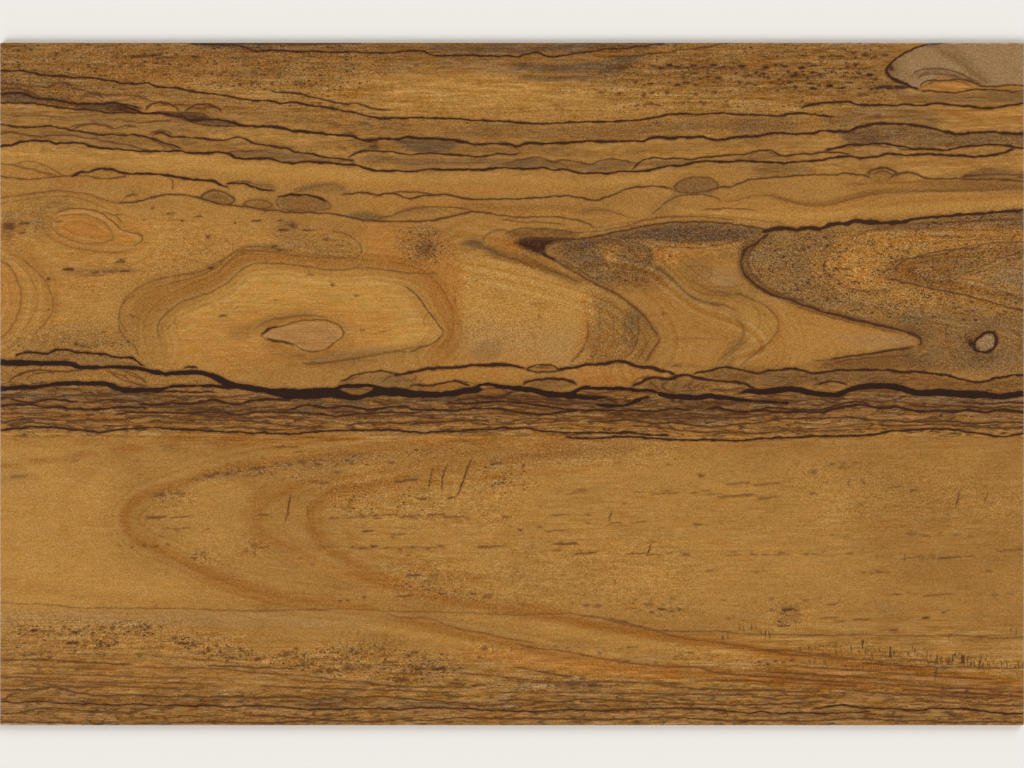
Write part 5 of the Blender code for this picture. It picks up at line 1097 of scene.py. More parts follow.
ROOF_BANDS = (
    Band(SMOKE, 0.8, 2.2, 1.6, (
        (122, 198.6), (135, 198.1), (150, 198.2), (160, 198.2), (172, 199.2), (196, 200.4))),
    Band(SMOKE, 0.75, 2.4, 1.6, (
        (146, 193.6), (155, 192.8), (162, 192.5), (170, 192.8), (178, 193.5), (184, 194.5), (191, 195.8))),
    Band(SMOKE, 0.55, 1.6, 1.2, ((150, 189.8), (160, 189.3), (168, 189.7), (177, 190.3))),
    Band(SMOKE, 0.7, 1.8, 1.0, ((251, 187.4), (258, 187.1), (264, 186.9), (268, 186.1))),
    Band(SMOKE, 0.5, 1.4, 1.2, ((190, 192.6), (204, 192.8), (220, 192.4))),
    Band(UMBER, 0.5, 1.3, 1.2, (
        (265, 188.8), (268, 190.5), (271, 191.3), (275, 191.8), (278, 191), (281, 189.8), (284, 189),
        (288, 187.8))),
    Band(UMBER, 0.4, 1.1, 1.2, (
        (274, 197.6), (279, 195.5), (282, 193.5), (285, 191), (288, 189.5), (292, 188))),
    Band(HONEY, 0.35, 1.0, 1.2, ((268, 194.5), (275, 194), (280, 191.8), (284, 189.6))),
    Band(EMBER, 0.35, 2.4, 2.0, ((84, 186.6), (96, 185.2), (110, 183.4))),
    Band(UMBER, 0.4, 2, 1.8, (
        (271, 200), (276, 197.6), (281, 195), (284.6, 191.6), (288.6, 188.6), (293, 187.6))),
    Band(UMBER, 0.3, 1.6, 1.4, ((277, 200), (282, 196.6), (286, 192.6), (290, 190))),
    Band(RUST, 0.4, 1.4, 1.2, ((272, 189.4), (277, 189.8), (282, 189))),
    Band(SMOKE, 0.4, 1.4, 1.2, (
        (150, 193.6), (160, 193.2), (170, 193), (178, 193.6), (184, 195), (188, 196.4))),
    Band(SMOKE, 0.35, 1.2, 1, ((150, 190.4), (162, 189.8), (174, 190.2), (184, 191.6))),
    Band(PEPPER, 0.9, 0.9, 0.8, ((190, 193), (205, 193.4), (220, 193), (240, 193.2))),
    Band(PEPPER, 1.0, 0.9, 0.8, (
        (196, 191.6), (212, 191.6), (228, 191), (236, 191), (250, 191.4), (262, 192))),
    Band(PEPPER, 1.0, 0.9, 0.8, ((214, 189.6), (226, 189.2), (240, 190), (256, 189.8))),
    Band(PEPPER, 1.0, 0.9, 0.8, ((214, 187.4), (230, 187.2), (246, 187.4), (262, 187))),
    Band(PEPPER, 0.8, 0.9, 0.8, ((160, 186.4), (176, 186), (190, 185.6), (206, 185.8), (222, 186))),
    Band(PEPPER, 0.8, 0.9, 0.8, ((176, 183), (192, 182.6), (208, 182.8))),
)

BED_STAINS = (
    Stain(STRATA, 0.35, 3, ((-8, 189), (40, 188), (70, 184), (110, 179), (110, 166), (60, 168), (-8, 169))),
    Stain(STRATA, 0.25, 3, ((100, 177), (180, 175), (306, 178), (306, 162), (200, 162), (100, 163))),
    Stain(PLUM, 0.35, 0.8, (
        (-4, 184.9), (3, 185.1), (7, 185), (10, 183.9), (14, 183.3), (19, 182.6), (23, 181.8), (19, 181.3),
        (13, 182), (8, 182.5), (-4, 182.5))),
    Stain(PLUM, 0.8, 0.8, (
        (21, 182), (28, 182), (33, 182.4), (36, 182), (38, 180.9), (41, 179.8), (40, 179.3), (35, 179.6),
        (31, 180), (26, 180.6), (22, 180.8))),
    Stain(PLUM, 0.85, 0.8, (
        (45, 179.3), (50, 179.4), (55, 179.3), (60, 178.6), (62, 177.6), (57, 177), (53, 178), (48, 179))),
    Stain(SMOKE, 0.8, 0.8, ((57, 176.8), (61, 177.4), (66, 177.2), (69, 176.3), (67, 175.6), (61, 175.8))),
    Stain(SMOKE, 0.6, 1.4, (
        (66, 167.4), (70, 168.1), (78, 168.7), (84, 168), (90, 167), (98, 165.8), (104, 164.4), (96, 165),
        (84, 165.2), (76, 166.4), (69, 166.6))),
    Stain(SMOKE, 0.85, 1.2, (
        (115.6, 171.4), (119, 169), (122, 168), (128, 167.8), (132, 168.4), (134.4, 170.4), (133, 171.4),
        (126, 171.8))),
    Stain(PLUM, 0.55, 0.8, ((108.4, 171.4), (109.2, 168.2), (110.6, 168.4), (110.4, 171.4))),
    Stain(SMOKE, 0.75, 1.2, (
        (147, 164.4), (152, 165.5), (156, 166.3), (158, 166.3), (160, 165.6), (164, 164.4), (158, 163.6),
        (150, 163.6))),
    Stain(SMOKE, 0.6, 1.2, (
        (160, 164.9), (168, 164.9), (175, 164.7), (180, 165.5), (186, 164.4), (184, 163), (176, 162.4),
        (168, 163.1), (162, 163.5))),
    Stain(SMOKE, 0.55, 1.4, (
        (186, 164), (192, 165.6), (200, 165.5), (210, 166), (218, 166.6), (226, 167.6), (230, 166.4),
        (222, 165.6), (210, 165.6), (200, 164.6), (192, 163.4))),
    Stain(SMOKE, 0.68, 1.8, (
        (245, 173.8), (251, 174.9), (256, 175.9), (264, 175.9), (271, 175.2), (277, 173.6), (283, 173.2),
        (306, 173.2), (306, 169.4), (290, 170.4), (280, 169.6), (270, 169.2), (260, 170.8), (249, 170.4))),
    Stain(PEPPER, 0.6, 2, (
        (245, 173.8), (256, 175.9), (271, 175.2), (283, 173.4), (306, 173.4), (306, 169.4), (280, 169.6),
        (260, 170.8), (249, 170.4))),
    Stain(PLUM, 0.3, 1.6, (
        (247, 173.6), (252, 174.6), (257, 174.4), (258, 171.6), (252, 170.6), (248, 171.4))),
    Stain(SMOKE, 0.5, 4.4, (
        (242, 174.8), (250, 176), (256, 176.8), (266, 176.7), (274, 175.6), (276, 178), (270, 180.6),
        (258, 181), (246, 180), (241, 177.4))),
    Stain(BUFF, 0.35, 1.2, (
        (249, 168.6), (254, 167.2), (260, 167.9), (264, 168.9), (258, 169.8), (252, 169.7))),
    Stain(SMOKE, 0.5, 2.6, (
        (220, 163.8), (226, 164.6), (236, 164.4), (239, 162.6), (230, 161.4), (221, 162))),
    Stain(SMOKE, 0.5, 2, ((284, 160.8), (290, 162.8), (297, 163), (300, 161.4), (292, 160.3))),
    Stain(STREAK, 0.5, 4, (
        (-8, 183), (100, 179), (200, 180), (308, 180), (308, 163), (200, 161), (100, 162), (-8, 168))),
    Stain(PEPPER, 0.45, 4, (
        (-8, 183), (60, 178), (150, 172), (250, 174), (250, 179), (150, 178), (60, 186), (-8, 188))),
    Stain(UMBER, 0.6, 1, (
        (254.6, 160.8), (256, 162.6), (259, 163), (262, 162.2), (263, 160.8), (258, 160.4))),
    Stain(UMBER, 0.5, 1.4, ((282, 160.8), (286, 163), (291, 163.4), (294, 161.8), (290, 160.6))),
    Stain(SMOKE, 0.3, 3, ((216, 178), (228, 178.4), (232, 174), (226, 172), (216, 173))),
)
BED_BANDS = (
    Band(UMBER, 0.35, 5, 3, (
        (-5, 187.6), (20, 185), (45, 184.8), (70, 180.8), (85, 178.2), (110, 175.6), (135, 174.4))),
    Band(UMBER, 0.3, 5, 2.5, (
        (120, 175), (140, 174.4), (160, 173.8), (180, 174), (200, 175.6), (222, 176), (246, 176.4))),
    Band(SMOKE, 0.25, 3, 2, ((130, 174.6), (150, 173.6), (175, 173.6), (200, 175.4), (240, 176.2))),
    Band(SMOKE, 0.3, 3.4, 2, ((-5, 178.4), (10, 178.6), (22, 178.2), (34, 177.6), (48, 175.4), (62, 174))),
    Band(SMOKE, 0.28, 3, 2, ((-5, 171.6), (10, 173), (24, 171.6), (36, 170.2), (48, 168.9))),
    Band(UMBER, 0.3, 3, 2, ((-5, 174.6), (20, 173.6), (40, 171.6), (56, 170.2), (72, 170.6), (90, 169.2))),
    Band(SMOKE, 0.6, 2.2, 1.4, ((103, 166), (112, 165.8), (120, 164.8), (130, 165), (142, 165), (152, 165))),
    Band(UMBER, 0.45, 2.6, 2, (
        (88, 171), (100, 170.2), (116, 169.8), (136, 168.8), (156, 168.6), (176, 167.8))),
    Band(UMBER, 0.35, 2.4, 2, ((180, 168.6), (200, 169.4), (220, 170.6), (242, 171))),
    Band(HONEY, 0.45, 1.8, 1.4, ((60, 172.6), (80, 172), (96, 170.8), (106, 169.6))),
    Band(HONEY, 0.35, 1.6, 1.4, ((160, 168.4), (176, 168.8), (200, 169.8), (225, 170.8), (246, 171.4))),
    Band(EMBER, 0.25, 2.6, 2, ((258, 165.6), (275, 164.6), (290, 164.6), (305, 166))),
    Band(HONEY, 0.4, 2, 1.6, ((255, 162.8), (272, 162.4), (288, 163.6), (305, 164))),
    Band(HONEY, 0.6, 4.6, 3, (
        (-5, 166.6), (20, 166.8), (45, 165.6), (62, 164.6), (80, 162.6), (100, 160.8), (120, 159.6))),
    Band(EMBER, 0.45, 2, 2, ((-5, 163), (10, 161.9), (24, 159.6), (40, 159.4), (55, 158.2), (68, 156))),
    Band(RUST, 0.3, 1.8, 1.6, (
        (-5, 155), (6, 155.8), (12, 156.2), (17, 156.6), (22, 156), (27, 154.8), (32, 153.6), (40, 153.2))),
    Band(HONEY, 0.35, 4, 3, ((38, 157), (55, 157.4), (70, 155), (80, 153.4))),
    Band(EMBER, 0.45, 2, 1.6, (
        (80, 160.4), (100, 159), (120, 157.6), (140, 157), (155, 157.4), (172, 156.6))),
    Band(HONEY, 0.4, 2.4, 2, (
        (108, 160.8), (130, 160.4), (150, 160.6), (168, 158.8), (186, 160), (196, 161.6))),
    Band(UMBER, 0.35, 2, 2, ((132, 152.6), (150, 151.4), (162, 151.8), (176, 150.4))),
    Band(EMBER, 0.45, 2.6, 2, (
        (100, 153), (118, 152.6), (134, 152.6), (150, 150.4), (170, 150.4), (190, 148.8))),
    Band(HONEY, 0.5, 2.4, 2, (
        (196, 150.4), (215, 149.6), (235, 149.2), (255, 150.6), (275, 151.8), (305, 154))),
    Band(EMBER, 0.4, 2, 1.6, (
        (206, 152.6), (222, 152.2), (240, 151.4), (256, 153.4), (280, 154.6), (305, 156))),
    Band(UMBER, 0.5, 1.4, 1.2, (
        (223, 156.2), (230, 154), (235, 152.9), (241, 152.8), (246, 153.8), (250, 154.9), (254, 155.9),
        (260, 156.6), (270, 156.8), (280, 157), (290, 157.6), (305, 157.5))),
    Band(RUST, 0.4, 1.6, 1.4, ((246, 158.2), (258, 159.2), (270, 158.8), (285, 158.2), (305, 158.3))),
    Band(UMBER, 0.5, 1, 1, ((72.5, 157.4), (74.5, 158.2), (77, 158.5), (80, 157.6), (82, 156))),
    Band(UMBER, 0.5, 1.2, 1.2, (
        (85, 155.8), (89, 157), (94, 158.4), (98, 158.5), (101, 157.2), (103, 155.6))),
    Band(SMOKE, 0.45, 1.4, 1, ((114.6, 149), (120, 150.8), (125, 151), (131, 149.6))),
    Band(RUST, 0.35, 1.2, 1.2, ((14, 168.6), (24, 167.6), (33, 166.2), (44, 166))),
)

UPPER_STAINS = (
    Stain(PLUM, 0.2, 0.8, (
        (59, 154.6), (61, 156.3), (64, 156.4), (67, 155.4), (68.6, 153.8), (65, 153), (61.5, 153.8))),
    Stain(SMOKE, 0.4, 1, (
        (59, 154.6), (61, 156.3), (64, 156.4), (67, 155.4), (68.6, 153.8), (65, 153), (61.5, 153.8))),
    Stain(UMBER, 0.35, 1, ((71.6, 152.5), (75, 153.9), (78, 153.5), (80, 152.4), (77, 151.5), (73.4, 151.8))),
    Stain(SMOKE, 0.35, 1.2, (
        (81, 154.4), (85, 155.2), (91, 155.1), (95.6, 153.6), (97, 152), (94, 150.9), (87, 150.8),
        (82.4, 151.6))),
    Stain(EMBER, 0.8, 1.4, ((84, 153.4), (90, 154), (94.5, 152.8), (92, 151.7), (86.6, 151.8))),
    Stain(SMOKE, 0.5, 1.2, (
        (101, 149.4), (105, 150.2), (111, 149.4), (113.6, 148), (108, 147.7), (103, 148.4))),
    Stain(UMBER, 0.5, 1.2, (
        (197.8, 157.4), (199.4, 159.2), (202.4, 160.2), (206, 160.4), (209, 159.5), (210.2, 158),
        (206, 157.2), (201, 157))),
    Stain(SMOKE, 0.55, 1.4, (
        (197, 156.6), (203, 157.4), (210, 157), (209, 155.4), (203, 155.4), (198, 155.6))),
    Stain(UMBER, 0.4, 2, (
        (76, 152), (84, 149), (96, 147.6), (106, 146), (106, 144.4), (94, 145.6), (82, 148))),
    Stain(SMOKE, 0.35, 2, ((270, 159.4), (284, 160), (306, 159), (306, 156.6), (284, 157.2), (270, 157.6))),
)

MIDDLE_STAINS = (
    Stain(STREAK, 0.5, 5, (
        (50, 112), (56, 122), (74, 133), (100, 131), (118, 127), (128, 116), (112, 108), (60, 106))),
    Stain(STREAK, 0.4, 6, (
        (-8, 151), (30, 154), (100, 147), (150, 146), (150, 140), (100, 138), (60, 138), (34, 128), (30, 118),
        (-8, 116))),
    Stain(STREAK, 0.4, 5, (
        (240, 145), (262, 146.6), (306, 149), (306, 128), (284, 128), (262, 132), (250, 138))),
    Stain(HONEY, 0.45, 8, (
        (-8, 152), (40, 153), (75, 149), (110, 145), (122, 138), (104, 136), (70, 140), (50, 135), (38, 128),
        (34, 118), (20, 114), (-8, 112))),
    Stain(EMBER, 0.25, 8, (
        (-8, 150), (30, 152), (75, 148), (120, 146), (150, 147), (150, 143), (120, 140), (60, 138), (36, 130),
        (20, 120), (-8, 112))),
    Stain(EMBER, 0.65, 4, (
        (17, 149), (22, 150.5), (29, 149), (34, 145), (40, 143.2), (38, 141), (30, 141), (22, 141.6),
        (16, 144))),
    Stain(EMBER, 0.4, 3, ((-6, 136), (2, 134.6), (5, 130), (6, 125), (4.6, 119.5), (2, 115), (-6, 113))),
    Stain(SMOKE, 0.3, 4, (
        (3, 110.4), (10, 114.4), (20, 116.4), (32, 116), (40, 112.4), (36, 109.4), (26, 110), (14, 110.6))),
    Stain(PEPPER, 0.6, 5, ((0, 110), (10, 117), (30, 119), (42, 113), (38, 108), (14, 109))),
    Stain(PEPPER, 0.4, 6, ((42, 148), (58, 148), (64, 140), (50, 134), (42, 140))),
    Stain(SMOKE, 0.35, 1.6, ((1, 150), (3.4, 150), (4.4, 146), (3, 142), (1, 144))),
    Stain(SMOKE, 0.32, 3, (
        (2, 150), (6, 154), (14, 155.4), (20, 153.6), (15, 150.4), (12, 147), (7, 144), (3, 145))),
    Stain(PEPPER, 0.5, 4, ((0, 152), (14, 156), (22, 153), (14, 149), (12, 142), (2, 138))),
    Stain(PEPPER, 0.35, 6, ((14, 138), (44, 138), (78, 148), (78, 140), (60, 133), (40, 128), (18, 124))),
    Stain(UMBER, 0.3, 2, ((103, 149.4), (107, 150), (111, 149), (108, 148.2), (104, 148.6))),
    # The fish: bright within, brown round its eye.
    Stain(HONEY, 0.85, 5, (
        (50, 115), (52, 120), (60, 124), (70, 130), (74, 134), (86, 134), (97, 132.4), (110, 132.4),
        (118, 129), (124, 121), (129, 115), (122, 111), (112, 109.6), (98, 108), (84, 107), (66, 105.6),
        (52, 107.6))),
    Stain(EMBER, 0.4, 5, (
        (54, 117), (64, 121), (76, 123), (90, 124), (104, 123), (116, 119), (113, 113), (104, 109), (84, 105),
        (62, 105.4), (50, 109))),
    Stain(BUFF, 0.5, 1.2, (
        (77.4, 114.4), (80, 116.4), (87, 117.6), (95, 117.6), (99, 115.8), (98.6, 113), (95, 110.6),
        (91, 109.8), (86.5, 111.6), (80, 113.4))),
    Stain(UMBER, 0.4, 3, (
        (78, 111), (86, 109.4), (96, 108.6), (106, 109), (104, 106.6), (90, 105.8), (80, 107.6))),
    Stain(SMOKE, 0.35, 2, (
        (98, 109.4), (108, 110.8), (118, 110.6), (124, 111), (118, 108.8), (106, 107.4), (92, 106.6))),
    Stain(UMBER, 0.35, 2.4, (
        (66, 115.6), (74, 118.4), (84, 120.6), (92, 121), (84, 118.4), (77, 115.6), (70, 112.6))),
    Stain(RUST, 0.25, 3, ((60, 108), (70, 110), (80, 109), (78, 105), (66, 105))),
    Stain(SMOKE, 0.34, 3, (
        (80, 147), (88, 145.8), (97, 144.6), (103, 143), (106, 140), (104, 137.4), (96, 137.2), (86, 139.6),
        (80, 142))),
    Stain(PEPPER, 0.55, 4, ((80, 146), (104, 143), (108, 136), (92, 136), (80, 139))),
    Stain(EMBER, 0.6, 5, (
        (108, 147), (122, 145), (131, 141), (135, 133), (133, 122), (127, 120), (122, 130), (112, 136),
        (104, 141))),
    Stain(PLUM, 0.5, 2, ((121.8, 140.4), (125, 141.8), (127.4, 139.6), (125, 137.4), (122, 138.4))),
    Stain(PEPPER, 0.9, 3, ((116, 144), (124, 146.6), (132, 143), (131, 136), (120, 134.6))),
    Stain(SMOKE, 0.7, 1.6, ((135.6, 141.2), (138, 142.6), (141, 142), (141, 139.9), (138, 139.6))),
    Stain(RUST, 0.45, 2, ((143, 142), (146, 143.6), (150, 143.6), (152, 140.4), (150, 138.4), (145, 139.4))),
    Stain(EMBER, 0.5, 1.6, ((148, 142.4), (150.6, 142.8), (152.6, 140.6), (151, 138.8), (148.6, 139.6))),
    Stain(SMOKE, 0.3, 3, (
        (117, 143), (122, 145.6), (128, 145), (131, 141), (128, 136.4), (121, 135.8), (117, 139))),
    # Behind the fish.
    Stain(HONEY, 0.6, 6, (
        (135, 137), (148, 137), (158, 134.4), (166, 131), (172, 127), (172, 116), (168, 108), (158, 105),
        (146, 105), (137, 109), (134, 122))),
    Stain(BUFF, 0.35, 5, (
        (134, 116), (150, 117), (168, 116), (170, 110), (164, 106), (148, 106), (136, 107))),
    Stain(PEPPER, 0.35, 5, ((134, 136), (154, 134), (162, 126), (160, 114), (146, 110), (136, 116))),
    Stain(EMBER, 0.35, 3, ((130, 108), (144, 110), (158, 108), (158, 104.6), (140, 105.6), (128, 105.4))),
    # The first flame.
    Stain(PLUM, 0.95, 1.5, (
        (150.6, 141.6), (153.4, 143), (158, 143), (164, 142.6), (168, 142.2), (163.6, 141.6), (160.4, 140.2),
        (159.6, 138.4), (157.8, 137.8), (155, 138.8), (152.6, 140))),
    Stain(UMBER, 0.75, 1.6, (
        (148, 144), (153, 145.4), (162, 145.2), (170, 144.2), (168, 143), (156, 143.4), (150, 142.6))),
    Stain(RUST, 0.6, 2, (
        (150, 141), (153, 139.6), (158, 137.6), (163, 135), (160, 133.4), (154, 135.6), (149, 138))),
    Stain(SMOKE, 0.8, 2.2, (
        (164, 141.2), (172, 142.4), (180, 144.2), (190, 146.2), (202, 147.2), (214, 146.4), (222, 145.2),
        (219, 142.6), (214, 142), (206, 141.2), (198, 141.2), (190, 141.8), (184, 142), (178, 141.4),
        (172, 139.6))),
    Stain(SMOKE, 0.75, 2, (
        (161, 139.4), (164, 141.4), (168, 141.6), (174, 140.4), (177, 137.6), (176, 134.6), (171, 134),
        (166, 136))),
    Stain(PLUM, 0.2, 3, (
        (162, 141.4), (174, 142.6), (190, 146), (210, 147), (222, 145), (214, 142.4), (196, 142.4),
        (180, 141), (168, 138.4))),
    Stain(PEPPER, 0.9, 3, (
        (162, 140.4), (172, 142.6), (190, 146.4), (214, 147), (224, 145), (220, 139), (200, 138), (190, 129),
        (174, 130), (163, 136))),
    Stain(UMBER, 0.5, 3, (
        (170, 133.4), (176, 136), (184, 133.6), (191, 134), (196, 131), (190, 127.6), (180, 128.6),
        (174, 130.4))),
    Stain(SMOKE, 0.35, 3, ((170, 133), (178, 134), (186, 132), (188, 129.6), (180, 129), (174, 130.4))),
    Stain(EMBER, 0.35, 1.6, (
        (176.4, 139.4), (178.6, 141), (180.4, 139.4), (180, 136.4), (178, 135.6), (176.4, 137.2))),
    Stain(SMOKE, 0.5, 1.6, (
        (181, 140.6), (186, 141.6), (191, 140.2), (192, 137), (190, 134.4), (184, 134), (181, 136.6))),
    Stain(RUST, 0.6, 1.6, (
        (185, 139.4), (188, 140), (190.4, 138), (189.4, 135.8), (186, 135.8), (184.6, 137.6))),
    Stain(EMBER, 0.7, 2, (
        (190, 139.2), (198, 139.8), (208, 140), (214, 141), (212, 138.6), (204, 137.4), (198, 135.4),
        (193.4, 135.6))),
    Stain(UMBER, 0.35, 2, (
        (199, 137.4), (206, 138.4), (214, 139.4), (218, 139.4), (216, 136.6), (208, 136), (201, 135))),
    Stain(UMBER, 0.25, 2, ((200, 135), (206, 136), (210, 134.6), (208, 131), (202, 130.4), (199.6, 132.6))),
    Stain(SMOKE, 0.15, 1.8, ((203, 133.6), (206, 134.4), (208.6, 133.2), (208, 131.2), (204.4, 131))),
    Stain(BUFF, 0.4, 2, (
        (207.6, 131.6), (211, 133.8), (215.4, 133.4), (216.8, 130.6), (214, 128.4), (209, 128.8))),
    Stain(EMBER, 0.35, 2, ((208, 135.4), (213, 136.6), (216.4, 135), (215.6, 133), (210.6, 133.4))),
    Stain(UMBER, 0.4, 2, (
        (203, 130), (208, 128.6), (215, 127.8), (221, 126.4), (218, 124.8), (210, 125.6), (204, 127.6))),
    Stain(HONEY, 0.3, 2.4, (
        (197, 132.4), (201, 128.8), (206, 126), (213, 124.8), (218, 124.2), (222, 121), (223, 116),
        (219, 110), (215, 106.6), (214, 110), (219, 116), (218, 120), (212, 122.4), (204, 124), (199, 128))),
    Stain(EMBER, 0.25, 4, (
        (192, 129), (198, 124.6), (206, 121.6), (214, 119), (217, 114), (211, 107), (198, 106.4), (196, 113),
        (192, 119), (188, 124))),
    Stain(EMBER, 0.25, 4, (
        (224, 122), (234, 121.6), (246, 118.4), (262, 114.6), (250, 110.4), (234, 107.4), (222, 106.4),
        (227, 112), (228, 118))),
    Stain(HONEY, 0.3, 5, (
        (222, 121), (232, 120.6), (250, 116.6), (262, 114.6), (262, 111), (250, 110), (236, 108.6),
        (226, 109))),
    Stain(BUFF, 0.5, 2.4, (
        (244, 114.4), (256, 114.6), (266, 113.6), (267.6, 112), (262, 111.2), (250, 111.4))),
    Stain(SMOKE, 0.75, 1, (
        (184.3, 121.8), (186.5, 121.8), (187.2, 117), (186.6, 112.6), (185, 110.4), (183.7, 112))),
    Stain(UMBER, 0.3, 2.6, (
        (174, 127), (180, 125), (184, 120), (184.4, 110), (182, 105.6), (174, 106), (172, 112), (174, 118))),
    Stain(PEPPER, 0.6, 3, (
        (170, 129), (180, 126), (186, 120), (187, 108), (182, 104.6), (172, 105), (171, 114))),
    Stain(UMBER, 0.45, 2, ((187.6, 120.6), (190.8, 117), (192.4, 114), (189.4, 106.6), (186.6, 106.6))),
    # The second flame and the eye.
    Stain(SMOKE, 0.42, 3, (
        (222, 143.8), (228, 145.2), (238, 144.8), (247, 145), (246, 141), (240, 138.6), (238, 134),
        (241, 129.6), (250, 126), (264, 124), (271, 120), (266, 117), (250, 119.8), (238, 122.8),
        (228, 125.8), (220.4, 130.6), (218.8, 136), (219.6, 140.4))),
    Stain(SMOKE, 0.6, 1.8, (
        (250, 146.4), (266, 147.2), (280, 149), (306, 151), (306, 146.4), (284, 146.4), (268, 145.6),
        (256, 145.2))),
    Stain(PEPPER, 1.0, 4, (
        (220, 144), (236, 145.6), (262, 146.6), (306, 150), (306, 118), (284, 122), (262, 118), (238, 122),
        (220, 130), (217, 137))),
    Stain(EMBER, 0.3, 3, (
        (243, 141), (252, 142.8), (262, 142), (260, 138), (257, 134.6), (258, 130.4), (252, 127.8),
        (245, 129.6), (241, 134), (240.8, 138))),
    Stain(HONEY, 0.4, 2.6, ((248, 138), (254, 138), (257, 135), (255, 130.6), (249, 130), (246, 134))),
    Stain(UMBER, 0.5, 2.4, (
        (260, 135), (266, 136.6), (276, 138.2), (284, 140), (306, 141.4), (306, 138.8), (292, 136.4),
        (284, 133), (281, 131.4), (290, 128.4), (306, 123.4), (306, 121.6), (286, 125.6), (272, 128.4),
        (260, 130.8))),
    Stain(RUST, 0.3, 2.4, (
        (262, 135), (270, 137), (280, 138.4), (283, 134), (281, 129), (272, 128.8), (262, 131))),
    Stain(EMBER, 0.4, 2, (
        (258, 142.8), (276, 144.2), (306, 145), (306, 142.4), (284, 141), (268, 139.6), (258, 140.6))),
    Stain(UMBER, 0.35, 2.4, (
        (240, 145), (262, 146.6), (306, 150.4), (306, 146.6), (276, 146), (256, 144.6), (242, 142.6))),
    Stain(SMOKE, 0.35, 1.8, (
        (306, 138.4), (296, 137), (291, 135.2), (287, 133.6), (284.4, 132), (286.6, 130.8), (289, 129.5),
        (293, 127), (297, 125.3), (306, 123.6))),
    Stain(BUFF, 0.5, 2.4, ((291, 131.4), (296, 134), (306, 134.8), (306, 127.4), (297, 128.6))),
    Stain(SMOKE, 0.42, 3, (
        (264, 118.4), (272, 121.8), (284, 121.8), (306, 117.4), (306, 103.6), (290, 103), (278, 104.2),
        (268, 107), (271, 112))),
    Stain(SMOKE, 0.5, 2, ((265, 108), (269, 108.8), (273, 106.6), (271, 104.4), (266, 104.4))),
    Stain(SMOKE, 0.4, 2, ((279, 109), (284, 108.4), (290, 107.6), (292, 105.4), (288, 103.4), (282, 105))),
    Stain(UMBER, 0.15, 3, (
        (264, 119.4), (284, 123), (306, 119), (306, 103), (286, 102.6), (266, 106.6), (272, 112.6))),
    Stain(PEPPER, 0.6, 3, (
        (264, 119.4), (284, 123), (306, 119), (306, 103), (286, 102.6), (266, 106.6), (272, 112.6))),
    Stain(BUFF, 0.4, 2, ((291.6, 108.2), (296, 109), (299, 107), (297, 104.4), (292, 104.6), (290.4, 106.4))),
    Stain(BUFF, 1.0, 1.0, (
        (286.2, 109.6), (286.2, 111.4), (287.4, 112.9), (288.8, 114.3), (290.2, 114.6), (291.1, 113.2),
        (291, 111.2), (290, 110), (288, 109.6))),
    Stain(UMBER, 0.45, 1, (
        (59.4, 154.4), (61.6, 156.2), (64.6, 156.2), (67.6, 154.4), (66.6, 153), (62, 153.6))),
    Stain(UMBER, 0.45, 1, ((71.8, 152.6), (74.6, 153.6), (77.6, 153.4), (79.4, 152.2), (76, 151.6))),
    Stain(SMOKE, 0.4, 1.2, ((86, 157), (90, 158.8), (96, 159), (101, 157.8), (102, 156), (92, 156))),
    Stain(SMOKE, 0.35, 1.2, ((72, 158), (76, 159), (80, 158.2), (81.4, 156.8), (77, 157))),
    Stain(UMBER, 0.35, 0.9, ((81.6, 153.4), (83, 155), (93, 155), (96.6, 152.6), (92, 151), (84, 151))),
    Stain(EMBER, 0.6, 0.9, ((83.6, 153), (86, 154.4), (92, 154.2), (94.6, 152.6), (90, 151.8), (85, 151.8))),
    Stain(SMOKE, 0.4, 1.2, ((102, 149.6), (107, 150.4), (111, 149.2), (109, 148.4), (104, 148.8))),
    Stain(SMOKE, 0.3, 1, ((190, 150), (193, 152.2), (197, 154.6), (199, 154), (196, 151.6), (192.6, 149.8))),
    Stain(SMOKE, 0.35, 1, ((197.6, 158), (200, 160), (206, 160.2), (210, 158.4), (206, 157), (200, 156.8))),
    Stain(SMOKE, 0.3, 1.2, ((168, 150), (174, 152), (180, 151), (184, 149), (178, 149.6))),
    Stain(SMOKE, 0.26, 1.4, ((14, 153), (20, 153.6), (26, 152.8), (22, 151.8), (16, 151.4))),
    Stain(SMOKE, 0.22, 2, ((10, 149), (14, 151), (16, 146), (13, 142), (10, 144))),
    Stain(SMOKE, 0.3, 1.2, ((81, 147.6), (86, 147.8), (88, 145.4), (82, 145))),
    Stain(SMOKE, 0.3, 1.4, ((72, 140.6), (78, 141.4), (86, 139.8), (84, 138.6), (76, 139.4))),
    Stain(SMOKE, 0.28, 1.4, ((138, 109), (142, 113), (148, 112), (146, 108), (140, 107))),
    Stain(SMOKE, 0.4, 1, (
        (211.4, 103.6), (213, 108.6), (216, 112), (217.4, 111.4), (214.6, 107.4), (213, 103.6))),
    Stain(UMBER, 0.3, 2, ((238, 106.6), (254, 109), (267, 110.6), (268.6, 106.8), (254, 105), (240, 104.8))),
)
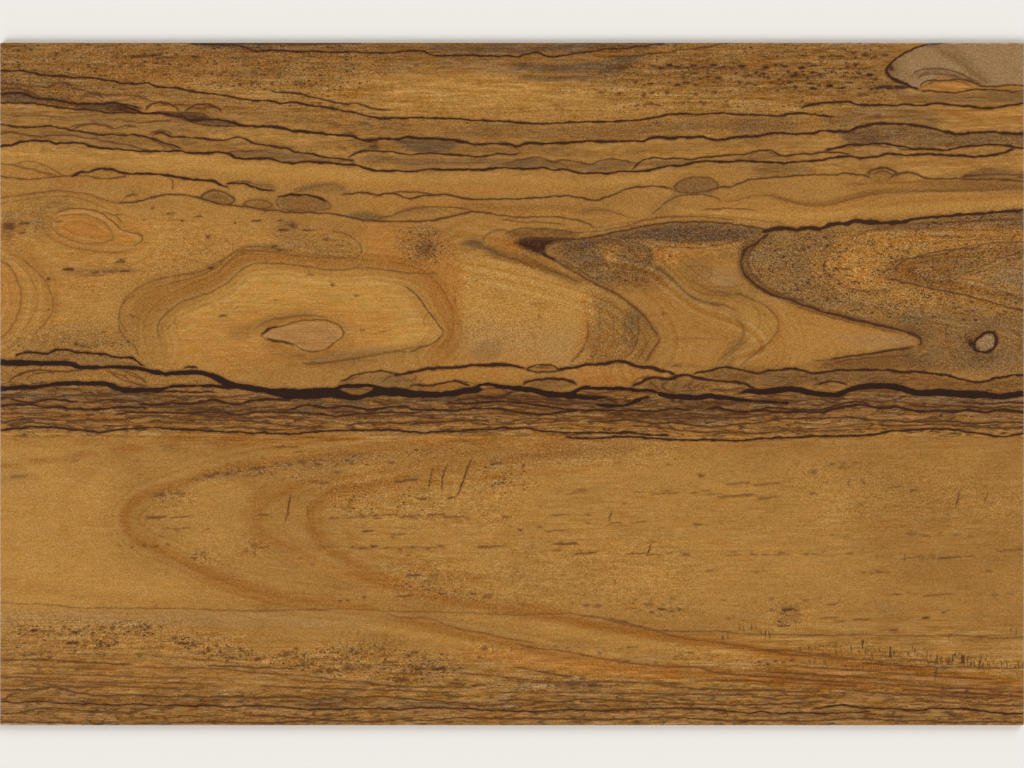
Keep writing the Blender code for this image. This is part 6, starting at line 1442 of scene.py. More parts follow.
MIDDLE_BANDS = (
    Band(RUST, 0.3, 2.2, 2, ((14.4, 148), (15, 145.4), (18, 142.4), (24, 140.6), (32, 139.6), (42, 139.8))),
    Band(RUST, 0.4, 4.4, 3.6, (
        (0, 144), (4, 140), (8, 136.5), (12, 133), (14, 130), (15.5, 125), (15, 121), (12, 117), (7, 113))),
    Band(SMOKE, 0.4, 1.4, 1.2, ((17, 132.4), (26, 133.2), (34, 133.6), (44, 133.2))),
    Band(HONEY, 0.5, 3, 3, ((44, 152), (48, 147), (46, 142), (42, 138), (40, 134))),
    Band(RUST, 0.5, 5, 3, (
        (45, 110.6), (42, 115), (41, 119.6), (42.6, 123), (47.6, 126), (54, 128.6), (60, 130.6), (65, 133),
        (69, 136), (73, 137.4), (80, 137.2), (87, 136.4), (94, 135.6), (103, 136), (112, 135.6), (120, 134.4),
        (126.4, 130.6), (130, 125), (132, 119), (132, 113), (127.4, 108), (119, 105.4))),
    Band(RUST, 0.35, 1.6, 1.4, ((37.4, 113), (36.2, 118), (37, 123.4), (41, 127), (48, 131.4))),
    Band(EMBER, 0.5, 3.4, 3, ((131, 140), (133.4, 133), (134, 125), (133.6, 117), (131.6, 109))),
    Band(UMBER, 0.22, 3.2, 2.6, (
        (74.6, 114.4), (78, 117.8), (86, 119.8), (95, 119.6), (101.4, 116.8), (101.4, 112.4), (97, 109),
        (91, 107.4), (86, 109.2), (80, 111.4), (75.4, 113), (74.6, 114.6))),
    Band(EMBER, 0.5, 2.2, 1.8, ((169.6, 129), (171.4, 122), (171.6, 115), (169.6, 109.6), (166.4, 106))),
    Band(EMBER, 0.22, 3, 3, ((157, 132), (158, 124), (157.4, 114), (155, 107))),
    Band(UMBER, 0.7, 2.2, 1.4, (
        (141, 140), (146, 138), (152, 136.6), (158, 134.4), (163, 132.4), (168, 130.4), (174, 128.2))),
    Band(SMOKE, 0.7, 2, 1.4, ((136.6, 141), (139.4, 141.4), (142, 140), (145, 138.4), (149, 137.2))),
    Band(BUFF, 0.5, 1.4, 1.2, ((142.6, 142), (144.6, 144), (148, 144.6))),
    Band(SMOKE, 0.5, 1.3, 1, (
        (188, 135.4), (192.5, 134.2), (195.6, 131.8), (198, 129.4), (200, 127.6), (202.4, 125.6),
        (205.4, 124.4), (209, 123.6), (214, 122.4))),
    Band(RUST, 0.4, 1.6, 1.4, (
        (222, 125), (226.4, 121.4), (228.6, 118), (228, 114.6), (225.4, 111.6), (220, 107.4))),
    Band(UMBER, 0.3, 2, 1.8, ((214, 120.6), (217.6, 117.6), (217.4, 113), (213.6, 108.6), (210, 105.6))),
    Band(PLUM, 0.5, 2.4, 1.6, (
        (226, 144.8), (223, 142.8), (219.6, 140.2), (218, 137.4), (218, 133.8), (219.8, 131), (223, 128.2))),
    Band(UMBER, 0.5, 1.6, 1.2, (
        (223, 128), (230, 125.4), (237, 122.8), (246, 120.2), (256, 118), (264, 116.2))),
    Band(RUST, 0.45, 1.2, 1, (
        (230, 124.2), (237, 121.4), (243, 119.6), (250, 118), (258, 116.4), (265, 114.8))),
    Band(PLUM, 0.4, 2, 1.6, ((262, 117), (267, 116), (271, 113.6), (270, 110.6), (266, 109.8))),
    Band(RUST, 0.5, 1.4, 1.2, ((262, 146), (276, 146.2), (288, 145.8), (305, 146.6))),
    Band(UMBER, 0.4, 1.2, 1, (
        (241, 143.6), (244, 140.4), (241.6, 137), (241.4, 133.6), (246, 129.4), (254, 126.4), (264, 127.6))),
    Band(UMBER, 0.6, 2.4, 2, (
        (293.4, 112.4), (291.8, 115.8), (288.4, 116.8), (285, 115), (283, 112), (285, 108.4), (289.4, 107.6),
        (292.6, 109.2), (293.4, 112.2))),
    Band(BUFF, 0.45, 1.8, 1.6, (
        (297, 112), (295, 116.4), (290.4, 118.6), (284, 117.4), (280.6, 113), (281.6, 108.8))),
    Band(UMBER, 0.55, 1.6, 1.4, (
        (224, 145.6), (220.6, 143.2), (218, 140.4), (216.9, 137.4), (217, 134.4), (218.6, 131.8),
        (221, 129.4), (225, 127.2), (230, 125.2), (236, 123.2), (244, 121), (252, 119), (260, 117.4),
        (266, 115.8), (269, 113.8), (270, 111.6))),
    Band(UMBER, 0.5, 1.4, 1.2, (
        (160, 138.6), (165, 135.6), (170, 132.4), (176, 129), (181, 126), (185, 122.6), (188.6, 118.8),
        (191.4, 115.4), (192.8, 113))),
    Band(RUST, 0.45, 1.2, 1, (
        (260.6, 129.6), (266, 128.8), (272, 127.6), (280, 126), (288, 124), (296, 122.4), (305, 120.6))),
)

BRAID_STAINS = (
    Stain(STRATA, 0.85, 1.6, (
        (-5, 99.6), (30, 100), (60, 99), (80, 96.4), (110, 96.4), (150, 97), (220, 96.6), (306, 96.6),
        (306, 85.6), (260, 85), (200, 84.4), (120, 85.6), (60, 86), (-5, 86))),
    Stain(STRATA, 0.5, 1.4, (
        (200, 102), (230, 103.4), (262, 103.4), (284, 100.6), (306, 101.6), (306, 97), (200, 97))),
    Stain(UMBER, 0.42, 3, (
        (-5, 99), (30, 99.4), (60, 99), (80, 97.6), (110, 98.4), (150, 98), (220, 97.6), (260, 99.4),
        (306, 98), (306, 87), (260, 87.6), (200, 85.6), (120, 86.4), (60, 87), (-5, 88))),
    Stain(SMOKE, 0.25, 3, (
        (-5, 98), (60, 97.6), (150, 97), (230, 96), (306, 96), (306, 91), (220, 90.6), (120, 90), (40, 91),
        (-5, 93))),
    Stain(PEPPER, 0.4, 3, ((-5, 108), (40, 106), (90, 98), (306, 98), (306, 86), (-5, 86))),
    Stain(STREAK, 0.8, 3, ((-5, 99), (90, 97.6), (306, 97.6), (306, 84.6), (-5, 85.6))),
    Stain(SMOKE, 0.4, 1.4, (
        (-5, 107.4), (5, 107.8), (8, 109.2), (20, 109.4), (31, 108.4), (41, 105.4), (30, 105.6),
        (-5, 106.6))),
    Stain(UMBER, 0.2, 2, (
        (-5, 105.4), (22, 105), (44, 104), (60, 102.4), (76, 99), (60, 99.6), (30, 101), (-5, 99.6))),
    Stain(RUST, 0.25, 1.6, ((8, 104.6), (22, 104.4), (40, 103.6), (48, 102), (34, 101.6), (14, 102.6))),
    Stain(SMOKE, 0.15, 2, ((-5, 104.6), (4, 103.6), (8, 101.4), (4, 100.2), (-5, 99.8))),
    # The islands over the lode.
    Stain(EMBER, 0.45, 1.6, (
        (116, 101), (122, 103), (134, 104.4), (146, 105), (153, 104), (152, 101), (144, 100.6), (134, 101.4),
        (124, 100.6))),
    Stain(SMOKE, 0.4, 1.6, (
        (99, 99.8), (104, 102.2), (112, 103.4), (118, 102.4), (124, 100.4), (116, 99.6), (106, 100.2))),
    Stain(RUST, 0.5, 1, ((99.6, 98.2), (104, 98.8), (110, 98.8), (110, 97.4), (105, 96.8), (101, 97.4))),
    Stain(UMBER, 0.4, 1.2, (
        (154, 99.4), (157, 100.9), (162, 101.3), (166.6, 100.8), (168.6, 99.4), (162, 98.4))),
    Stain(EMBER, 0.5, 1.6, (
        (163, 102.6), (172, 105), (180, 105.8), (190, 104.4), (196, 102.8), (190, 102.2), (184, 100.6),
        (172, 100), (168, 101.6))),
    Stain(RUST, 0.4, 1.2, ((170, 99.8), (184, 99.4), (186, 101.6), (178, 102.6), (170, 101.6))),
    Stain(SMOKE, 0.35, 1.2, (
        (189, 98.8), (190.6, 101.4), (197, 101.2), (202, 101.8), (206, 100.4), (206, 97.6), (198, 97.4))),
    Stain(EMBER, 0.4, 1.2, ((196, 99.8), (200, 101.4), (206, 100.6), (206, 98.6), (199, 98.4))),
    Stain(UMBER, 0.6, 1.8, (
        (206, 103.6), (214, 104.4), (230, 103.8), (250, 103.8), (272, 103), (284, 100.6), (306, 102),
        (306, 98), (270, 99), (250, 100), (236, 99.6), (222, 99), (208, 101.4))),
    Stain(SMOKE, 0.4, 1.8, ((222, 103), (240, 103), (262, 103.2), (262, 100.8), (240, 101), (224, 100.4))),
    Stain(RUST, 0.35, 1.6, ((262, 102.6), (278, 101.8), (286, 99.6), (274, 98.8), (264, 100))),
    Stain(UMBER, 0.45, 2.4, (
        (196, 106), (206, 105.4), (224, 105), (250, 106.6), (270, 107.4), (282, 104), (264, 104),
        (230, 104.6), (206, 104.4))),
    Stain(SMOKE, 0.45, 1, (
        (-5, 97.6), (10, 98), (20, 97.8), (34, 97.6), (48, 97), (44, 95.6), (30, 96), (16, 96), (-5, 97))),
    Stain(BUFF, 0.7, 0.8, ((16.6, 97.2), (19, 97.7), (22.4, 97.2), (20, 96.2), (17.6, 96.4))),
    Stain(PLUM, 0.35, 1, ((22, 96), (30, 96.8), (40, 97), (50, 96.6), (46, 94.8), (34, 95.6), (26, 95.6))),
    Stain(PLUM, 0.4, 1.2, (
        (47, 93.4), (54, 94), (60, 94.6), (66, 94), (74, 93.6), (76, 92), (66, 91.8), (58, 92.4))),
    Stain(PLUM, 0.4, 1, ((57, 91.6), (61, 92.6), (66, 92), (64, 90), (59, 90))),
    Stain(EMBER, 0.6, 1, ((78, 94), (82, 94.8), (88, 94.6), (87, 93), (82, 92.4), (78, 92.8))),
    Stain(PLUM, 0.45, 1, (
        (87, 92.4), (91, 93.4), (95, 92.8), (100, 93.2), (104, 92), (96, 91.2), (90, 91.6))),
    Stain(SMOKE, 0.4, 1, ((0, 88.6), (8, 89.4), (16, 89), (22, 88), (14, 87.6), (4, 87.4))),
    Stain(EMBER, 0.4, 1, ((28, 92), (40, 92.4), (54, 91.2), (60, 90.6), (48, 90.2), (34, 90.6))),
    Stain(SMOKE, 0.5, 1, ((112, 101), (116, 102.2), (121, 102.2), (124, 101), (119, 99.6), (113, 99.8))),
    Stain(RUST, 0.6, 0.9, (
        (120, 99), (124, 99.6), (130, 100), (135, 100.3), (138, 99.4), (133, 98.8), (126, 98.4))),
    Stain(PLUM, 0.4, 1, (
        (133, 96), (140, 96.8), (146, 96.6), (152, 96.4), (150, 94.8), (140, 94.8), (134, 95))),
    Stain(PLUM, 0.4, 1, (
        (150, 94.4), (158, 95), (166, 94.6), (174, 94), (172, 92.8), (162, 92.8), (154, 93.2))),
    Stain(BUFF, 0.4, 0.9, ((109, 92.6), (113, 93), (117, 92.8), (115, 91.8), (111, 91.8))),
    Stain(PLUM, 0.45, 1.2, (
        (176, 91), (186, 91.8), (198, 91.6), (212, 91.6), (220, 90.4), (214, 88.8), (200, 88.8),
        (188, 89.4))),
    Stain(EMBER, 0.5, 1, ((176, 88.4), (184, 88.8), (196, 88), (202, 87), (192, 86.4), (180, 87))),
    Stain(RUST, 0.55, 1, ((216, 91), (226, 91.4), (236, 91.2), (244, 90.8), (238, 90), (226, 90.2))),
    Stain(SMOKE, 0.5, 1, ((251, 96.4), (255, 97.3), (262, 97.3), (265, 96.3), (260, 95.4), (254, 95.4))),
    Stain(SMOKE, 0.4, 1, ((222, 95), (232, 95.6), (244, 95.6), (250, 94.6), (244, 93.2), (230, 93))),
    Stain(PLUM, 0.3, 1, ((196, 95), (210, 94.8), (222, 94.4), (220, 93), (206, 93), (196, 93.4))),
    Stain(UMBER, 0.4, 1.4, (
        (188, 98.4), (190, 101), (197, 101), (203, 101.8), (212, 100.4), (220, 98.8), (214, 97.4),
        (198, 97.2))),
    Stain(RUST, 0.5, 0.9, ((155.6, 104.2), (157.4, 105.2), (160, 105.2), (162.6, 104.4), (160.4, 103.9))),
    Stain(SMOKE, 0.35, 1.2, ((155, 99.6), (158, 101), (163, 101), (167.6, 99.8), (162, 98.6))),
    Stain(UMBER, 0.5, 1.2, (
        (242, 106.8), (250, 108.2), (258, 109.2), (267, 110.6), (268, 107), (264, 104.8), (250, 104.8),
        (240, 104.6))),
    Stain(RUST, 0.6, 0.9, (
        (142, 99), (146, 98.8), (149, 98), (149, 96.8), (146, 96.4), (142.4, 96.8), (141, 98))),
    Stain(RUST, 0.55, 0.9, (
        (168.4, 97.4), (171, 98.4), (178, 98.4), (186, 97.8), (190, 97.2), (184, 96), (176, 96.6))),
    Stain(UMBER, 0.35, 0.9, ((99.6, 98.2), (104, 98.8), (110, 98.8), (110, 97.4), (105, 96.8), (101, 97.4))),
)
BRAID_BANDS = (
    Band(RUST, 0.6, 1.2, 1, (
        (-4, 95), (14, 93.8), (30, 94), (42, 92.6), (60, 93.4), (78, 92.6), (96, 92.2), (110, 93.6),
        (124, 93.2), (140, 93.6))),
    Band(RUST, 0.55, 1.2, 1, (
        (-4, 90.4), (16, 90.6), (34, 90.4), (50, 90.8), (70, 90), (92, 90.2), (120, 89.6), (146, 90),
        (168, 90.8), (190, 91.2))),
    Band(EMBER, 0.35, 1.2, 1, (
        (-4, 88), (14, 88.4), (34, 88.2), (50, 88.4), (70, 88.2), (88, 86.8), (110, 87.6), (134, 87.6),
        (160, 87.6), (186, 87.2))),
    Band(RUST, 0.55, 1.3, 1, (
        (176, 91), (196, 91.2), (216, 90.8), (236, 90.8), (256, 91.4), (276, 90.6), (305, 90.2))),
    Band(RUST, 0.5, 1.2, 1, ((190, 86.4), (210, 85.6), (232, 86), (252, 87), (270, 87.8), (305, 87.2))),
    Band(PLUM, 0.5, 1.4, 1.2, (
        (120, 95.4), (136, 95.6), (152, 95.8), (166, 94.4), (180, 94.8), (196, 94.6), (214, 94.4),
        (236, 95))),
    Band(PLUM, 0.4, 1.4, 1.2, ((84, 94.4), (100, 94.6), (116, 95), (124, 95.4))),
    Band(SMOKE, 0.5, 1.4, 1.2, ((240, 94.6), (256, 95.6), (276, 95), (305, 95.2))),
    Band(RUST, 0.25, 3, 2.4, (
        (-5, 84.4), (30, 83.8), (60, 84.2), (90, 84), (130, 84.2), (160, 83.4), (200, 81.8), (240, 82.8),
        (305, 83.4))),
)

LOWER_STAINS = (
    Stain(STRATA, 0.58, 3, ((-8, 11), (60, 10), (130, 11), (200, 11), (306, 8.4), (306, -8), (-8, -8))),
    Stain(STRATA, 0.3, 5, ((-8, 22), (60, 20), (130, 18), (200, 14), (306, 10), (306, 2), (-8, 2))),
    Stain(HONEY, 0.6, 16, ((-16, 82), (20, 81), (36, 72), (32, 60), (38, 50), (54, 42), (66, 36), (-16, 36))),
    Stain(HONEY, 0.3, 12, (
        (96, 64), (110, 70), (140, 76), (190, 78), (250, 70), (250, 34), (190, 34), (140, 42), (104, 52))),
    Stain(HONEY, 0.3, 8, ((44, 68), (62, 72), (72, 70), (72, 56), (80, 50), (70, 46), (50, 52))),
    Stain(UMBER, 0.05, 14, ((220, 84), (306, 86), (306, 26), (250, 30), (230, 60))),
    Stain(STREAK, 0.75, 8, (
        (-8, 27), (60, 25), (120, 22), (180, 19), (222, 28), (306, 27), (306, -6), (-8, -6))),
    Stain(STREAK, 0.25, 10, ((-8, 84), (306, 84), (306, 28), (-8, 28))),
    Stain(STREAK, 0.25, 10, (
        (96, 66), (120, 72), (200, 70), (296, 66), (296, 56), (220, 44), (150, 40), (100, 44))),
    Stain(PEPPER, 0.35, 8, ((-8, 28), (70, 26), (120, 22), (200, 20), (306, 20), (306, -6), (-8, -6))),
    Stain(UMBER, 0.3, 5, ((-8, 11.4), (60, 10), (130, 9), (200, 9.6), (306, 8), (306, -6), (-8, -6))),
    Stain(UMBER, 0.1, 6, ((-8, 23), (40, 21), (90, 18), (150, 14), (200, 11), (200, 4), (-8, 4))),
    Stain(EMBER, 0.2, 6, ((-8, 24), (30, 22), (60, 18), (64, 12), (20, 11), (-8, 12))),
    Stain(RUST, 0.5, 4, (
        (222, 20), (250, 18), (280, 15), (306, 14), (306, 6), (270, 7.6), (240, 9), (218, 12))),
    Stain(SMOKE, 0.22, 2.6, ((44, 67), (49, 69), (54, 68.4), (51, 66), (46, 65.6))),
    Stain(SMOKE, 0.18, 3.4, ((80, 77), (90, 79), (106, 78.6), (102, 75.6), (88, 75), (80, 75.6))),
    Stain(SMOKE, 0.25, 2.6, ((228, 34), (231, 36), (234.4, 34.6), (234, 31), (230, 28.6), (227, 30))),
    Stain(PEPPER, 0.7, 3, ((224, 34), (231, 37), (236, 34), (238, 30), (230, 27.6), (224, 30))),
    Stain(PEPPER, 0.7, 4, ((2, 30), (46, 30), (72, 26), (74, 19), (40, 20), (4, 19))),
    Stain(PEPPER, 0.5, 5, ((104, 75), (150, 76), (152, 60), (128, 58), (100, 62))),
    Stain(PEPPER, 0.4, 6, ((116, 48), (200, 54), (204, 40), (150, 34), (114, 38))),
    Stain(PEPPER, 0.45, 6, ((232, 76), (282, 74), (302, 68), (302, 60), (240, 62))),
    Stain(SMOKE, 0.2, 1.6, ((15, 77.4), (19, 79.2), (24, 78.8), (23, 76.8), (18, 76.2))),
    Stain(SMOKE, 0.25, 1.4, ((-2, 73.8), (6, 74), (11, 72.8), (6, 71.6), (-2, 71.8))),
    Stain(SMOKE, 0.2, 1.6, ((57, 72.6), (62, 74.2), (69, 74.8), (69.4, 72.8), (64, 72))),
    Stain(SMOKE, 0.22, 1.6, ((72, 75.2), (78, 76.4), (86, 76.8), (86, 75), (79, 74))),
    Stain(SMOKE, 0.17, 2.4, (
        (86, 77.6), (96, 79), (110, 80.2), (130, 81.4), (146, 82.2), (130, 80), (112, 78.4), (98, 76.6),
        (88, 76.2))),
    Stain(SMOKE, 0.12, 2.4, ((142, 74), (146, 76.4), (152, 75.4), (154, 71.4), (148, 69.4), (142, 70.6))),
    Stain(SMOKE, 0.24, 2, ((142, 79), (154, 81), (172, 82), (186, 81), (176, 79), (156, 77))),
    Stain(SMOKE, 0.2, 1.2, ((46, 81.2), (50, 82.4), (53, 81), (49, 80))),
    Stain(PEPPER, 0.8, 2, ((45, 65), (46, 69.4), (52, 69.6), (57, 67.6), (55, 64.6))),
    Stain(PEPPER, 0.75, 2, (
        (57, 71.6), (62, 74.8), (70, 76), (88, 78.4), (110, 81), (136, 83), (152, 83.4), (136, 79.8),
        (112, 77), (90, 74.4), (72, 72.6))),
    Stain(PEPPER, 0.7, 1.6, ((56, 51.4), (63, 51.6), (64, 47.6), (56, 47.4))),
    Stain(PEPPER, 0.6, 1.6, ((70, 54), (79, 54), (79, 50), (70, 49.6))),
    Stain(PEPPER, 0.6, 2, ((84, 75), (96, 73), (112, 68), (112, 63), (98, 62.6), (92, 68), (82, 72))),
    Stain(PEPPER, 0.8, 2, ((116, 68.6), (126, 68.6), (127, 63.4), (116, 63.4))),
    Stain(PEPPER, 0.7, 2, ((140, 77), (154, 78), (156, 69), (141, 68.6))),
    Stain(PEPPER, 0.6, 3, ((150, 82), (200, 83), (204, 79), (160, 76))),
    Stain(PEPPER, 0.6, 3, ((112, 47), (134, 46), (140, 40), (152, 36.4), (130, 36.6), (112, 41))),
    Stain(PEPPER, 0.7, 2, ((180, 36.6), (206, 35.4), (206, 32.6), (182, 33.4))),
    Stain(PEPPER, 1.0, 1.2, ((4, 29), (13, 29.4), (13, 26.6), (5, 26.6))),
    Stain(PEPPER, 1.0, 1.2, (
        (18.6, 28.8), (25, 29), (33, 30), (44, 30), (44, 26.4), (34, 25.2), (30, 25), (22, 26.4))),
    Stain(PEPPER, 1.0, 1, ((18, 25.4), (25, 25.6), (35, 25.6), (34, 22.2), (26, 22), (24, 23.4), (18, 23.4))),
    Stain(PEPPER, 1.0, 1.2, (
        (49, 27), (58, 25.4), (68, 22.6), (74, 21.6), (74, 18.8), (62, 19.4), (56, 21.4), (50, 23.8))),
    Stain(PEPPER, 1.0, 1.4, ((72, 21), (84, 22), (106, 24), (106, 15.4), (96, 14.2), (84, 16.2), (74, 18.4))),
    Stain(PEPPER, 0.9, 1.6, ((106, 23.6), (122, 22), (136, 20), (134, 14.6), (122, 11.8), (108, 12))),
    Stain(PEPPER, 0.7, 2, ((136, 24.6), (152, 23.6), (156, 20.6), (138, 20.6))),
    Stain(PEPPER, 0.7, 2, ((140, 15), (162, 14), (182, 13.4), (182, 10.6), (142, 10.6))),
    Stain(PEPPER, 0.7, 2, ((196, 23), (216, 20), (232, 19.6), (234, 17), (214, 17.6), (196, 19.6))),
    Stain(PEPPER, 0.7, 2, ((240, 23.6), (270, 21.6), (300, 18.8), (300, 15.6), (268, 17.6), (240, 20.6))),
    Stain(SMOKE, 0.26, 1.4, ((163, 12), (170, 13), (177, 12.4), (176, 11), (168, 10.8))),
    Stain(SMOKE, 0.4, 1, ((120, 17), (126, 17.8), (131, 17.2), (130, 15.8), (122, 15.8))),
    Stain(SMOKE, 0.3, 1.4, ((26, 6), (34, 6), (42, 5.4), (40, 4.2), (28, 4.4))),
    Stain(SMOKE, 0.3, 1.4, ((84, 8.2), (104, 7.4), (104, 5.6), (86, 5.6))),
    Stain(SMOKE, 0.35, 1.2, ((118, 6.6), (134, 6.4), (134, 5), (118, 5))),
    Stain(STREAK, 0.5, 4, ((140, 21), (200, 19), (306, 17), (306, 3), (150, 3))),
    Stain(STREAK, 0.35, 3, ((-8, 13), (60, 12), (150, 11), (150, 2), (-8, 2))),
)
LOWER_BANDS = (
    Band(RUST, 0.62, 2.2, 1.5, (
        (112, 79.4), (100, 78.6), (90, 78), (80, 76.8), (72, 75.8), (65, 74.6), (60, 73.4), (55, 71.6),
        (50, 70), (45, 68.6), (41, 67), (38, 65), (36.4, 62), (36.4, 59), (37.5, 56), (40, 54), (44, 52.5),
        (48, 50), (52, 48), (57, 45.5), (62, 43), (68, 40.8), (75, 38.6), (82, 37), (90, 35.8), (100, 35),
        (112, 34.4))),
    Band(RUST, 0.22, 5, 4, (
        (56, 70.6), (48, 68.4), (41, 65.6), (38.6, 62), (38.8, 58), (42, 54.6), (50, 50), (60, 45.4),
        (72, 40.6), (86, 37))),
    Band(RUST, 0.28, 3.4, 2, ((42, 67), (38.4, 64.6), (36.8, 61), (37, 57), (40.4, 53.6), (45, 51))),
    Band(RUST, 0.3, 5.4, 2.6, ((50, 49), (60, 44), (72, 39.6), (84, 36.8), (96, 35.2))),
    Band(RUST, 0.4, 2.6, 1.6, ((50, 50), (60, 44.6), (72, 39.8), (84, 36.8), (98, 35), (114, 33.8))),
    Band(RUST, 0.72, 1.1, 1.0, (
        (-2, 75.4), (14, 78), (25, 79.3), (33, 80.4), (42, 81.2), (48, 82), (54, 83.2), (62, 84.2), (72, 84),
        (84, 83.7), (100, 84.4))),
    Band(RUST, 0.4, 4.6, 3, (
        (98, 72.6), (90, 70.6), (83, 68.6), (77, 65.6), (75, 61), (75.6, 57), (80, 54), (88, 51),
        (97, 47.6))),
    Band(RUST, 0.4, 1.4, 1.4, (
        (78, 66), (84, 68.6), (90, 70.6), (98, 72.2), (106, 73.4), (115, 74.8), (126, 76), (140, 79))),
    Band(RUST, 0.42, 3.8, 2, (
        (112, 70.6), (104, 69.4), (98, 67.6), (94, 65), (92.6, 61), (93.4, 56), (97, 51.8), (102, 48.6),
        (110, 44.6))),
    Band(UMBER, 0.16, 1.6, 1.4, (
        (125, 73.8), (115, 71.8), (107, 70.2), (100, 69), (95, 67.4), (92.2, 65), (91.2, 62), (91, 58),
        (92, 55), (95, 52.4), (99, 50), (103, 47.6))),
    Band(RUST, 0.6, 2, 1.4, (
        (176, 81.6), (164, 79.6), (150, 78), (143, 76.8), (137, 75.4), (125, 73.6), (115, 71.6), (107, 70),
        (100, 69), (95, 67.4), (92.2, 65), (91.2, 62), (91, 58), (92, 55), (95, 52.4), (99, 50), (103, 47.6),
        (108, 45), (113, 43.4), (120, 41.2))),
    Band(RUST, 0.62, 3.6, 2.2, (
        (99, 48), (104, 45), (110, 42.6), (117, 40.6), (124, 38.6), (132, 36.8), (140, 35.4), (150, 34),
        (160, 32.6), (170, 31))),
    Band(RUST, 0.3, 5, 4, ((112, 77), (124, 79), (138, 81), (156, 82), (176, 82.6))),
    Band(RUST, 0.5, 1.3, 1.1, ((60, 83.2), (72, 82.2), (84, 80.6), (98, 80.2), (112, 81), (130, 82.4))),
    Band(EMBER, 0.5, 1.4, 1.2, ((96, 83), (112, 83.2), (130, 84), (150, 83.2), (172, 83.6))),
    Band(RUST, 0.4, 1.4, 1.2, (
        (100, 62), (104, 66.4), (112, 69), (124, 70.6), (140, 72.6), (158, 74.4), (176, 75.4))),
    Band(RUST, 0.36, 1.6, 1.3, (
        (101, 60), (102, 56), (106, 52.4), (112, 49.4), (120, 46.6), (132, 44), (146, 41.4))),
    Band(EMBER, 0.45, 2.4, 2, ((84, 50.4), (92, 47.6), (100, 44.4), (108, 41.6), (118, 39))),
    Band(RUST, 0.64, 3, 2.4, (
        (150, 34.2), (158, 33), (166, 31.5), (172, 30), (180, 28.5), (190, 26.8), (200, 25.5), (210, 24.5),
        (220, 23), (230, 21.5), (240, 20.5), (250, 19), (260, 17.5), (270, 16), (285, 14), (305, 12.2))),
    Band(RUST, 0.64, 2.6, 2, (
        (112, 32), (120, 30.8), (126, 29.5), (133, 27.2), (140, 26), (150, 23.5), (160, 20.8), (170, 19.5),
        (180, 18), (190, 16.8), (200, 16), (210, 15), (220, 14), (230, 13), (240, 12.5), (250, 12),
        (262, 11.6))),
    Band(EMBER, 0.75, 2.4, 2, ((132, 23.4), (150, 19.8), (162, 17.6), (175, 16.4), (188, 15), (204, 13.8))),
    Band(HONEY, 0.45, 2.4, 2, (
        (60, 32.4), (80, 31), (100, 29.8), (118, 27.4), (132, 25), (148, 21.8), (165, 18.8), (182, 17))),
    Band(HONEY, 0.4, 3.2, 2.8, ((126, 34), (146, 31), (164, 28), (180, 25.2), (200, 22.4), (226, 19.4))),
    Band(BUFF, 0.35, 4, 3, ((-5, 31.4), (30, 31.2), (60, 31.2), (90, 30.6), (114, 29.4))),
    Band(RUST, 0.25, 1.4, 1.4, ((-4, 41), (14, 39.6), (30, 38.4), (48, 36.6), (70, 35.2))),
    Band(RUST, 0.12, 3, 3, ((40, 78), (26, 74.4), (20, 69), (18.6, 62), (20, 54), (28, 47), (40, 41))),
    Band(EMBER, 0.35, 2.4, 2, ((24, 69), (22.4, 66), (23, 62.6), (26, 59), (28, 55))),
    Band(RUST, 0.3, 1.2, 1, ((-2, 43.4), (10, 41.2), (20, 38.6), (30, 36.8), (40, 35.4), (52, 34.8))),
    Band(RUST, 0.6, 2.4, 1.6, (
        (163, 30.6), (180, 28.4), (195, 26), (210, 24), (225, 21.6), (240, 19.6), (255, 17.4), (270, 15.4),
        (285, 13.6), (302, 12.2))),
    Band(EMBER, 0.5, 1.6, 1.2, (
        (150, 20.6), (165, 18.9), (180, 17.2), (200, 15.6), (220, 13.4), (240, 12), (260, 11), (280, 9.8),
        (302, 8.4))),
    Band(UMBER, 0.35, 1.2, 1, ((205, 16.2), (225, 15), (245, 13.9), (262, 13), (280, 11.9), (302, 10.6))),
    Band(UMBER, 0.3, 1.4, 1.2, ((180, 9.6), (205, 9.4), (230, 9.2), (262, 8.9), (302, 8))),
    Band(BUFF, 0.4, 1.2, 1, ((150, 11), (168, 11.4), (182, 11.2))),
    Band(SMOKE, 0.3, 1.8, 1.6, ((58, 73), (66, 73.6), (80, 75))),
    Band(UMBER, 0.4, 1.4, 1.2, ((-5, 8.6), (30, 7.6), (80, 7), (130, 6), (180, 5.6), (240, 2.6), (305, 2))),
)

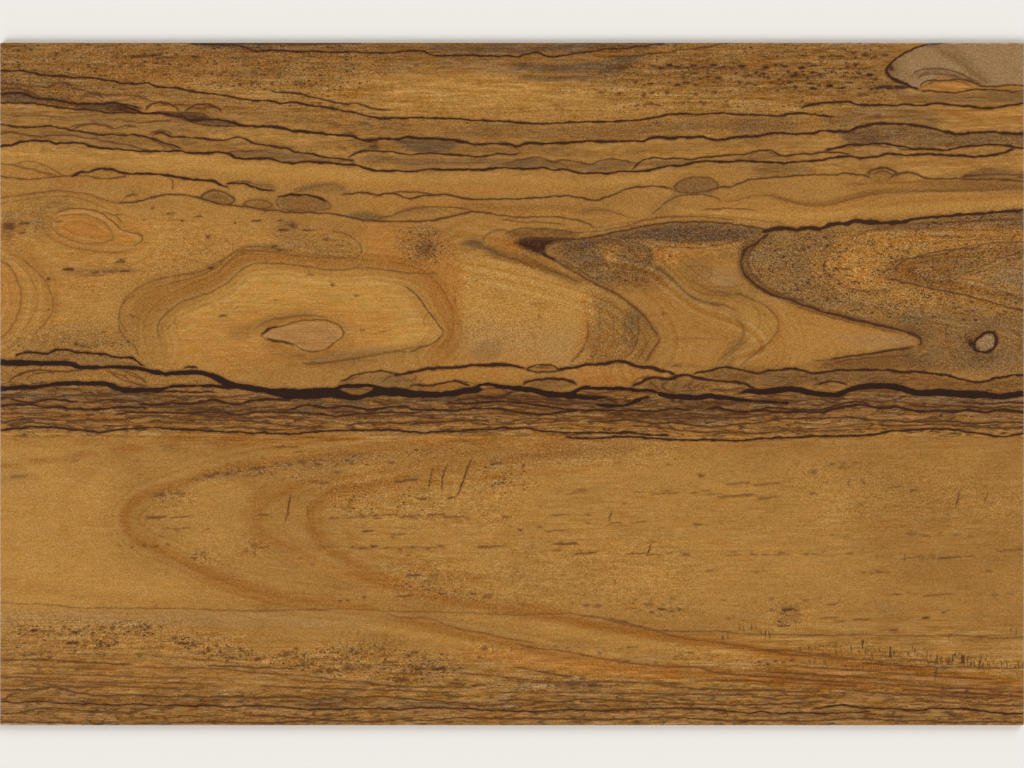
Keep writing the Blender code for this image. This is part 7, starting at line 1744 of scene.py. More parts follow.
RINGS = (
    Ring(0.8, 15, 0, ((-1, 136.4), (4, 132.5), (6.2, 126.5), (5, 119.8), (1.2, 114.2), (-1, 112.9))),
    Ring(0.8, 9, 30, (
        (17, 149), (22, 150.5), (29, 149), (34, 145.6), (40, 143.6), (41, 141.4), (36, 139.6), (28, 140),
        (20, 141.6), (15.4, 145)), closed=True),
    Ring(0.7, 11, 60, (
        (47.5, 110), (46.1, 117), (50, 121.8), (57, 125.3), (66, 129.3), (71.5, 134), (80, 135.4),
        (97, 133.3), (113, 133.4), (124, 130), (130, 122), (133, 114), (128, 108))),
    Ring(0.35, 9, 90, (
        (76.6, 114.5), (81.5, 116.9), (91, 118.1), (99.8, 116), (99.4, 113.3), (94.5, 110), (88.8, 109.8),
        (82, 112.5)), closed=True),
    Ring(0.9, 14, 120, (
        (136, 139), (146, 137), (160, 133.6), (172, 130), (183, 125.1), (190.8, 117.3), (193, 112.6),
        (188, 105))),
    Ring(1.0, 13, 150, (
        (164, 136.4), (172, 137.4), (182, 137), (192, 134.2), (198, 129.8), (205, 124.4), (215, 120.6),
        (224, 115), (226, 110), (216, 105))),
    Ring(0.8, 10, 180, (
        (306, 144), (284, 143), (262, 141.4), (250, 138), (246, 133.4), (251, 129), (262, 125.6),
        (280, 121.4), (306, 116))),
    Ring(0.8, 9, 210, (
        (306, 141.4), (284, 139.9), (268, 137), (261, 133.2), (270, 128.6), (285, 125.9), (306, 121))),
    Ring(0.8, 8, 240, (
        (306, 160), (290, 158.6), (270, 158), (258, 156.4), (250, 153.6), (240, 152.4), (228, 154),
        (218, 154.6), (210, 152.4))),
    Ring(0.55, 13, 270, (
        (130, 84), (95, 80.6), (70, 77), (50, 71), (40, 67.2), (35.4, 60), (40, 54), (50, 49.6), (60, 44.5),
        (80, 38.5), (110, 34.5), (140, 30), (180, 22), (230, 18), (306, 12))),
    Ring(0.6, 12, 300, (
        (170, 82), (135, 78.8), (108, 73), (82, 66.6), (76, 60), (83, 54), (101, 46.2), (116, 40.8),
        (140, 36), (168, 31), (210, 24.5), (250, 19), (306, 12))),
)

# Even stone: neither streaks nor specks cross these outlines.
QUIET = (
    (
        (259.8, 192), (261.5, 194.4), (264, 196.3), (267, 198), (272, 199.4), (278, 200.6), (306, 208),
        (306, 187.4), (295, 187.6), (288, 187.4), (284, 188.8), (276, 189), (271, 188.5), (269.6, 186.3),
        (266, 187.3), (262.3, 189.2), (260.4, 190.6)),
)

# Clean islands: no dark mineral reaches them.
ISLANDS = (
    Stain(BUFF, 0.95, 0.6, (
        (285.9, 110.2), (285.2, 111.6), (286, 113.2), (287.4, 114.6), (289.2, 115.2), (291.2, 115),
        (291.9, 113.2), (291.6, 111.2), (290.4, 109.8), (288, 109.4))),
    Stain(BUFF, 0.5, 1.2, (
        (77.4, 114.4), (80, 116.4), (87, 117.6), (95, 117.6), (99, 115.8), (98.6, 113), (95, 110.6),
        (91, 109.8), (86.5, 111.6), (80, 113.4))),
)

SEAMS = ROOF_SEAMS + BED_SEAMS + UPPER_SEAMS + FIGURE_SEAMS + BRAID_SEAMS + FLOOR_SEAMS
STAINS = ROOF_STAINS + BED_STAINS + UPPER_STAINS + MIDDLE_STAINS + BRAID_STAINS + LOWER_STAINS
BANDS = ROOF_BANDS + BED_BANDS + MIDDLE_BANDS + BRAID_BANDS + LOWER_BANDS

# The order in which the colouring minerals are laid, and the kinds that islands and even stone keep out.
COLOUR_ORDER = (HONEY, BUFF, EMBER, RUST, UMBER, SMOKE, PLUM)
DARK_MINERALS = (SMOKE, UMBER, PLUM, RUST, STRATA)
COARSE_MINERALS = (STREAK, PEPPER, STRATA)

# How a screen turns a channel's number into light.
TOE_END = 0.04045
TOE_SLOPE = 12.92
CURVE_SHIFT = 0.055
EYE_GAMMA = 2.4

# How a drawn line is cut up, and where two places count as one.
STAIN_STEP = 1.0
PIECES_AT_ONCE = 30
NOTHING = 1e-6
LEAST_PIECE = 1e-9


def linear(red: float, green: float, blue: float) -> tuple[float, float, float, float]:
    """Turns a colour of 0 to 255 a channel into Blender's linear colour.

    Args:
        red: The red of it.
        green: The green of it.
        blue: The blue of it.

    Returns:
        The colour with an alpha of one.
    """
    steps = [channel / 255.0 for channel in (red, green, blue)]
    light = [
        step / TOE_SLOPE if step <= TOE_END else ((step + CURVE_SHIFT) / (1 + CURVE_SHIFT)) ** EYE_GAMMA
        for step in steps]
    return light[0], light[1], light[2], 1.0


def smooth_path(route: Route, closed: bool, step: float = 0.5) -> np.ndarray:
    """Draws a smooth line through a route's points.

    Args:
        route: The points, in centimetres.
        closed: Whether the last point joins the first.
        step: The longest piece of the drawn line, in centimetres.

    Returns:
        The drawn line's points, one a row.
    """
    knots = np.array(route, dtype=float)
    if closed:
        knots = np.vstack([knots[-1:], knots, knots[:2]])
    else:
        knots = np.vstack([2 * knots[0] - knots[1], knots, 2 * knots[-1] - knots[-2]])
    gaps = np.diff(knots, axis=0)
    spans = np.maximum(np.hypot(gaps[:, 0], gaps[:, 1]), NOTHING)[:, None]
    before, after = spans[:-1], spans[1:]
    leans = (after * gaps[:-1] / before + before * gaps[1:] / after) / (before + after)
    pull = np.minimum(before, after)[:, 0]
    runs = []
    for index in range(len(leans) - 1):
        start, end, span = knots[index + 1], knots[index + 2], float(spans[index + 1, 0])
        count = max(1, math.ceil(span / step))
        leave, arrive = (pull[index], pull[index + 1]) if closed else (span, span)
        t = (np.arange(count) / count)[:, None]
        runs.append(
            (2 * t**3 - 3 * t**2 + 1) * start + (t**3 - 2 * t**2 + t) * leave * leans[index]
            + (3 * t**2 - 2 * t**3) * end + (t**3 - t**2) * arrive * leans[index + 1])
    runs.append(knots[-2][None])
    return np.vstack(runs)


def fade(value: np.ndarray, low: float, high: float) -> np.ndarray:
    """Eases from 0 at low to 1 at high.

    Args:
        value: What is eased.
        low: Where it is still 0.
        high: Where it has come to 1.

    Returns:
        The eased values.
    """
    t = np.clip((value - low) / (high - low), 0.0, 1.0)
    return t * t * (3 - 2 * t)


def feathered(value: np.ndarray, feather: float) -> np.ndarray:
    """Eases from 0 to 1 across a feather that lies half on each side of zero."""
    return fade(value, -0.5 * feather, 0.5 * feather)


@dataclass(frozen=True)
class Measure:
    """How some points lie to a line: which points, how far off on which side, and how far along."""

    index: np.ndarray
    offset: np.ndarray
    travel: np.ndarray
    lean: np.ndarray
    length: float


def measure(points: np.ndarray, path: np.ndarray, reach: float) -> Measure:
    """Measures the points that lie near a drawn line.

    Args:
        points: All the points, one a row, in centimetres.
        path: The drawn line.
        reach: How near a point has to be to count.

    Returns:
        The near points' measures; the offset is positive on the line's left.
    """
    best = np.full(len(points), np.inf)
    side, travel, lean = np.zeros(len(points)), np.zeros(len(points)), np.zeros(len(points))
    steps = np.diff(path, axis=0)
    sizes = np.maximum(np.hypot(steps[:, 0], steps[:, 1]), LEAST_PIECE)
    starts = np.concatenate([[0.0], np.cumsum(sizes)])
    for first in range(0, len(steps), PIECES_AT_ONCE):
        part = slice(first, min(first + PIECES_AT_ONCE, len(steps)))
        corners = path[first:part.stop + 1]
        low, high = corners.min(axis=0) - reach, corners.max(axis=0) + reach
        near = np.flatnonzero(np.all((points >= low) & (points <= high), axis=1))
        if not len(near):
            continue
        gap = points[near][:, None, :] - path[part][None]
        t = np.clip((gap * steps[part]).sum(axis=2) / sizes[part] ** 2, 0.0, 1.0)
        gap = gap - t[..., None] * steps[part]
        far = np.hypot(gap[..., 0], gap[..., 1])
        pick = far.argmin(axis=1)
        row = np.arange(len(near))
        closest = far[row, pick]
        nearer = closest < best[near]
        near, pick, row, closest = near[nearer], pick[nearer], row[nearer], closest[nearer]
        run = steps[part][pick]
        turn = run[:, 0] * gap[row, pick, 1] - run[:, 1] * gap[row, pick, 0]
        best[near] = closest
        side[near] = np.where(turn >= 0, 1.0, -1.0)
        travel[near] = starts[part][pick] + t[row, pick] * sizes[part][pick]
        lean[near] = np.abs(run[:, 1]) / sizes[part][pick]
    index = np.flatnonzero(best <= reach)
    return Measure(index, best[index] * side[index], travel[index], lean[index], float(starts[-1]))


def depth_inside(points: np.ndarray, outline: np.ndarray, reach: float) -> tuple[np.ndarray, np.ndarray]:
    """Finds how deep the points near or in a closed outline lie.

    Args:
        points: All the points, one a row.
        outline: The drawn outline, its last point at its first.
        reach: How far outside the outline a point still counts.

    Returns:
        Which points, and their depth, negative outside.
    """
    low, high = outline.min(axis=0) - reach, outline.max(axis=0) + reach
    near = np.flatnonzero(np.all((points >= low) & (points <= high), axis=1))
    inside = np.zeros(len(near), dtype=bool)
    x, y = points[near, 0], points[near, 1]
    for (ax, ay), (bx, by) in zip(outline[:-1], outline[1:]):
        if ay != by:
            crosses = (ay > y) != (by > y)
            inside ^= crosses & (x < (bx - ax) * (y - ay) / (by - ay) + ax)
    rim = measure(points[near], outline, reach)
    depth = np.full(len(near), -reach)
    depth[inside] = reach
    depth[rim.index] = np.where(inside[rim.index], 1.0, -1.0) * np.abs(rim.offset)
    return near, depth


def depth_in_route(points: np.ndarray, outline: Route, feather: float) -> tuple[np.ndarray, np.ndarray]:
    """Finds how deep points lie in the smooth outline through a route's points."""
    return depth_inside(points, smooth_path(outline, True, STAIN_STEP), feather)


@dataclass
class Figure:
    """The stone's figure, which turns seams, lodes, stains and bands into numbers at points.

    Sizes are in centimetres. Seams that lie close together go to different sets, so that each
    point keeps a clean distance to every seam near it. The cover values say how far from a seam
    the mesh still draws it, and the lane values how far from it other seams keep out of its set,
    both in the mesh's steps and a gap.
    """

    seams: tuple[Seam, ...]
    lodes: tuple[Lode, ...]
    stains: tuple[Stain, ...]
    bands: tuple[Band, ...]
    rings: tuple[Ring, ...]
    islands: tuple[Stain, ...]
    sets: int = 8
    keep: float = 6.0
    far_off: float = 9.0
    half_share: float = 0.45
    cover_steps: float = 1.9
    cover_gap: float = 0.25
    cover_slope: float = 0.7
    lane_steps: float = 2.1
    lane_gap: float = 0.3
    seam_ease: float = 1.6
    end_start: float = -0.02
    fleck_ease: float = 0.35
    fleck_fall: float = 0.05
    fleck_rise: float = 0.02
    fleck_lean: float = 0.1
    fleck_fill: float = 0.9
    dash_ease: float = 0.25
    dash_reach: float = 0.5
    dash_stretch: float = 0.12
    dash_jump: float = 0.22
    dash_tilt: float = 0.05
    dash_width: float = 0.48
    dash_swell: float = 0.12
    dash_ink: float = 1.3
    dash_most: float = 0.95
    lode_reach: float = 3.0
    ring_core: float = 0.4
    band_ease: float = 3.0
    comb_side: float = 1.0
    comb_end: Pair = (-0.2, 0.6)
    main_width: float = 0.55
    main_dark: float = 0.85
    main_points: int = 8
    quiet_feather: float = 1.0
    quiet_share: float = 0.9

    def flecks_and_seams(self) -> list[tuple[Seam, float]]:
        """Gathers every line, long ones first.

        Returns:
            Each line with the length over which its open ends fade.
        """
        lines = [(seam, self.seam_ease) for seam in self.seams]
        for fleck in FLECKS:
            lines.append((self.draw_fleck(*fleck), self.fleck_ease))
        for up, length, dark, places in DASH_ROWS:
            lines += [(dash, self.dash_ease) for dash in self.draw_dashes(up, length, dark, places)]
        return lines

    def draw_fleck(self, along: float, up: float, length: float, thickness: float, dark: float) -> Seam:
        """Draws a short fleck, lying along the beds or standing up.

        Args:
            along: Its middle's place along the beds.
            up: Its middle's place across them.
            length: How long it is along the beds.
            thickness: How tall it is.
            dark: How much of the ground it hides.

        Returns:
            The fleck as a short seam.
        """
        if length >= thickness:
            low, high = up - self.fleck_fall * length, up + self.fleck_rise * length
            route = ((along - length / 2, low), (along + length / 2, high))
        else:
            route = ((along, up - thickness / 2), (along + self.fleck_lean, up + thickness / 2))
        return Seam(self.fleck_fill * min(length, thickness), dark, route)

    def draw_dashes(self, up: float, length: float, dark: float, places: tuple[float, ...]) -> list[Seam]:
        """Draws a row of dashes, each a little longer, wider or higher than the last.

        The remainders of a dash's number keep neighbours from looking alike.

        Args:
            up: The row's place across the beds.
            length: A middling dash's length.
            dark: How much of the ground the dashes hide.
            places: Their middles along the beds.

        Returns:
            The dashes as short seams.
        """
        dashes = []
        for number, along in enumerate(places):
            reach = length * (self.dash_reach + self.dash_stretch * (number * 5 % 4))
            here = up + self.dash_jump * ((number * 3 + len(places)) % 5 - 2)
            route = ((along - reach, here - self.dash_tilt), (along + reach, here + self.dash_tilt))
            width = self.dash_width + self.dash_swell * (number % 3)
            dashes.append(Seam(width, min(self.dash_ink * dark, self.dash_most), route))
        return dashes

    def is_main(self, seam: Seam) -> bool:
        """Tells whether a seam is strong enough to show on the back.

        Args:
            seam: The seam.

        Returns:
            Whether it is.
        """
        return (
            seam.width >= self.main_width and seam.dark >= self.main_dark
            and len(seam.route) >= self.main_points)

    def spread(self, points: np.ndarray, cell: np.ndarray, main_only: bool) -> np.ndarray:
        """Works out each set's seam field at the points.

        Args:
            points: The points, one a row.
            cell: The mesh's step at each point, along and up.
            main_only: Whether only the strongest seams are wanted.

        Returns:
            For each set and point: the distance, the half width and the strength.
        """
        fields = np.zeros((self.sets, len(points), 3))
        fields[:, :, 0] = self.far_off
        best = np.full((self.sets, len(points)), np.inf)
        taken = np.zeros((self.sets, len(points)), dtype=bool)
        crowded = 0
        for seam, ease in self.flecks_and_seams():
            if main_only and not self.is_main(seam):
                continue
            path = smooth_path(seam.route, seam.closed)
            near = measure(points, path, self.keep)
            if not len(near.index):
                continue
            half = seam.width * self.half_share
            step = near.lean * cell[near.index, 0] + (1 - near.lean) * cell[near.index, 1]
            far = np.abs(near.offset)
            edge = half + self.cover_steps * step + self.cover_gap
            cover = np.clip((edge - far) / (self.cover_slope * step), 0, 1)
            if not seam.closed:
                cover = cover * self.end_fade(path, near, ease)
            core = near.index[cover > 0]
            choice = next((s for s in range(self.sets) if not taken[s, core].any()), None)
            if choice is None:
                crowded += 1
                choice = int(np.argmin([taken[s, core].sum() for s in range(self.sets)]))
            taken[choice, near.index[far < half + self.lane_steps * step + self.lane_gap]] = True
            won = far < best[choice, near.index]
            index = near.index[won]
            best[choice, index] = far[won]
            fields[choice, index, 0] = near.offset[won]
            fields[choice, index, 1] = half
            fields[choice, index, 2] = seam.dark * cover[won]
        used = sum(1 for s in range(self.sets) if taken[s].any())
        log.info("seams lie in %d sets, %d of them crowded", used, crowded)
        return fields

    def end_fade(self, path: np.ndarray, near: Measure, ease: float) -> np.ndarray:
        """Fades a line towards the ends that lie within the slab.

        Args:
            path: The drawn line.
            near: The points' measures.
            ease: The length of the fade.

        Returns:
            A strength for each measured point.
        """
        strength = np.ones(len(near.index))
        for end, travel in ((path[0], near.travel), (path[-1], near.length - near.travel)):
            if 0 < end[0] < SLAB_ALONG and 0 < end[1] < SLAB_UP:
                strength *= fade(travel, self.end_start, ease)
        return strength

    def lode_depth(self, points: np.ndarray) -> np.ndarray:
        """Works out how deep each point lies in the thick layer.

        Args:
            points: The points, one a row.

        Returns:
            The depths, negative outside the layer.
        """
        depth = np.full(len(points), -self.lode_reach)
        for lode in self.lodes:
            top = tuple((along, high) for along, high, _ in lode.profile)
            bottom = tuple((along, low) for along, _, low in reversed(lode.profile))
            outline = np.vstack([smooth_path(top, False), smooth_path(bottom, False)])
            outline = np.vstack([outline, outline[:1]])
            index, here = depth_inside(points, outline, self.lode_reach)
            depth[index] = np.maximum(depth[index], here)
        return depth

    def growth(self, points: np.ndarray) -> tuple[np.ndarray, np.ndarray]:
        """Works out how far each point lies from the outlines that growth bands follow.

        Args:
            points: The points, one a row.

        Returns:
            The signed distance and the bands' strength.
        """
        away = np.zeros(len(points))
        strength = np.zeros(len(points))
        best = np.full(len(points), np.inf)
        for ring in self.rings:
            near = measure(points, smooth_path(ring.route, ring.closed, STAIN_STEP), ring.reach)
            far = np.abs(near.offset)
            won = far < best[near.index]
            index = near.index[won]
            best[index] = far[won]
            away[index] = near.offset[won] + ring.start
            strength[index] = ring.strength * (1 - fade(far[won], self.ring_core * ring.reach, ring.reach))
        return away, strength

    def stain_masks(self, points: np.ndarray) -> np.ndarray:
        """Works out how much of each mineral stains each point.

        Args:
            points: The points, one a row.

        Returns:
            One column of masks for each mineral, from 0 to 1.
        """
        masks = np.zeros((len(points), len(Mineral)))
        for stain in self.stains:
            index, depth = depth_in_route(points, stain.outline, stain.feather)
            self.lay(masks, stain.mineral, index, stain.strength * feathered(depth, stain.feather))
        for band in self.bands:
            path = smooth_path(band.route, False, STAIN_STEP)
            near = measure(points, path, band.width / 2 + band.feather)
            laid = band.strength * (1 - feathered(np.abs(near.offset) - band.width / 2, band.feather))
            laid *= self.end_fade(path, near, self.band_ease * band.width)
            self.lay(masks, band.mineral, near.index, laid)
        for first, last, up, height, dark in COMBS:
            off_side = np.maximum(first - points[:, 0], points[:, 0] - last)
            off_up = np.abs(points[:, 1] - up) - height / 2
            laid = dark * (1 - fade(off_side, 0.0, self.comb_side)) * (1 - fade(off_up, *self.comb_end))
            masks[:, Mineral.COMB.value] = np.maximum(masks[:, Mineral.COMB.value], laid)
        self.clear_islands(points, masks)
        return masks

    def clear_islands(self, points: np.ndarray, masks: np.ndarray) -> None:
        """Takes the dark minerals away within the clean islands, and the coarse ones within even stone.

        Args:
            points: The points, one a row.
            masks: The minerals' masks, changed in place.
        """
        for island in self.islands:
            index, depth = depth_in_route(points, island.outline, island.feather)
            kept = 1 - island.strength * feathered(depth, island.feather)
            for mineral in DARK_MINERALS:
                masks[index, mineral.value] *= kept
            self.lay(masks, island.mineral, index, 1 - kept)
        for even in QUIET:
            index, depth = depth_in_route(points, even, self.quiet_feather)
            for mineral in COARSE_MINERALS:
                masks[index, mineral.value] *= 1 - self.quiet_share * feathered(depth, self.quiet_feather)

    @staticmethod
    def lay(masks: np.ndarray, mineral: Mineral, index: np.ndarray, laid: np.ndarray) -> None:
        """Adds a mineral over what is there, never past full strength."""
        column = mineral.value
        masks[index, column] = 1 - (1 - masks[index, column]) * (1 - laid)


def read_rows(items: bpy.types.bpy_prop_collection, name: str) -> np.ndarray:
    """Reads one vector of each item.

    Args:
        items: The mesh's vertices or faces.
        name: The vector's name.

    Returns:
        The vectors, one a row.
    """
    values = np.empty(len(items) * 3)
    items.foreach_get(name, values)
    return values.reshape(-1, 3)


def read_counts(items: bpy.types.bpy_prop_collection, name: str) -> np.ndarray:
    """Reads one whole number of each item.

    Args:
        items: The mesh's loops or faces.
        name: The number's name.

    Returns:
        The numbers.
    """
    values = np.empty(len(items), dtype=np.int64)
    items.foreach_get(name, values)
    return values


@dataclass
class SlabPlate:
    """The slab: a polished face, a rim with eased arrises and a sawn back. Sizes in metres.

    face_beds gives the face's rows as (upper edge in centimetres, row height in centimetres):
    the rows are close where the seams are close. dip is how far the beds slope along the slab's
    thickness, and the map's values say where the face, the back and the rim lie on the UV map.
    """

    name: str = "quartzite_slab_stone"
    along: float = 3.0
    across: float = 2.0
    thick: float = 0.02
    arris: float = 0.0015
    corner: float = 0.004
    corner_segments: int = 3
    columns: int = 256
    dip: float = 0.35
    chip: float = 0.0011
    chip_size: float = 0.035
    chip_layers: int = 3
    back_step: float = 0.0236
    smooth_angle: float = 50.0
    face_beds: tuple[tuple[float, float], ...] = (
        (12, 0.62), (30, 0.9), (84, 1.6), (108, 0.42), (146, 0.8), (200, 0.62))
    map_margin: float = 0.002
    map_face: float = 0.996
    map_back: float = 0.33
    map_rim_left: float = 0.36
    map_rim_low: float = 0.02
    map_rim_gap: float = 0.07
    map_rim_long: float = 0.6
    map_rim_tall: float = 2.0

    def rows(self) -> list[float]:
        """Lists where the face's rows end.

        Returns:
            The ends, in metres from the middle.
        """
        edge = self.arris / CENTIMETRE
        marks, bottom = [edge], edge
        for top, height in self.face_beds:
            top = min(top, self.across / CENTIMETRE - edge)
            count = max(1, round((top - bottom) / height))
            marks += [bottom + (top - bottom) * (k + 1) / count for k in range(count)]
            bottom = top
        return [mark * CENTIMETRE - self.across / 2 for mark in marks]

    def build(self, figure: Figure, face: bpy.types.Material, sawn: bpy.types.Material) -> bpy.types.Object:
        """Makes the slab and dresses it.

        Args:
            figure: The stone's figure.
            face: The finish of the polished face.
            sawn: The finish of the rim and the back.

        Returns:
            The finished piece.
        """
        slab = self.lay_face()
        self.turn_rim()
        self.round_corners()
        self.close_back()
        bpy.ops.object.mode_set(mode="OBJECT")
        self.chip_arris(slab)
        self.unwrap(slab.data)
        self.carry(slab.data, figure)
        slab.data.materials.append(face)
        slab.data.materials.append(sawn)
        self.share_finishes(slab.data)
        bpy.ops.object.select_all(action="DESELECT")
        slab.select_set(True)
        bpy.context.view_layer.objects.active = slab
        bpy.ops.object.shade_smooth_by_angle(angle=math.radians(self.smooth_angle))
        return slab

    def lay_face(self) -> bpy.types.Object:
        """Lays the face's first row and extrudes the others from it.

        Returns:
            The slab so far, in edit mode.
        """
        bpy.ops.object.select_all(action="DESELECT")
        marks = self.rows()
        width = self.along - 2 * self.arris
        first = marks[1] - marks[0]
        bpy.ops.mesh.primitive_grid_add(
            x_subdivisions=self.columns, y_subdivisions=1, size=1.0, location=(0, 0, 0), enter_editmode=False)
        slab = bpy.context.object
        slab.name = slab.data.name = self.name
        bpy.ops.object.mode_set(mode="EDIT")
        bpy.ops.mesh.select_mode(type="EDGE")
        bpy.ops.mesh.select_all(action="SELECT")
        bpy.ops.transform.resize(value=(width, first, 1), center_override=(0, 0, 0))
        bpy.ops.transform.translate(value=(0, marks[0] + first / 2, self.thick))
        self.pick_edges(lambda place: place.y > marks[1] - NOTHING)
        for low, high in zip(marks[1:-1], marks[2:]):
            bpy.ops.mesh.extrude_region_move(TRANSFORM_OT_translate={"value": (0, high - low, 0)})
        return slab

    @staticmethod
    def pick_edges(wanted: Callable[[Vector], bool]) -> None:
        """Selects the edges whose two ends are both wanted.

        Args:
            wanted: Tells whether an end's place is wanted.
        """
        mesh = bpy.context.edit_object.data
        shape = bmesh.from_edit_mesh(mesh)
        for edge in shape.edges:
            edge.select_set(False)
        for edge in shape.edges:
            if wanted(edge.verts[0].co) and wanted(edge.verts[1].co):
                edge.select_set(True)
        shape.select_flush_mode()
        bmesh.update_edit_mesh(mesh)

    @staticmethod
    def pick_border() -> None:
        """Selects the open border of what is modelled so far."""
        bpy.ops.mesh.select_all(action="DESELECT")
        bpy.ops.mesh.select_non_manifold(
            extend=False, use_wire=False, use_boundary=True, use_multi_face=False, use_non_contiguous=False,
            use_verts=False)

    @staticmethod
    def pick_back() -> None:
        """Selects only the faces that lie flat on the ground."""
        mesh = bpy.context.edit_object.data
        shape = bmesh.from_edit_mesh(mesh)
        for face in shape.faces:
            face.select_set(all(vert.co.z < NOTHING for vert in face.verts))
        bmesh.update_edit_mesh(mesh)

    def turn_rim(self) -> None:
        """Extrudes the face's border outwards over the arris, down the wall and in below."""
        self.pick_border()
        lean = self.arris * (1 - math.sqrt(0.5))
        stations = (
            (lean, self.thick - lean), (0.0, self.thick - self.arris), (0.0, self.thick / 2),
            (0.0, self.arris), (lean, lean), (self.arris, 0.0))
        inset, height = self.arris, self.thick
        for next_inset, next_height in stations:
            bpy.ops.mesh.extrude_region_move(
                TRANSFORM_OT_translate={"value": (0, 0, next_height - height)})
            stretch = (
                (self.along / 2 - next_inset) / (self.along / 2 - inset),
                (self.across / 2 - next_inset) / (self.across / 2 - inset), 1)
            bpy.ops.transform.resize(value=stretch, center_override=(0, 0, 0))
            inset, height = next_inset, next_height

    def round_corners(self) -> None:
        """Bevels the four upright corners."""
        reach_along = self.along / 2 - self.arris - 10 * NOTHING
        reach_across = self.across / 2 - self.arris - 10 * NOTHING
        self.pick_edges(lambda place: abs(place.x) > reach_along and abs(place.y) > reach_across)
        bpy.ops.mesh.bevel(offset=self.corner, segments=self.corner_segments, affect="EDGES")

    def close_back(self) -> None:
        """Closes the back with one sheet and cuts it into squares."""
        self.pick_border()
        bpy.ops.mesh.edge_face_add()
        bpy.ops.mesh.select_mode(type="FACE")
        self.pick_back()
        bpy.ops.mesh.hide(unselected=True)
        for axis, size in ((0, self.along), (1, self.across)):
            count = round(size / self.back_step)
            for k in range(1, count):
                place, turn = [0.0, 0.0, 0.0], [0.0, 0.0, 0.0]
                place[axis], turn[axis] = size * (k / count - 0.5), 1.0
                bpy.ops.mesh.select_all(action="SELECT")
                bpy.ops.mesh.bisect(plane_co=place, plane_no=turn, threshold=NOTHING)
        bpy.ops.mesh.reveal(select=False)
        bpy.ops.mesh.select_all(action="SELECT")
        bpy.ops.mesh.normals_make_consistent(inside=False)

    def chip_arris(self, slab: bpy.types.Object) -> None:
        """Nibbles the two rims as handling does, always inwards.

        Args:
            slab: The slab, in object mode.
        """
        height = read_rows(slab.data.vertices, "co")[:, 2]
        lean = self.arris * (1 - math.sqrt(0.5))
        on_rim = np.minimum(abs(height - lean), abs(height - (self.thick - lean))) < 10 * NOTHING
        rim = slab.vertex_groups.new(name="arris")
        rim.add([int(k) for k in np.flatnonzero(on_rim)], 1.0, "REPLACE")
        nibble = bpy.data.textures.new("arris nibble", type="CLOUDS")
        nibble.noise_scale = self.chip_size
        nibble.noise_depth = self.chip_layers
        nibble.intensity = 0.75
        nibble.use_clamp = True
        nibble.contrast = 3.0
        chips = slab.modifiers.new("chips", "DISPLACE")
        chips.texture = nibble
        chips.texture_coords = "LOCAL"
        chips.vertex_group = rim.name
        chips.direction = "NORMAL"
        chips.mid_level = 0.0
        chips.strength = -self.chip
        bpy.ops.object.modifier_apply(modifier=chips.name)
        slab.vertex_groups.clear()

    def share_finishes(self, mesh: bpy.types.Mesh) -> None:
        """Gives the face and its arris the polish, and the wall and the back the sawn finish."""
        sawn = read_rows(mesh.polygons, "center")[:, 2] < self.thick - self.arris
        mesh.polygons.foreach_set("material_index", sawn.astype(np.int32))

    def unwrap(self, mesh: bpy.types.Mesh) -> None:
        """Unfolds the slab onto one map: the face above, the back and the rim's four strips below.

        Args:
            mesh: The slab's mesh.
        """
        corner = read_counts(mesh.loops, "vertex_index")
        totals = read_counts(mesh.polygons, "loop_total")
        middle = read_rows(mesh.polygons, "center")[np.repeat(np.arange(len(totals)), totals)]
        place = read_rows(mesh.vertices, "co")[corner]
        half_along, half_across = self.along / 2, self.across / 2
        margin = self.map_margin
        plan = (place[:, :2] + (half_along, half_across)) / self.along
        chart = np.empty((len(corner), 2))
        face = middle[:, 2] > self.thick - NOTHING
        face_low = 1 - margin - self.map_face * self.across / self.along
        chart[face] = plan[face] * self.map_face + (margin, face_low)
        back = middle[:, 2] < NOTHING
        chart[back] = plan[back] * self.map_back + (margin, margin)
        rim = ~(face | back)
        inset = np.minimum(half_along - abs(place[:, 0]), half_across - abs(place[:, 1]))
        fold = np.where(place[:, 2] > self.thick / 2, -inset, inset)
        unrolled = self.thick - place[:, 2] + self.arris + fold
        long_side = half_across - abs(middle[:, 1]) < half_along - abs(middle[:, 0])
        travel = np.where(long_side, place[:, 0] + half_along, place[:, 1] + half_across) / self.along
        strip = np.where(long_side, 0, 2) + np.where(long_side, middle[:, 1] > 0, middle[:, 0] > 0)
        chart[rim, 0] = travel[rim] * self.map_rim_long + self.map_rim_left
        chart[rim, 1] = self.map_rim_low + strip[rim] * self.map_rim_gap + unrolled[rim] * self.map_rim_tall
        layer = mesh.uv_layers.new(name="OFBake")
        layer.data.foreach_set("uv", chart.ravel())

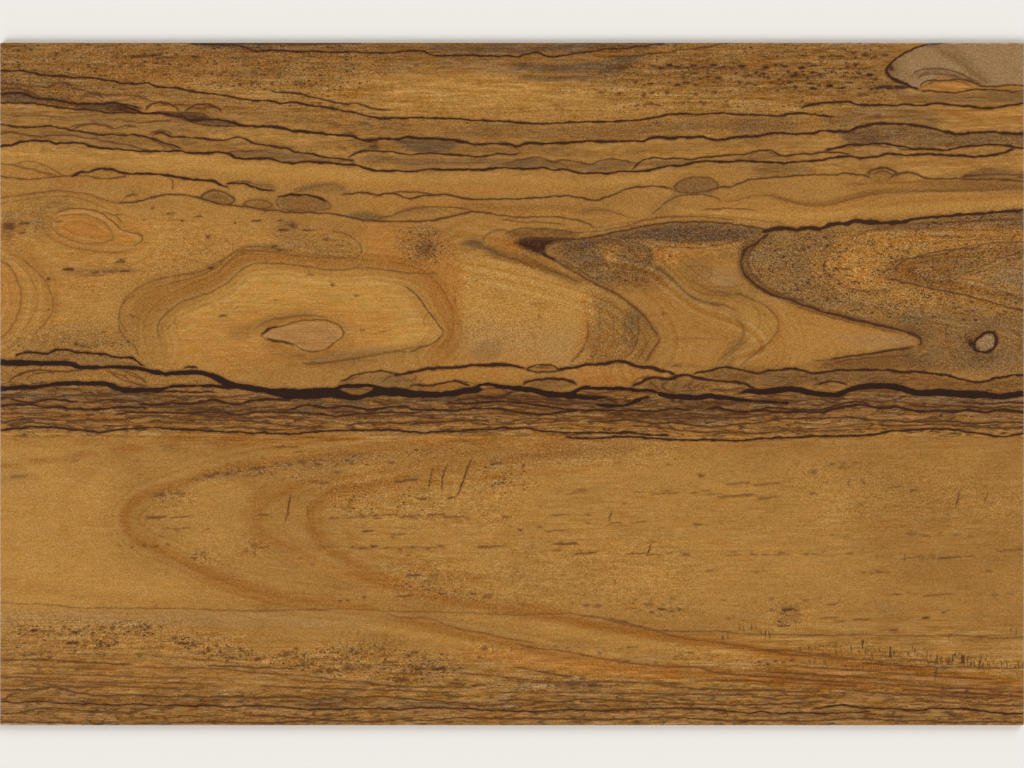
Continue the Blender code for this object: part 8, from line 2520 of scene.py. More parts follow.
    def carry(self, mesh: bpy.types.Mesh, figure: Figure) -> None:
        """Writes the figure onto the mesh, sloping with the beds through the slab's thickness.

        Args:
            mesh: The slab's mesh.
            figure: The stone's figure.
        """
        points = read_rows(mesh.vertices, "co")
        spots = (points[:, :2] + (self.along / 2, self.across / 2)) / CENTIMETRE
        spots[:, 1] += (self.thick - points[:, 2]) * self.dip / CENTIMETRE
        back = points[:, 2] < NOTHING
        front = ~back
        tops = np.array([top for top, _ in self.face_beds])
        heights = np.array([height for _, height in self.face_beds])
        cell = np.empty((len(points), 2))
        cell[:, 0] = self.along / CENTIMETRE / self.columns
        cell[:, 1] = heights[np.minimum(np.searchsorted(tops, spots[:, 1]), len(tops) - 1)]
        cell[back] = self.back_step / CENTIMETRE
        fields = np.zeros((figure.sets, len(points), 3))
        fields[:, front] = figure.spread(spots[front], cell[front], main_only=False)
        fields[:, back] = figure.spread(spots[back], cell[back], main_only=True)
        for number in range(figure.sets):
            self.write(mesh, f"seam_{number}", "FLOAT_VECTOR", "vector", fields[number])
        self.write(mesh, "lode", "FLOAT", "value", figure.lode_depth(spots))
        masks = figure.stain_masks(spots)
        away, masks[:, Mineral.GROWTH.value] = figure.growth(spots)
        self.write(mesh, "ring", "FLOAT", "value", away)
        for number in range(len(Mineral) // 3):
            self.write(mesh, f"stain_{number}", "FLOAT_VECTOR", "vector", masks[:, 3 * number:3 * number + 3])

    @staticmethod
    def write(mesh: bpy.types.Mesh, name: str, kind: str, part: str, values: np.ndarray) -> None:
        """Stores one attribute at the mesh's points."""
        store = mesh.attributes.new(name, kind, "POINT")
        store.data.foreach_set(part, np.ascontiguousarray(values, dtype=np.float32).ravel())


@dataclass(frozen=True)
class Weave:
    """A noise stretched along the stone's three axes, with its finer layers."""

    scale: Triple
    detail: float
    roughness: float = 0.5


class Bench:
    """Lays nodes in one tree and wires them together."""

    def __init__(self, tree: bpy.types.NodeTree) -> None:
        """Takes the tree to work in."""
        self.tree = tree

    def add(self, kind: str, **settings: object) -> bpy.types.Node:
        """Adds a node and gives it its settings.

        Args:
            kind: The node's type, without its ShaderNode prefix.
            **settings: The node's own properties.

        Returns:
            The node.
        """
        node = self.tree.nodes.new("ShaderNode" + kind)
        for key, value in settings.items():
            setattr(node, key, value)
        return node

    def wire(self, socket: Socket, value: Feed) -> None:
        """Feeds a socket.

        Args:
            socket: The socket.
            value: Another node's output to link it to, or its plain value.
        """
        if isinstance(value, Socket):
            self.tree.links.new(value, socket)
        else:
            socket.default_value = value

    def math(self, operation: str, *values: Feed, clamp: bool = False) -> Socket:
        """Adds a Math node.

        Args:
            operation: What it does.
            *values: What it works on.
            clamp: Whether the result is kept between 0 and 1.

        Returns:
            The result.
        """
        node = self.add("Math", operation=operation, use_clamp=clamp)
        for socket, value in zip(node.inputs, values):
            self.wire(socket, value)
        return node.outputs[0]

    def plus(self, value: Feed, other: Feed) -> Socket:
        """Adds two values."""
        return self.math("ADD", value, other)

    def times(self, value: Feed, factor: Feed) -> Socket:
        """Multiplies two values."""
        return self.math("MULTIPLY", value, factor)

    def most(self, value: Feed, other: Feed) -> Socket:
        """Takes the larger of two values."""
        return self.math("MAXIMUM", value, other)

    def slope(self, value: Feed, factor: Feed, start: Feed, clamp: bool = False) -> Socket:
        """Multiplies a value by a factor and adds a start to it."""
        return self.math("MULTIPLY_ADD", value, factor, start, clamp=clamp)

    def centred(self, value: Feed) -> Socket:
        """Makes a value of 0 to 1 swing about zero."""
        return self.math("SUBTRACT", value, 0.5)

    def ease(self, value: Feed, low: Feed, high: Feed) -> Socket:
        """Eases a value from 0 at low to 1 at high.

        Args:
            value: What is eased.
            low: Where it is still 0.
            high: Where it has come to 1.

        Returns:
            The eased value.
        """
        node = self.add("MapRange", interpolation_type="SMOOTHSTEP")
        self.wire(node.inputs["Value"], value)
        self.wire(node.inputs["From Min"], low)
        self.wire(node.inputs["From Max"], high)
        return node.outputs["Result"]

    def mix(self, share: Feed, under: Feed, over: Feed) -> Socket:
        """Lays one colour over another.

        Args:
            share: How much of the upper colour shows.
            under: The lower colour.
            over: The upper colour.

        Returns:
            The mixed colour.
        """
        node = self.add("Mix", data_type="RGBA", blend_type="MIX", clamp_factor=True)
        for number, value in ((0, share), (6, under), (7, over)):
            self.wire(node.inputs[number], value)
        return node.outputs[2]

    def parts(self, vector: Socket) -> tuple[Socket, ...]:
        """Splits a vector into its three numbers.

        Args:
            vector: The vector.

        Returns:
            Its three numbers.
        """
        node = self.add("SeparateXYZ")
        self.wire(node.inputs[0], vector)
        return tuple(node.outputs)

    def join(self, *values: Feed) -> Socket:
        """Joins up to three numbers into a vector.

        Args:
            *values: The numbers.

        Returns:
            The vector.
        """
        node = self.add("CombineXYZ")
        for socket, value in zip(node.inputs, values):
            self.wire(socket, value)
        return node.outputs[0]

    def stretch(self, vector: Socket, scale: Triple) -> Socket:
        """Scales a vector's three numbers.

        Args:
            vector: The vector.
            scale: A factor for each number.

        Returns:
            The scaled vector.
        """
        node = self.add("Mapping")
        self.wire(node.inputs["Vector"], vector)
        node.inputs["Scale"].default_value = scale
        return node.outputs[0]

    def noise(self, vector: Socket, detail: float, roughness: float = 0.5) -> bpy.types.Node:
        """Adds a noise of unit size on a vector.

        Args:
            vector: Where the noise is read.
            detail: How many finer layers it has.
            roughness: How strong they are.

        Returns:
            The noise's node.
        """
        node = self.add("TexNoise", noise_dimensions="3D")
        self.wire(node.inputs["Vector"], vector)
        node.inputs["Scale"].default_value = 1.0
        node.inputs["Detail"].default_value = detail
        node.inputs["Roughness"].default_value = roughness
        return node

    def woven(self, place: Socket, weave: Weave) -> bpy.types.Node:
        """Adds a stretched noise."""
        return self.noise(self.stretch(place, weave.scale), weave.detail, weave.roughness)

    def drift(self, place: Socket, weave: Weave) -> Socket:
        """Adds a stretched noise that swings about zero."""
        return self.centred(self.woven(place, weave).outputs["Fac"])

    def gamma(self, color: Socket, power: float) -> Socket:
        """Raises a colour to a power.

        Args:
            color: The colour.
            power: The power.

        Returns:
            The raised colour.
        """
        node = self.add("Gamma")
        self.wire(node.inputs["Color"], color)
        node.inputs["Gamma"].default_value = power
        return node.outputs[0]

    def carried(self, name: str) -> bpy.types.Node:
        """Reads one of the mesh's attributes."""
        return self.add("Attribute", attribute_type="GEOMETRY", attribute_name=name)


def new_group(name: str, takes: dict[str, str], gives: dict[str, str]) -> tuple[bpy.types.NodeTree, Bench]:
    """Starts a node group with named inputs and outputs.

    Args:
        name: The group's name.
        takes: Each input's name and socket kind.
        gives: Each output's name and socket kind.

    Returns:
        The group and a bench to fill it on.
    """
    tree = bpy.data.node_groups.new(name, "ShaderNodeTree")
    for side, sockets in (("INPUT", takes), ("OUTPUT", gives)):
        for label, kind in sockets.items():
            tree.interface.new_socket(label, in_out=side, socket_type="NodeSocket" + kind)
    tree.nodes.new("NodeGroupInput")
    tree.nodes.new("NodeGroupOutput")
    return tree, Bench(tree)


def ends(tree: bpy.types.NodeTree) -> tuple[bpy.types.Node, bpy.types.Node]:
    """Gives back a group's input and output nodes."""
    return tree.nodes["Group Input"], tree.nodes["Group Output"]


@dataclass(frozen=True)
class StonePalette:
    """The stone's colours, of 0 to 255 a channel."""

    ground: Triple = (161, 114, 55)
    honey: Triple = (188, 137, 66)
    buff: Triple = (151, 117, 78)
    ember: Triple = (172, 112, 48)
    rust: Triple = (148, 92, 34)
    smoke: Triple = (100, 74, 48)
    plum: Triple = (58, 34, 24)
    umber: Triple = (108, 70, 34)
    seam: Triple = (60, 34, 19)
    lode: Triple = (44, 25, 16)
    thin_seam: Triple = (94, 57, 30)
    halo: Triple = (92, 56, 30)
    fleck: Triple = (54, 38, 30)
    hair: Triple = (66, 40, 22)


@dataclass(frozen=True)
class StoneWeave:
    """The stone's noises, from its clouds down to its sugary grain."""

    cloud: Weave = Weave((6, 11, 10), 1.0)
    bedding: Weave = Weave((8, 100, 60), 3.0, 0.6)
    sugar: Weave = Weave((200, 235, 210), 2.0, 0.7)
    crumb: Weave = Weave((58, 76, 60), 2.0, 0.6)
    wander: Weave = Weave((38, 52, 50), 1.5)
    fibre: Weave = Weave((14, 230, 120), 2.0, 0.6)
    blotch: Weave = Weave((15, 52, 30), 3.0, 0.65)
    beds: Weave = Weave((8.5, 52, 30), 2.0)
    lenses: Weave = Weave((13, 74, 40), 1.5)
    bed_gaps: Weave = Weave((20, 60, 40), 2.0, 0.6)
    thread: Weave = Weave((26, 210, 100), 3.0, 0.62)
    speck: Weave = Weave((150, 230, 160), 1.5, 0.55)
    crowd: Weave = Weave((22, 50, 40), 1.0)
    ticks: Weave = Weave((165, 30, 60), 1.0)
    rings: Weave = Weave((0.62, 0, 0), 2.0, 0.6)
    dot_scale: Triple = (54, 110, 60)


@dataclass(frozen=True)
class StoneTuning:
    """How strongly each effect shows.

    A pair named x_by_y is what y is multiplied by for x, and what x is where y is nothing. A
    pair named x_edge is where x begins to show, and where it shows in full.
    """

    line_outside: float = 0.15
    line_inside: float = 0.08
    halo_by_width: Pair = (2.0, 0.3)
    stain_room: float = 1.15
    warmth_shares: Triple = (0.5, -0.05, -0.5)
    darkest: Triple = (0.08, 0.05, 0.03)
    bedding_drift: float = 2.2
    crumb_drift: float = 2.6
    rough_edge: Pair = (0.2, 0.9)
    drift_by_rough: Pair = (0.85, 0.1)
    dim: Triple = (0.97, 0.965, 0.96)
    bright: Triple = (1.03, 1.035, 1.04)
    cloud_edge: Pair = (-0.2, 0.2)
    ring_waver: float = 0.3
    ring_lift: float = 0.3
    ring_warmth: float = -0.55
    salt_in_pepper: float = 0.38
    salt_by_streak: Pair = (-0.17, 0.37)
    crumb_by_pepper: Pair = (0.12, 0.07)
    streak_power: float = 3.0
    bedding_by_streak: Pair = (0.55, 0.008)
    fibre_by_streak: Pair = (0.3, 0.03)
    blotch_by_rough: Pair = (0.19, 0.03)
    bed_levels: float = 6.0
    lens_levels: float = 5.0
    bed_tone: float = 0.17
    bed_hue: float = 0.1
    bed_line_edge: Pair = (0.24, 0.04)
    lens_line_edge: Pair = (0.16, 0.03)
    lens_line_dark: float = 0.8
    bed_gap_edge: Pair = (-0.16, 0.1)
    thread_gate_by_streak: Pair = (-0.08, 0.205)
    thread_width: float = 0.1
    thread_by_streak: Pair = (0.6, 0.15)
    speck_gate_by_pepper: Pair = (-0.17, 0.262)
    speck_gate_in_crowd: float = -0.35
    speck_width: float = 0.09
    speck_by_pepper: Pair = (0.5, 0.35)
    dot_gate_by_pepper: Pair = (-0.36, 1.04)
    dot_gate_in_beds: float = -0.9
    dot_width: float = 0.1
    dot_pepper_edge: Pair = (0.3, 0.85)
    dot_rim_edge: Pair = (0.38, 0.18)
    dot_dark: float = 0.8
    tick_edge: Pair = (0.03, 0.1)
    sway: float = 0.9
    width_by_swell: Pair = (1.9, 1.0)
    lode_edge: Pair = (-0.14, 0.12)
    lode_halo_edge: Pair = (-0.8, 0.0)
    halo_by_fray: Pair = (1.3, -0.1)
    ink_edge: Pair = (0.3, 0.9)
    ink_cover: float = 1.2


class StoneFigureNodes:
    """Builds the shared node groups: a seam's line, a mineral's stain and the whole figure."""

    def __init__(self, palette: StonePalette, weave: StoneWeave, tuning: StoneTuning, sets: int) -> None:
        """Takes the stone's looks and the number of seam sets, and builds the groups.

        Args:
            palette: The stone's colours.
            weave: The stone's noises.
            tuning: How strongly each effect shows.
            sets: How many sets of seams the mesh carries.
        """
        self.palette = palette
        self.weave = weave
        self.tuning = tuning
        self.sets = sets
        self.seam_line = self.build_seam_line()
        self.stain = self.build_stain()
        self.grain = self.build_grain()
        self.figure = self.build_figure()

    def build_seam_line(self) -> bpy.types.NodeTree:
        """Makes the group that draws one set of seams.

        Returns:
            The group: a field, a wander and a swell in, a core and a halo out.
        """
        tree, bench = new_group(
            "Seam Line", {"Field": "Vector", "Wander": "Float", "Swell": "Float"},
            {"Core": "Float", "Halo": "Float"})
        takes, gives = ends(tree)
        offset, half, dark = bench.parts(takes.outputs["Field"])
        off = bench.math("ABSOLUTE", bench.plus(offset, takes.outputs["Wander"]))
        width = bench.times(half, takes.outputs["Swell"])
        outside = bench.plus(width, self.tuning.line_outside)
        core = bench.ease(off, outside, bench.math("SUBTRACT", width, self.tuning.line_inside))
        bench.wire(gives.inputs["Core"], bench.times(core, dark))
        halo = bench.ease(off, bench.slope(width, *self.tuning.halo_by_width), width)
        bench.wire(gives.inputs["Halo"], bench.times(halo, dark))
        return tree

    def build_stain(self) -> bpy.types.NodeTree:
        """Makes the group that lays one mineral over the stone.

        Returns:
            The group: the stone, a mineral, a mask and a drift in, the stained stone out.
        """
        tree, bench = new_group(
            "Mineral Stain", {"Stone": "Color", "Mineral": "Color", "Mask": "Float", "Drift": "Float"},
            {"Stone": "Color"})
        takes, gives = ends(tree)
        mask = takes.outputs["Mask"]
        loose = bench.times(mask, bench.math("SUBTRACT", self.tuning.stain_room, mask))
        share = bench.math("ADD", mask, bench.times(loose, takes.outputs["Drift"]), clamp=True)
        bench.wire(gives.inputs["Stone"], bench.mix(share, takes.outputs["Stone"], takes.outputs["Mineral"]))
        return tree

    def build_grain(self) -> bpy.types.NodeTree:
        """Makes the group that shifts the stone lighter and darker by equal steps to the eye.

        Returns:
            The group: the stone, a lift and a warmth in, the grained stone out.
        """
        tree, bench = new_group(
            "Stone Grain", {"Stone": "Color", "Lift": "Float", "Warmth": "Float"}, {"Stone": "Color"})
        takes, gives = ends(tree)
        lift, warmth = takes.outputs["Lift"], takes.outputs["Warmth"]
        shift = bench.join(*(bench.slope(warmth, share, lift) for share in self.tuning.warmth_shares))
        total = bench.add("VectorMath", operation="ADD")
        bench.wire(total.inputs[0], bench.gamma(takes.outputs["Stone"], 1 / EYE_GAMMA))
        bench.wire(total.inputs[1], shift)
        darkest = bench.add("VectorMath", operation="MAXIMUM")
        bench.wire(darkest.inputs[0], total.outputs[0])
        darkest.inputs[1].default_value = self.tuning.darkest
        bench.wire(gives.inputs["Stone"], bench.gamma(darkest.outputs[0], EYE_GAMMA))
        return tree

    def use(self, bench: Bench, tree: bpy.types.NodeTree, **values: Feed) -> bpy.types.Node:
        """Places a group in a tree with its values.

        Args:
            bench: Where to place it.
            tree: The group.
            **values: Its inputs.

        Returns:
            The placed group.
        """
        node = bench.add("Group", node_tree=tree)
        for label, value in values.items():
            bench.wire(node.inputs[label], value)
        return node

    def build_figure(self) -> bpy.types.NodeTree:
        """Makes the group that reads the mesh's figure and colours the stone.

        Returns:
            The group: colour, vein mask, grain and pit mask out.
        """
        tree, bench = new_group(
            "Stone Figure", {}, {"Color": "Color", "Vein": "Float", "Grain": "Float", "Pits": "Float"})
        _, gives = ends(tree)
        place = bench.add("TexCoord").outputs["Object"]
        mask = self.read_minerals(bench)
        bedding = bench.drift(place, self.weave.bedding)
        sugar = bench.drift(place, self.weave.sugar)
        crumb = bench.drift(place, self.weave.crumb)
        tuning = self.tuning
        drift = bench.plus(bench.times(bedding, tuning.bedding_drift), bench.times(crumb, tuning.crumb_drift))
        rough = bench.plus(bench.most(mask[PEPPER], mask[STRATA]), mask[STREAK])
        drift = bench.times(drift, bench.slope(bench.ease(rough, *tuning.rough_edge), *tuning.drift_by_rough))
        color = self.lay_ground(bench, place)
        for mineral in COLOUR_ORDER:
            paint = linear(*getattr(self.palette, mineral.name.lower()))
            laid = self.use(bench, self.stain, Stone=color, Mineral=paint, Mask=mask[mineral], Drift=drift)
            color = laid.outputs["Stone"]
        color = self.lay_growth(bench, color, crumb, mask[Mineral.GROWTH])
        color = self.lay_grain(bench, place, color, (sugar, crumb, bedding), mask)
        color = self.lay_strata(bench, place, color, mask[STRATA])
        color, dashes = self.lay_dashes(bench, place, color, mask[STREAK])
        color, pepper = self.lay_pepper(bench, place, color, mask[PEPPER], bedding)
        color = self.lay_combs(bench, place, color, mask[Mineral.COMB])
        color, vein = self.lay_seams(bench, place, color)
        outcome = {"Color": color, "Vein": vein, "Grain": sugar, "Pits": bench.most(pepper, dashes)}
        for label, value in outcome.items():
            bench.wire(gives.inputs[label], value)
        return tree

    @staticmethod
    def read_minerals(bench: Bench) -> dict[Mineral, Socket]:
        """Reads how much of each mineral the mesh carries.

        Args:
            bench: Where to work.

        Returns:
            Each mineral's mask.
        """
        masks = []
        for number in range(len(Mineral) // 3):
            masks += bench.parts(bench.carried(f"stain_{number}").outputs["Vector"])
        return dict(zip(Mineral, masks))

    def lay_ground(self, bench: Bench, place: Socket) -> Socket:
        """Makes the plain stone, a little lighter and darker in clouds.

        Args:
            bench: Where to work.
            place: The place on the stone.

        Returns:
            The plain stone.
        """
        ground = self.palette.ground
        dim = linear(*(channel * share for channel, share in zip(ground, self.tuning.dim)))
        bright = linear(*(channel * share for channel, share in zip(ground, self.tuning.bright)))
        cloud = bench.drift(place, self.weave.cloud)
        return bench.mix(bench.ease(cloud, *self.tuning.cloud_edge), dim, bright)

    def lay_growth(self, bench: Bench, color: Socket, crumb: Socket, growth: Socket) -> Socket:
        """Draws growth bands that run beside the figure's outlines.

        Args:
            bench: Where to work.
            color: The stone so far.
            crumb: A noise that makes the bands waver.
            growth: How strong the bands are.

        Returns:
            The banded stone.
        """
        away = bench.plus(bench.carried("ring").outputs["Fac"], bench.times(crumb, self.tuning.ring_waver))
        rings = bench.drift(bench.join(away), self.weave.rings)
        lift = bench.times(bench.times(rings, growth), self.tuning.ring_lift)
        warmth = bench.times(lift, self.tuning.ring_warmth)
        return self.use(bench, self.grain, Stone=color, Lift=lift, Warmth=warmth).outputs["Stone"]

    def lay_grain(
            self, bench: Bench, place: Socket, color: Socket, noises: tuple[Socket, Socket, Socket],
            mask: dict[Mineral, Socket]) -> Socket:
        """Adds the sugary grain, the fine bedding streaks and blotches of warmer and cooler stone.

        Args:
            bench: Where to work.
            place: The place on the stone.
            color: The stone so far.
            noises: The fine, middling and bedded noises.
            mask: The minerals' masks.

        Returns:
            The grained stone.
        """
        sugar, crumb, bedding = noises
        pepper, streak = mask[PEPPER], mask[STREAK]
        tuning = self.tuning
        fibre, blotch = bench.drift(place, self.weave.fibre), bench.drift(place, self.weave.blotch)
        salt = bench.slope(pepper, tuning.salt_in_pepper, bench.slope(streak, *tuning.salt_by_streak))
        lift = bench.times(sugar, salt)
        lift = bench.slope(crumb, bench.slope(pepper, *tuning.crumb_by_pepper), lift)
        strong = bench.math("POWER", streak, tuning.streak_power)
        lift = bench.slope(bedding, bench.slope(strong, *tuning.bedding_by_streak), lift)
        lift = bench.slope(fibre, bench.slope(streak, *tuning.fibre_by_streak), lift)
        tint = bench.times(blotch, bench.slope(bench.most(pepper, streak), *tuning.blotch_by_rough))
        return self.use(bench, self.grain, Stone=color, Lift=lift, Warmth=tint).outputs["Stone"]

    def lay_strata(self, bench: Bench, place: Socket, color: Socket, strata: Socket) -> Socket:
        """Draws hair-fine, branching seams where the beds lie close.

        Args:
            bench: Where to work.
            place: The place on the stone.
            color: The stone so far.
            strata: How strong the fine seams are.

        Returns:
            The stone with its fine seams.
        """
        tuning = self.tuning
        level = bench.times(bench.woven(place, self.weave.beds).outputs["Fac"], tuning.bed_levels)
        lens = bench.times(bench.woven(place, self.weave.lenses).outputs["Fac"], tuning.lens_levels)
        cell = bench.join(bench.math("FLOOR", bench.plus(level, 0.5)), bench.math("FLOOR", lens))
        pick = bench.add("TexWhiteNoise", noise_dimensions="3D")
        bench.wire(pick.inputs["Vector"], cell)
        tone, hue, _ = bench.parts(pick.outputs["Color"])
        lift = bench.times(bench.centred(tone), bench.times(strata, tuning.bed_tone))
        warmth = bench.times(bench.centred(hue), bench.times(strata, tuning.bed_hue))
        color = self.use(bench, self.grain, Stone=color, Lift=lift, Warmth=warmth).outputs["Stone"]
        near = bench.math("ABSOLUTE", bench.centred(bench.math("FRACT", level)))
        edge = bench.math("ABSOLUTE", bench.centred(bench.math("FRACT", bench.plus(lens, 0.5))))
        crossing = bench.times(bench.ease(edge, *tuning.lens_line_edge), tuning.lens_line_dark)
        line = bench.most(bench.ease(near, *tuning.bed_line_edge), crossing)
        gate = bench.ease(bench.drift(place, self.weave.bed_gaps), *tuning.bed_gap_edge)
        share = bench.times(bench.times(line, gate), strata)
        return bench.mix(share, color, linear(*self.palette.hair))

    def lay_dashes(
            self, bench: Bench, place: Socket, color: Socket, streak: Socket) -> tuple[Socket, Socket]:
        """Adds short dark filaments along the bedding.

        Args:
            bench: Where to work.
            place: The place on the stone.
            color: The stone so far.
            streak: How streaked the stone is.

        Returns:
            The stone with its filaments, and the filaments' mask.
        """
        gate = bench.slope(streak, *self.tuning.thread_gate_by_streak)
        thread = bench.drift(place, self.weave.thread)
        mask = bench.ease(thread, gate, bench.plus(gate, self.tuning.thread_width))
        mask = bench.times(mask, bench.slope(streak, *self.tuning.thread_by_streak))
        return bench.mix(mask, color, linear(*self.palette.hair)), mask

    def lay_pepper(
            self, bench: Bench, place: Socket, color: Socket, pepper: Socket,
            bedding: Socket) -> tuple[Socket, Socket]:
        """Adds dark specks where the stone is peppered, and a few everywhere.

        Args:
            bench: Where to work.
            place: The place on the stone.
            color: The stone so far.
            pepper: How peppered the stone is.
            bedding: A noise that gathers the larger specks in beds.

        Returns:
            The stone with its specks, and the specks' mask.
        """
        tuning = self.tuning
        gate = bench.slope(pepper, *tuning.speck_gate_by_pepper)
        gate = bench.slope(bench.drift(place, self.weave.crowd), tuning.speck_gate_in_crowd, gate)
        speck = bench.drift(place, self.weave.speck)
        mask = bench.ease(speck, gate, bench.plus(gate, tuning.speck_width))
        mask = bench.times(mask, bench.slope(pepper, *tuning.speck_by_pepper))
        cells = bench.add("TexVoronoi", feature="F1", distance="EUCLIDEAN")
        bench.wire(cells.inputs["Vector"], bench.stretch(place, self.weave.dot_scale))
        cells.inputs["Scale"].default_value = 1.0
        chance, _, _ = bench.parts(cells.outputs["Color"])
        rarity = bench.slope(pepper, *tuning.dot_gate_by_pepper)
        rarity = bench.slope(bedding, tuning.dot_gate_in_beds, rarity)
        picked = bench.ease(chance, rarity, bench.plus(rarity, tuning.dot_width))
        picked = bench.times(picked, bench.ease(pepper, *tuning.dot_pepper_edge))
        dots = bench.times(bench.ease(cells.outputs["Distance"], *tuning.dot_rim_edge), picked)
        mask = bench.most(mask, bench.times(dots, tuning.dot_dark))
        return bench.mix(mask, color, linear(*self.palette.fleck)), mask

    def lay_combs(self, bench: Bench, place: Socket, color: Socket, comb: Socket) -> Socket:
        """Adds the combs of short upright ticks.

        Args:
            bench: Where to work.
            place: The place on the stone.
            color: The stone so far.
            comb: How strong the combs are.

        Returns:
            The stone with its combs.
        """
        ticks = bench.ease(bench.drift(place, self.weave.ticks), *self.tuning.tick_edge)
        return bench.mix(bench.times(ticks, comb), color, linear(*self.palette.hair))

    def lay_seams(self, bench: Bench, place: Socket, color: Socket) -> tuple[Socket, Socket]:
        """Draws every set of seams and the thick layer over the stone.

        Args:
            bench: Where to work.
            place: The place on the stone.
            color: The stone so far.

        Returns:
            The finished stone, and the mask of the seams and the thick layer.
        """
        sway, swell, fray = bench.parts(bench.woven(place, self.weave.wander).outputs["Color"])
        tuning = self.tuning
        sway = bench.times(bench.centred(sway), tuning.sway)
        swell = bench.slope(bench.centred(swell), *tuning.width_by_swell)
        depth = bench.plus(bench.carried("lode").outputs["Fac"], sway)
        lode = bench.ease(depth, *tuning.lode_edge)
        core, halo = lode, bench.ease(depth, *tuning.lode_halo_edge)
        for number in range(self.sets):
            seams = bench.carried(f"seam_{number}").outputs["Vector"]
            line = self.use(bench, self.seam_line, Field=seams, Wander=sway, Swell=swell)
            core = bench.most(core, line.outputs["Core"])
            halo = bench.most(halo, line.outputs["Halo"])
        soft = bench.math("MULTIPLY", halo, bench.slope(fray, *tuning.halo_by_fray), clamp=True)
        color = bench.mix(soft, color, linear(*self.palette.halo))
        thin, thick = linear(*self.palette.thin_seam), linear(*self.palette.seam)
        ink = bench.mix(bench.ease(core, *tuning.ink_edge), thin, thick)
        color = bench.mix(bench.math("MULTIPLY", core, tuning.ink_cover, clamp=True), color, ink)
        return bench.mix(lode, color, linear(*self.palette.lode)), core


@dataclass(frozen=True)
class PolishedFace:
    """The polish: how glossy the ground and the seams are, and how deep the pits."""

    name: str = "polished ochre quartzite"
    gloss_ground: float = 0.24
    gloss_seam: float = 0.34
    gloss_grain: float = 0.12
    pit_depth: float = 0.00012
    pit_strength: float = 0.35

    def material(self, nodes: StoneFigureNodes) -> bpy.types.Material:
        """Makes the finish.

        Args:
            nodes: The shared groups.

        Returns:
            The material.
        """
        paint, bench, surface = blank(self.name)
        stone = nodes.use(bench, nodes.figure)
        bench.wire(surface.inputs["Base Color"], stone.outputs["Color"])
        worn = bench.most(stone.outputs["Vein"], stone.outputs["Pits"])
        rough = bench.slope(worn, self.gloss_seam - self.gloss_ground, self.gloss_ground)
        rough = bench.plus(rough, bench.times(bench.centred(stone.outputs["Grain"]), self.gloss_grain))
        bench.wire(surface.inputs["Roughness"], rough)
        dent(bench, surface, bench.math("SUBTRACT", 1.0, worn), self.pit_strength, self.pit_depth)
        return paint


@dataclass(frozen=True)
class SawnStone:
    """The sawn finish: stone dust over the figure, and the saw's marks."""

    name: str = "sawn ochre quartzite"
    dust: Triple = (176, 152, 120)
    dust_share: float = 0.42
    dust_swing: float = 0.5
    gloss: float = 0.6
    gloss_swing: float = 0.22
    marks: Weave = Weave((260, 12, 12), 3.0, 0.6)
    mark_depth: float = 0.0004
    mark_strength: float = 0.6
    grain_height: float = 0.5

    def material(self, nodes: StoneFigureNodes) -> bpy.types.Material:
        """Makes the finish.

        Args:
            nodes: The shared groups.

        Returns:
            The material.
        """
        paint, bench, surface = blank(self.name)
        stone = nodes.use(bench, nodes.figure)
        marks = bench.woven(bench.add("TexCoord").outputs["Object"], self.marks).outputs["Fac"]
        coat = bench.slope(bench.centred(marks), self.dust_swing, self.dust_share, clamp=True)
        bench.wire(surface.inputs["Base Color"], bench.mix(coat, stone.outputs["Color"], linear(*self.dust)))
        bench.wire(surface.inputs["Roughness"], bench.slope(marks, self.gloss_swing, self.gloss))
        height = bench.plus(marks, bench.times(stone.outputs["Grain"], self.grain_height))
        dent(bench, surface, height, self.mark_strength, self.mark_depth)
        return paint


def blank(name: str) -> tuple[bpy.types.Material, Bench, bpy.types.Node]:
    """Starts a material.

    Args:
        name: The material's name.

    Returns:
        The material, a bench on its tree and its surface shader.
    """
    paint = bpy.data.materials.new(name)
    paint.use_nodes = True
    paint.node_tree.nodes.clear()
    bench = Bench(paint.node_tree)
    surface = bench.add("BsdfPrincipled")
    output = bench.add("OutputMaterial")
    bench.wire(output.inputs["Surface"], surface.outputs["BSDF"])
    return paint, bench, surface


def dent(bench: Bench, surface: bpy.types.Node, height: Socket, strength: float, depth: float) -> None:
    """Gives a surface fine relief.

    Args:
        bench: Where to work.
        surface: The surface shader.
        height: The relief's height, from 0 to 1.
        strength: How much of it shows.
        depth: How far a height of 1 stands out, in metres.
    """
    bump = bench.add("Bump")
    bump.inputs["Strength"].default_value = strength
    bump.inputs["Distance"].default_value = depth
    bench.wire(bump.inputs["Height"], height)
    bench.wire(surface.inputs["Normal"], bump.outputs["Normal"])


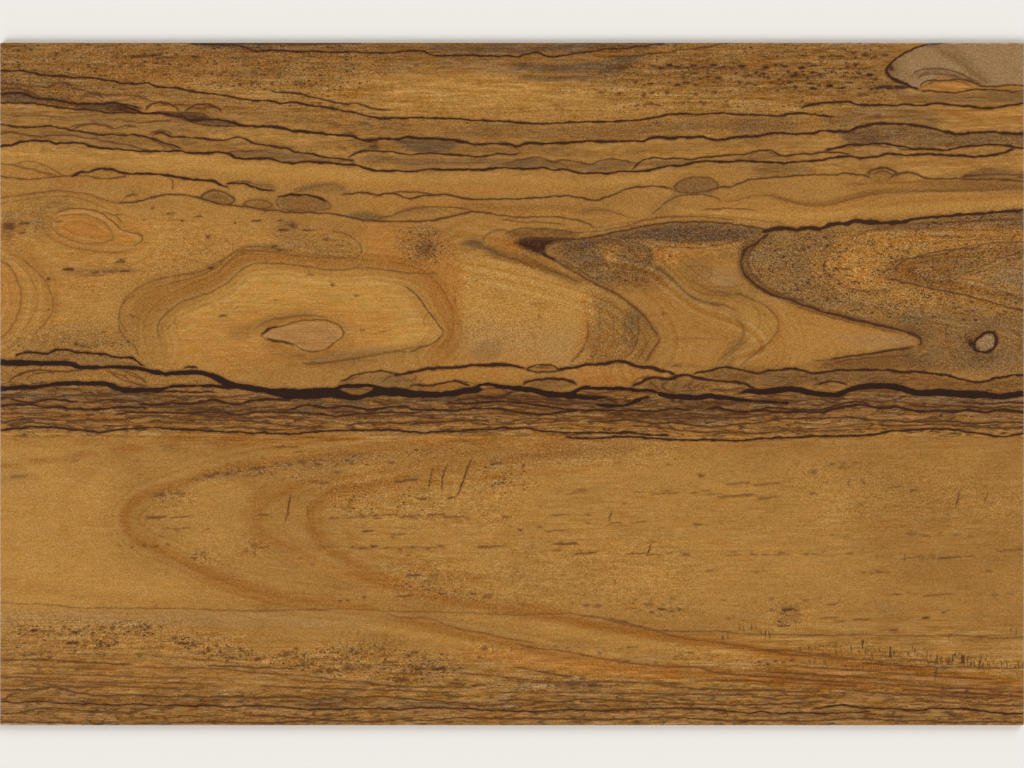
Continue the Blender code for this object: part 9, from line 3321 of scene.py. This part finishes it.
@dataclass
class Studio:
    """The pale floor, the soft light and the camera that looks straight down. Sizes in metres.

    suns gives each broad light's strength, and its tilt and turn in degrees.
    """

    lens: float = 85.0
    sensor: float = 36.0
    frame_along: float = 3.0
    face_height: float = 0.02
    floor_size: float = 14.0
    floor_paint: Triple = (238, 235, 229)
    floor_roughness: float = 0.95
    suns: tuple[Triple, ...] = ((1.77, 50, -35), (1.3, 52, 150))
    sun_spread: float = 36.0
    horizon: float = 0.935
    zenith: float = 0.05

    def lay_floor(self) -> bpy.types.Object:
        """Lays the floor just under the slab.

        Returns:
            The floor.
        """
        bpy.ops.object.select_all(action="DESELECT")
        bpy.ops.mesh.primitive_plane_add(size=self.floor_size, location=(0, 0, 0))
        floor = bpy.context.object
        floor.name = "studio_floor"
        paint, _, surface = blank("pale floor")
        surface.inputs["Base Color"].default_value = linear(*self.floor_paint)
        surface.inputs["Roughness"].default_value = self.floor_roughness
        surface.inputs["Specular IOR Level"].default_value = 0.0
        floor.data.materials.append(paint)
        return floor

    def hang_lights(self) -> None:
        """Hangs the two broad lights and fills the room with soft light."""
        for number, (strength, tilt, turn) in enumerate(self.suns):
            lamp = bpy.data.lights.new(f"softbox_{number}", "SUN")
            lamp.energy = strength
            lamp.angle = math.radians(self.sun_spread)
            holder = bpy.data.objects.new(lamp.name, lamp)
            holder.rotation_euler = (math.radians(tilt), 0, math.radians(turn))
            bpy.context.scene.collection.objects.link(holder)
        world = bpy.data.worlds.new("studio room")
        world.use_nodes = True
        world.node_tree.nodes.clear()
        bench = Bench(world.node_tree)
        _, _, up = bench.parts(bench.add("TexCoord").outputs["Generated"])
        glow = bench.slope(bench.times(up, up), self.zenith - self.horizon, self.horizon)
        room = bench.add("Background")
        bench.wire(room.inputs["Strength"], glow)
        output = bench.add("OutputWorld")
        bench.wire(output.inputs["Surface"], room.outputs[0])
        bpy.context.scene.world = world

    def set_camera(self) -> None:
        """Sets the camera over the slab's middle, its frame as wide as the slab."""
        lens = bpy.data.cameras.new("overhead")
        lens.type = "PERSP"
        lens.lens = self.lens
        lens.sensor_width = self.sensor
        height = self.frame_along * self.lens / self.sensor
        camera = bpy.data.objects.new("overhead", lens)
        camera.location = (0, 0, self.face_height + height)
        bpy.context.scene.collection.objects.link(camera)
        bpy.context.scene.camera = camera
        bpy.context.scene.view_settings.view_transform = "Standard"


def main() -> None:
    """Builds the studio and the slab, and reports each piece."""
    logging.basicConfig(level=logging.INFO, format="%(message)s")
    studio = Studio()
    studio.set_camera()
    studio.lay_floor()
    studio.hang_lights()
    figure = Figure(SEAMS, LODES, STAINS, BANDS, RINGS, ISLANDS)
    nodes = StoneFigureNodes(StonePalette(), StoneWeave(), StoneTuning(), figure.sets)
    slab = SlabPlate().build(figure, PolishedFace().material(nodes), SawnStone().material(nodes))
    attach(slab, BODY)
    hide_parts(NODE)
    log.info("%s: %d faces", slab.name, len(slab.data.polygons))


if __name__ == "__main__":
    main()
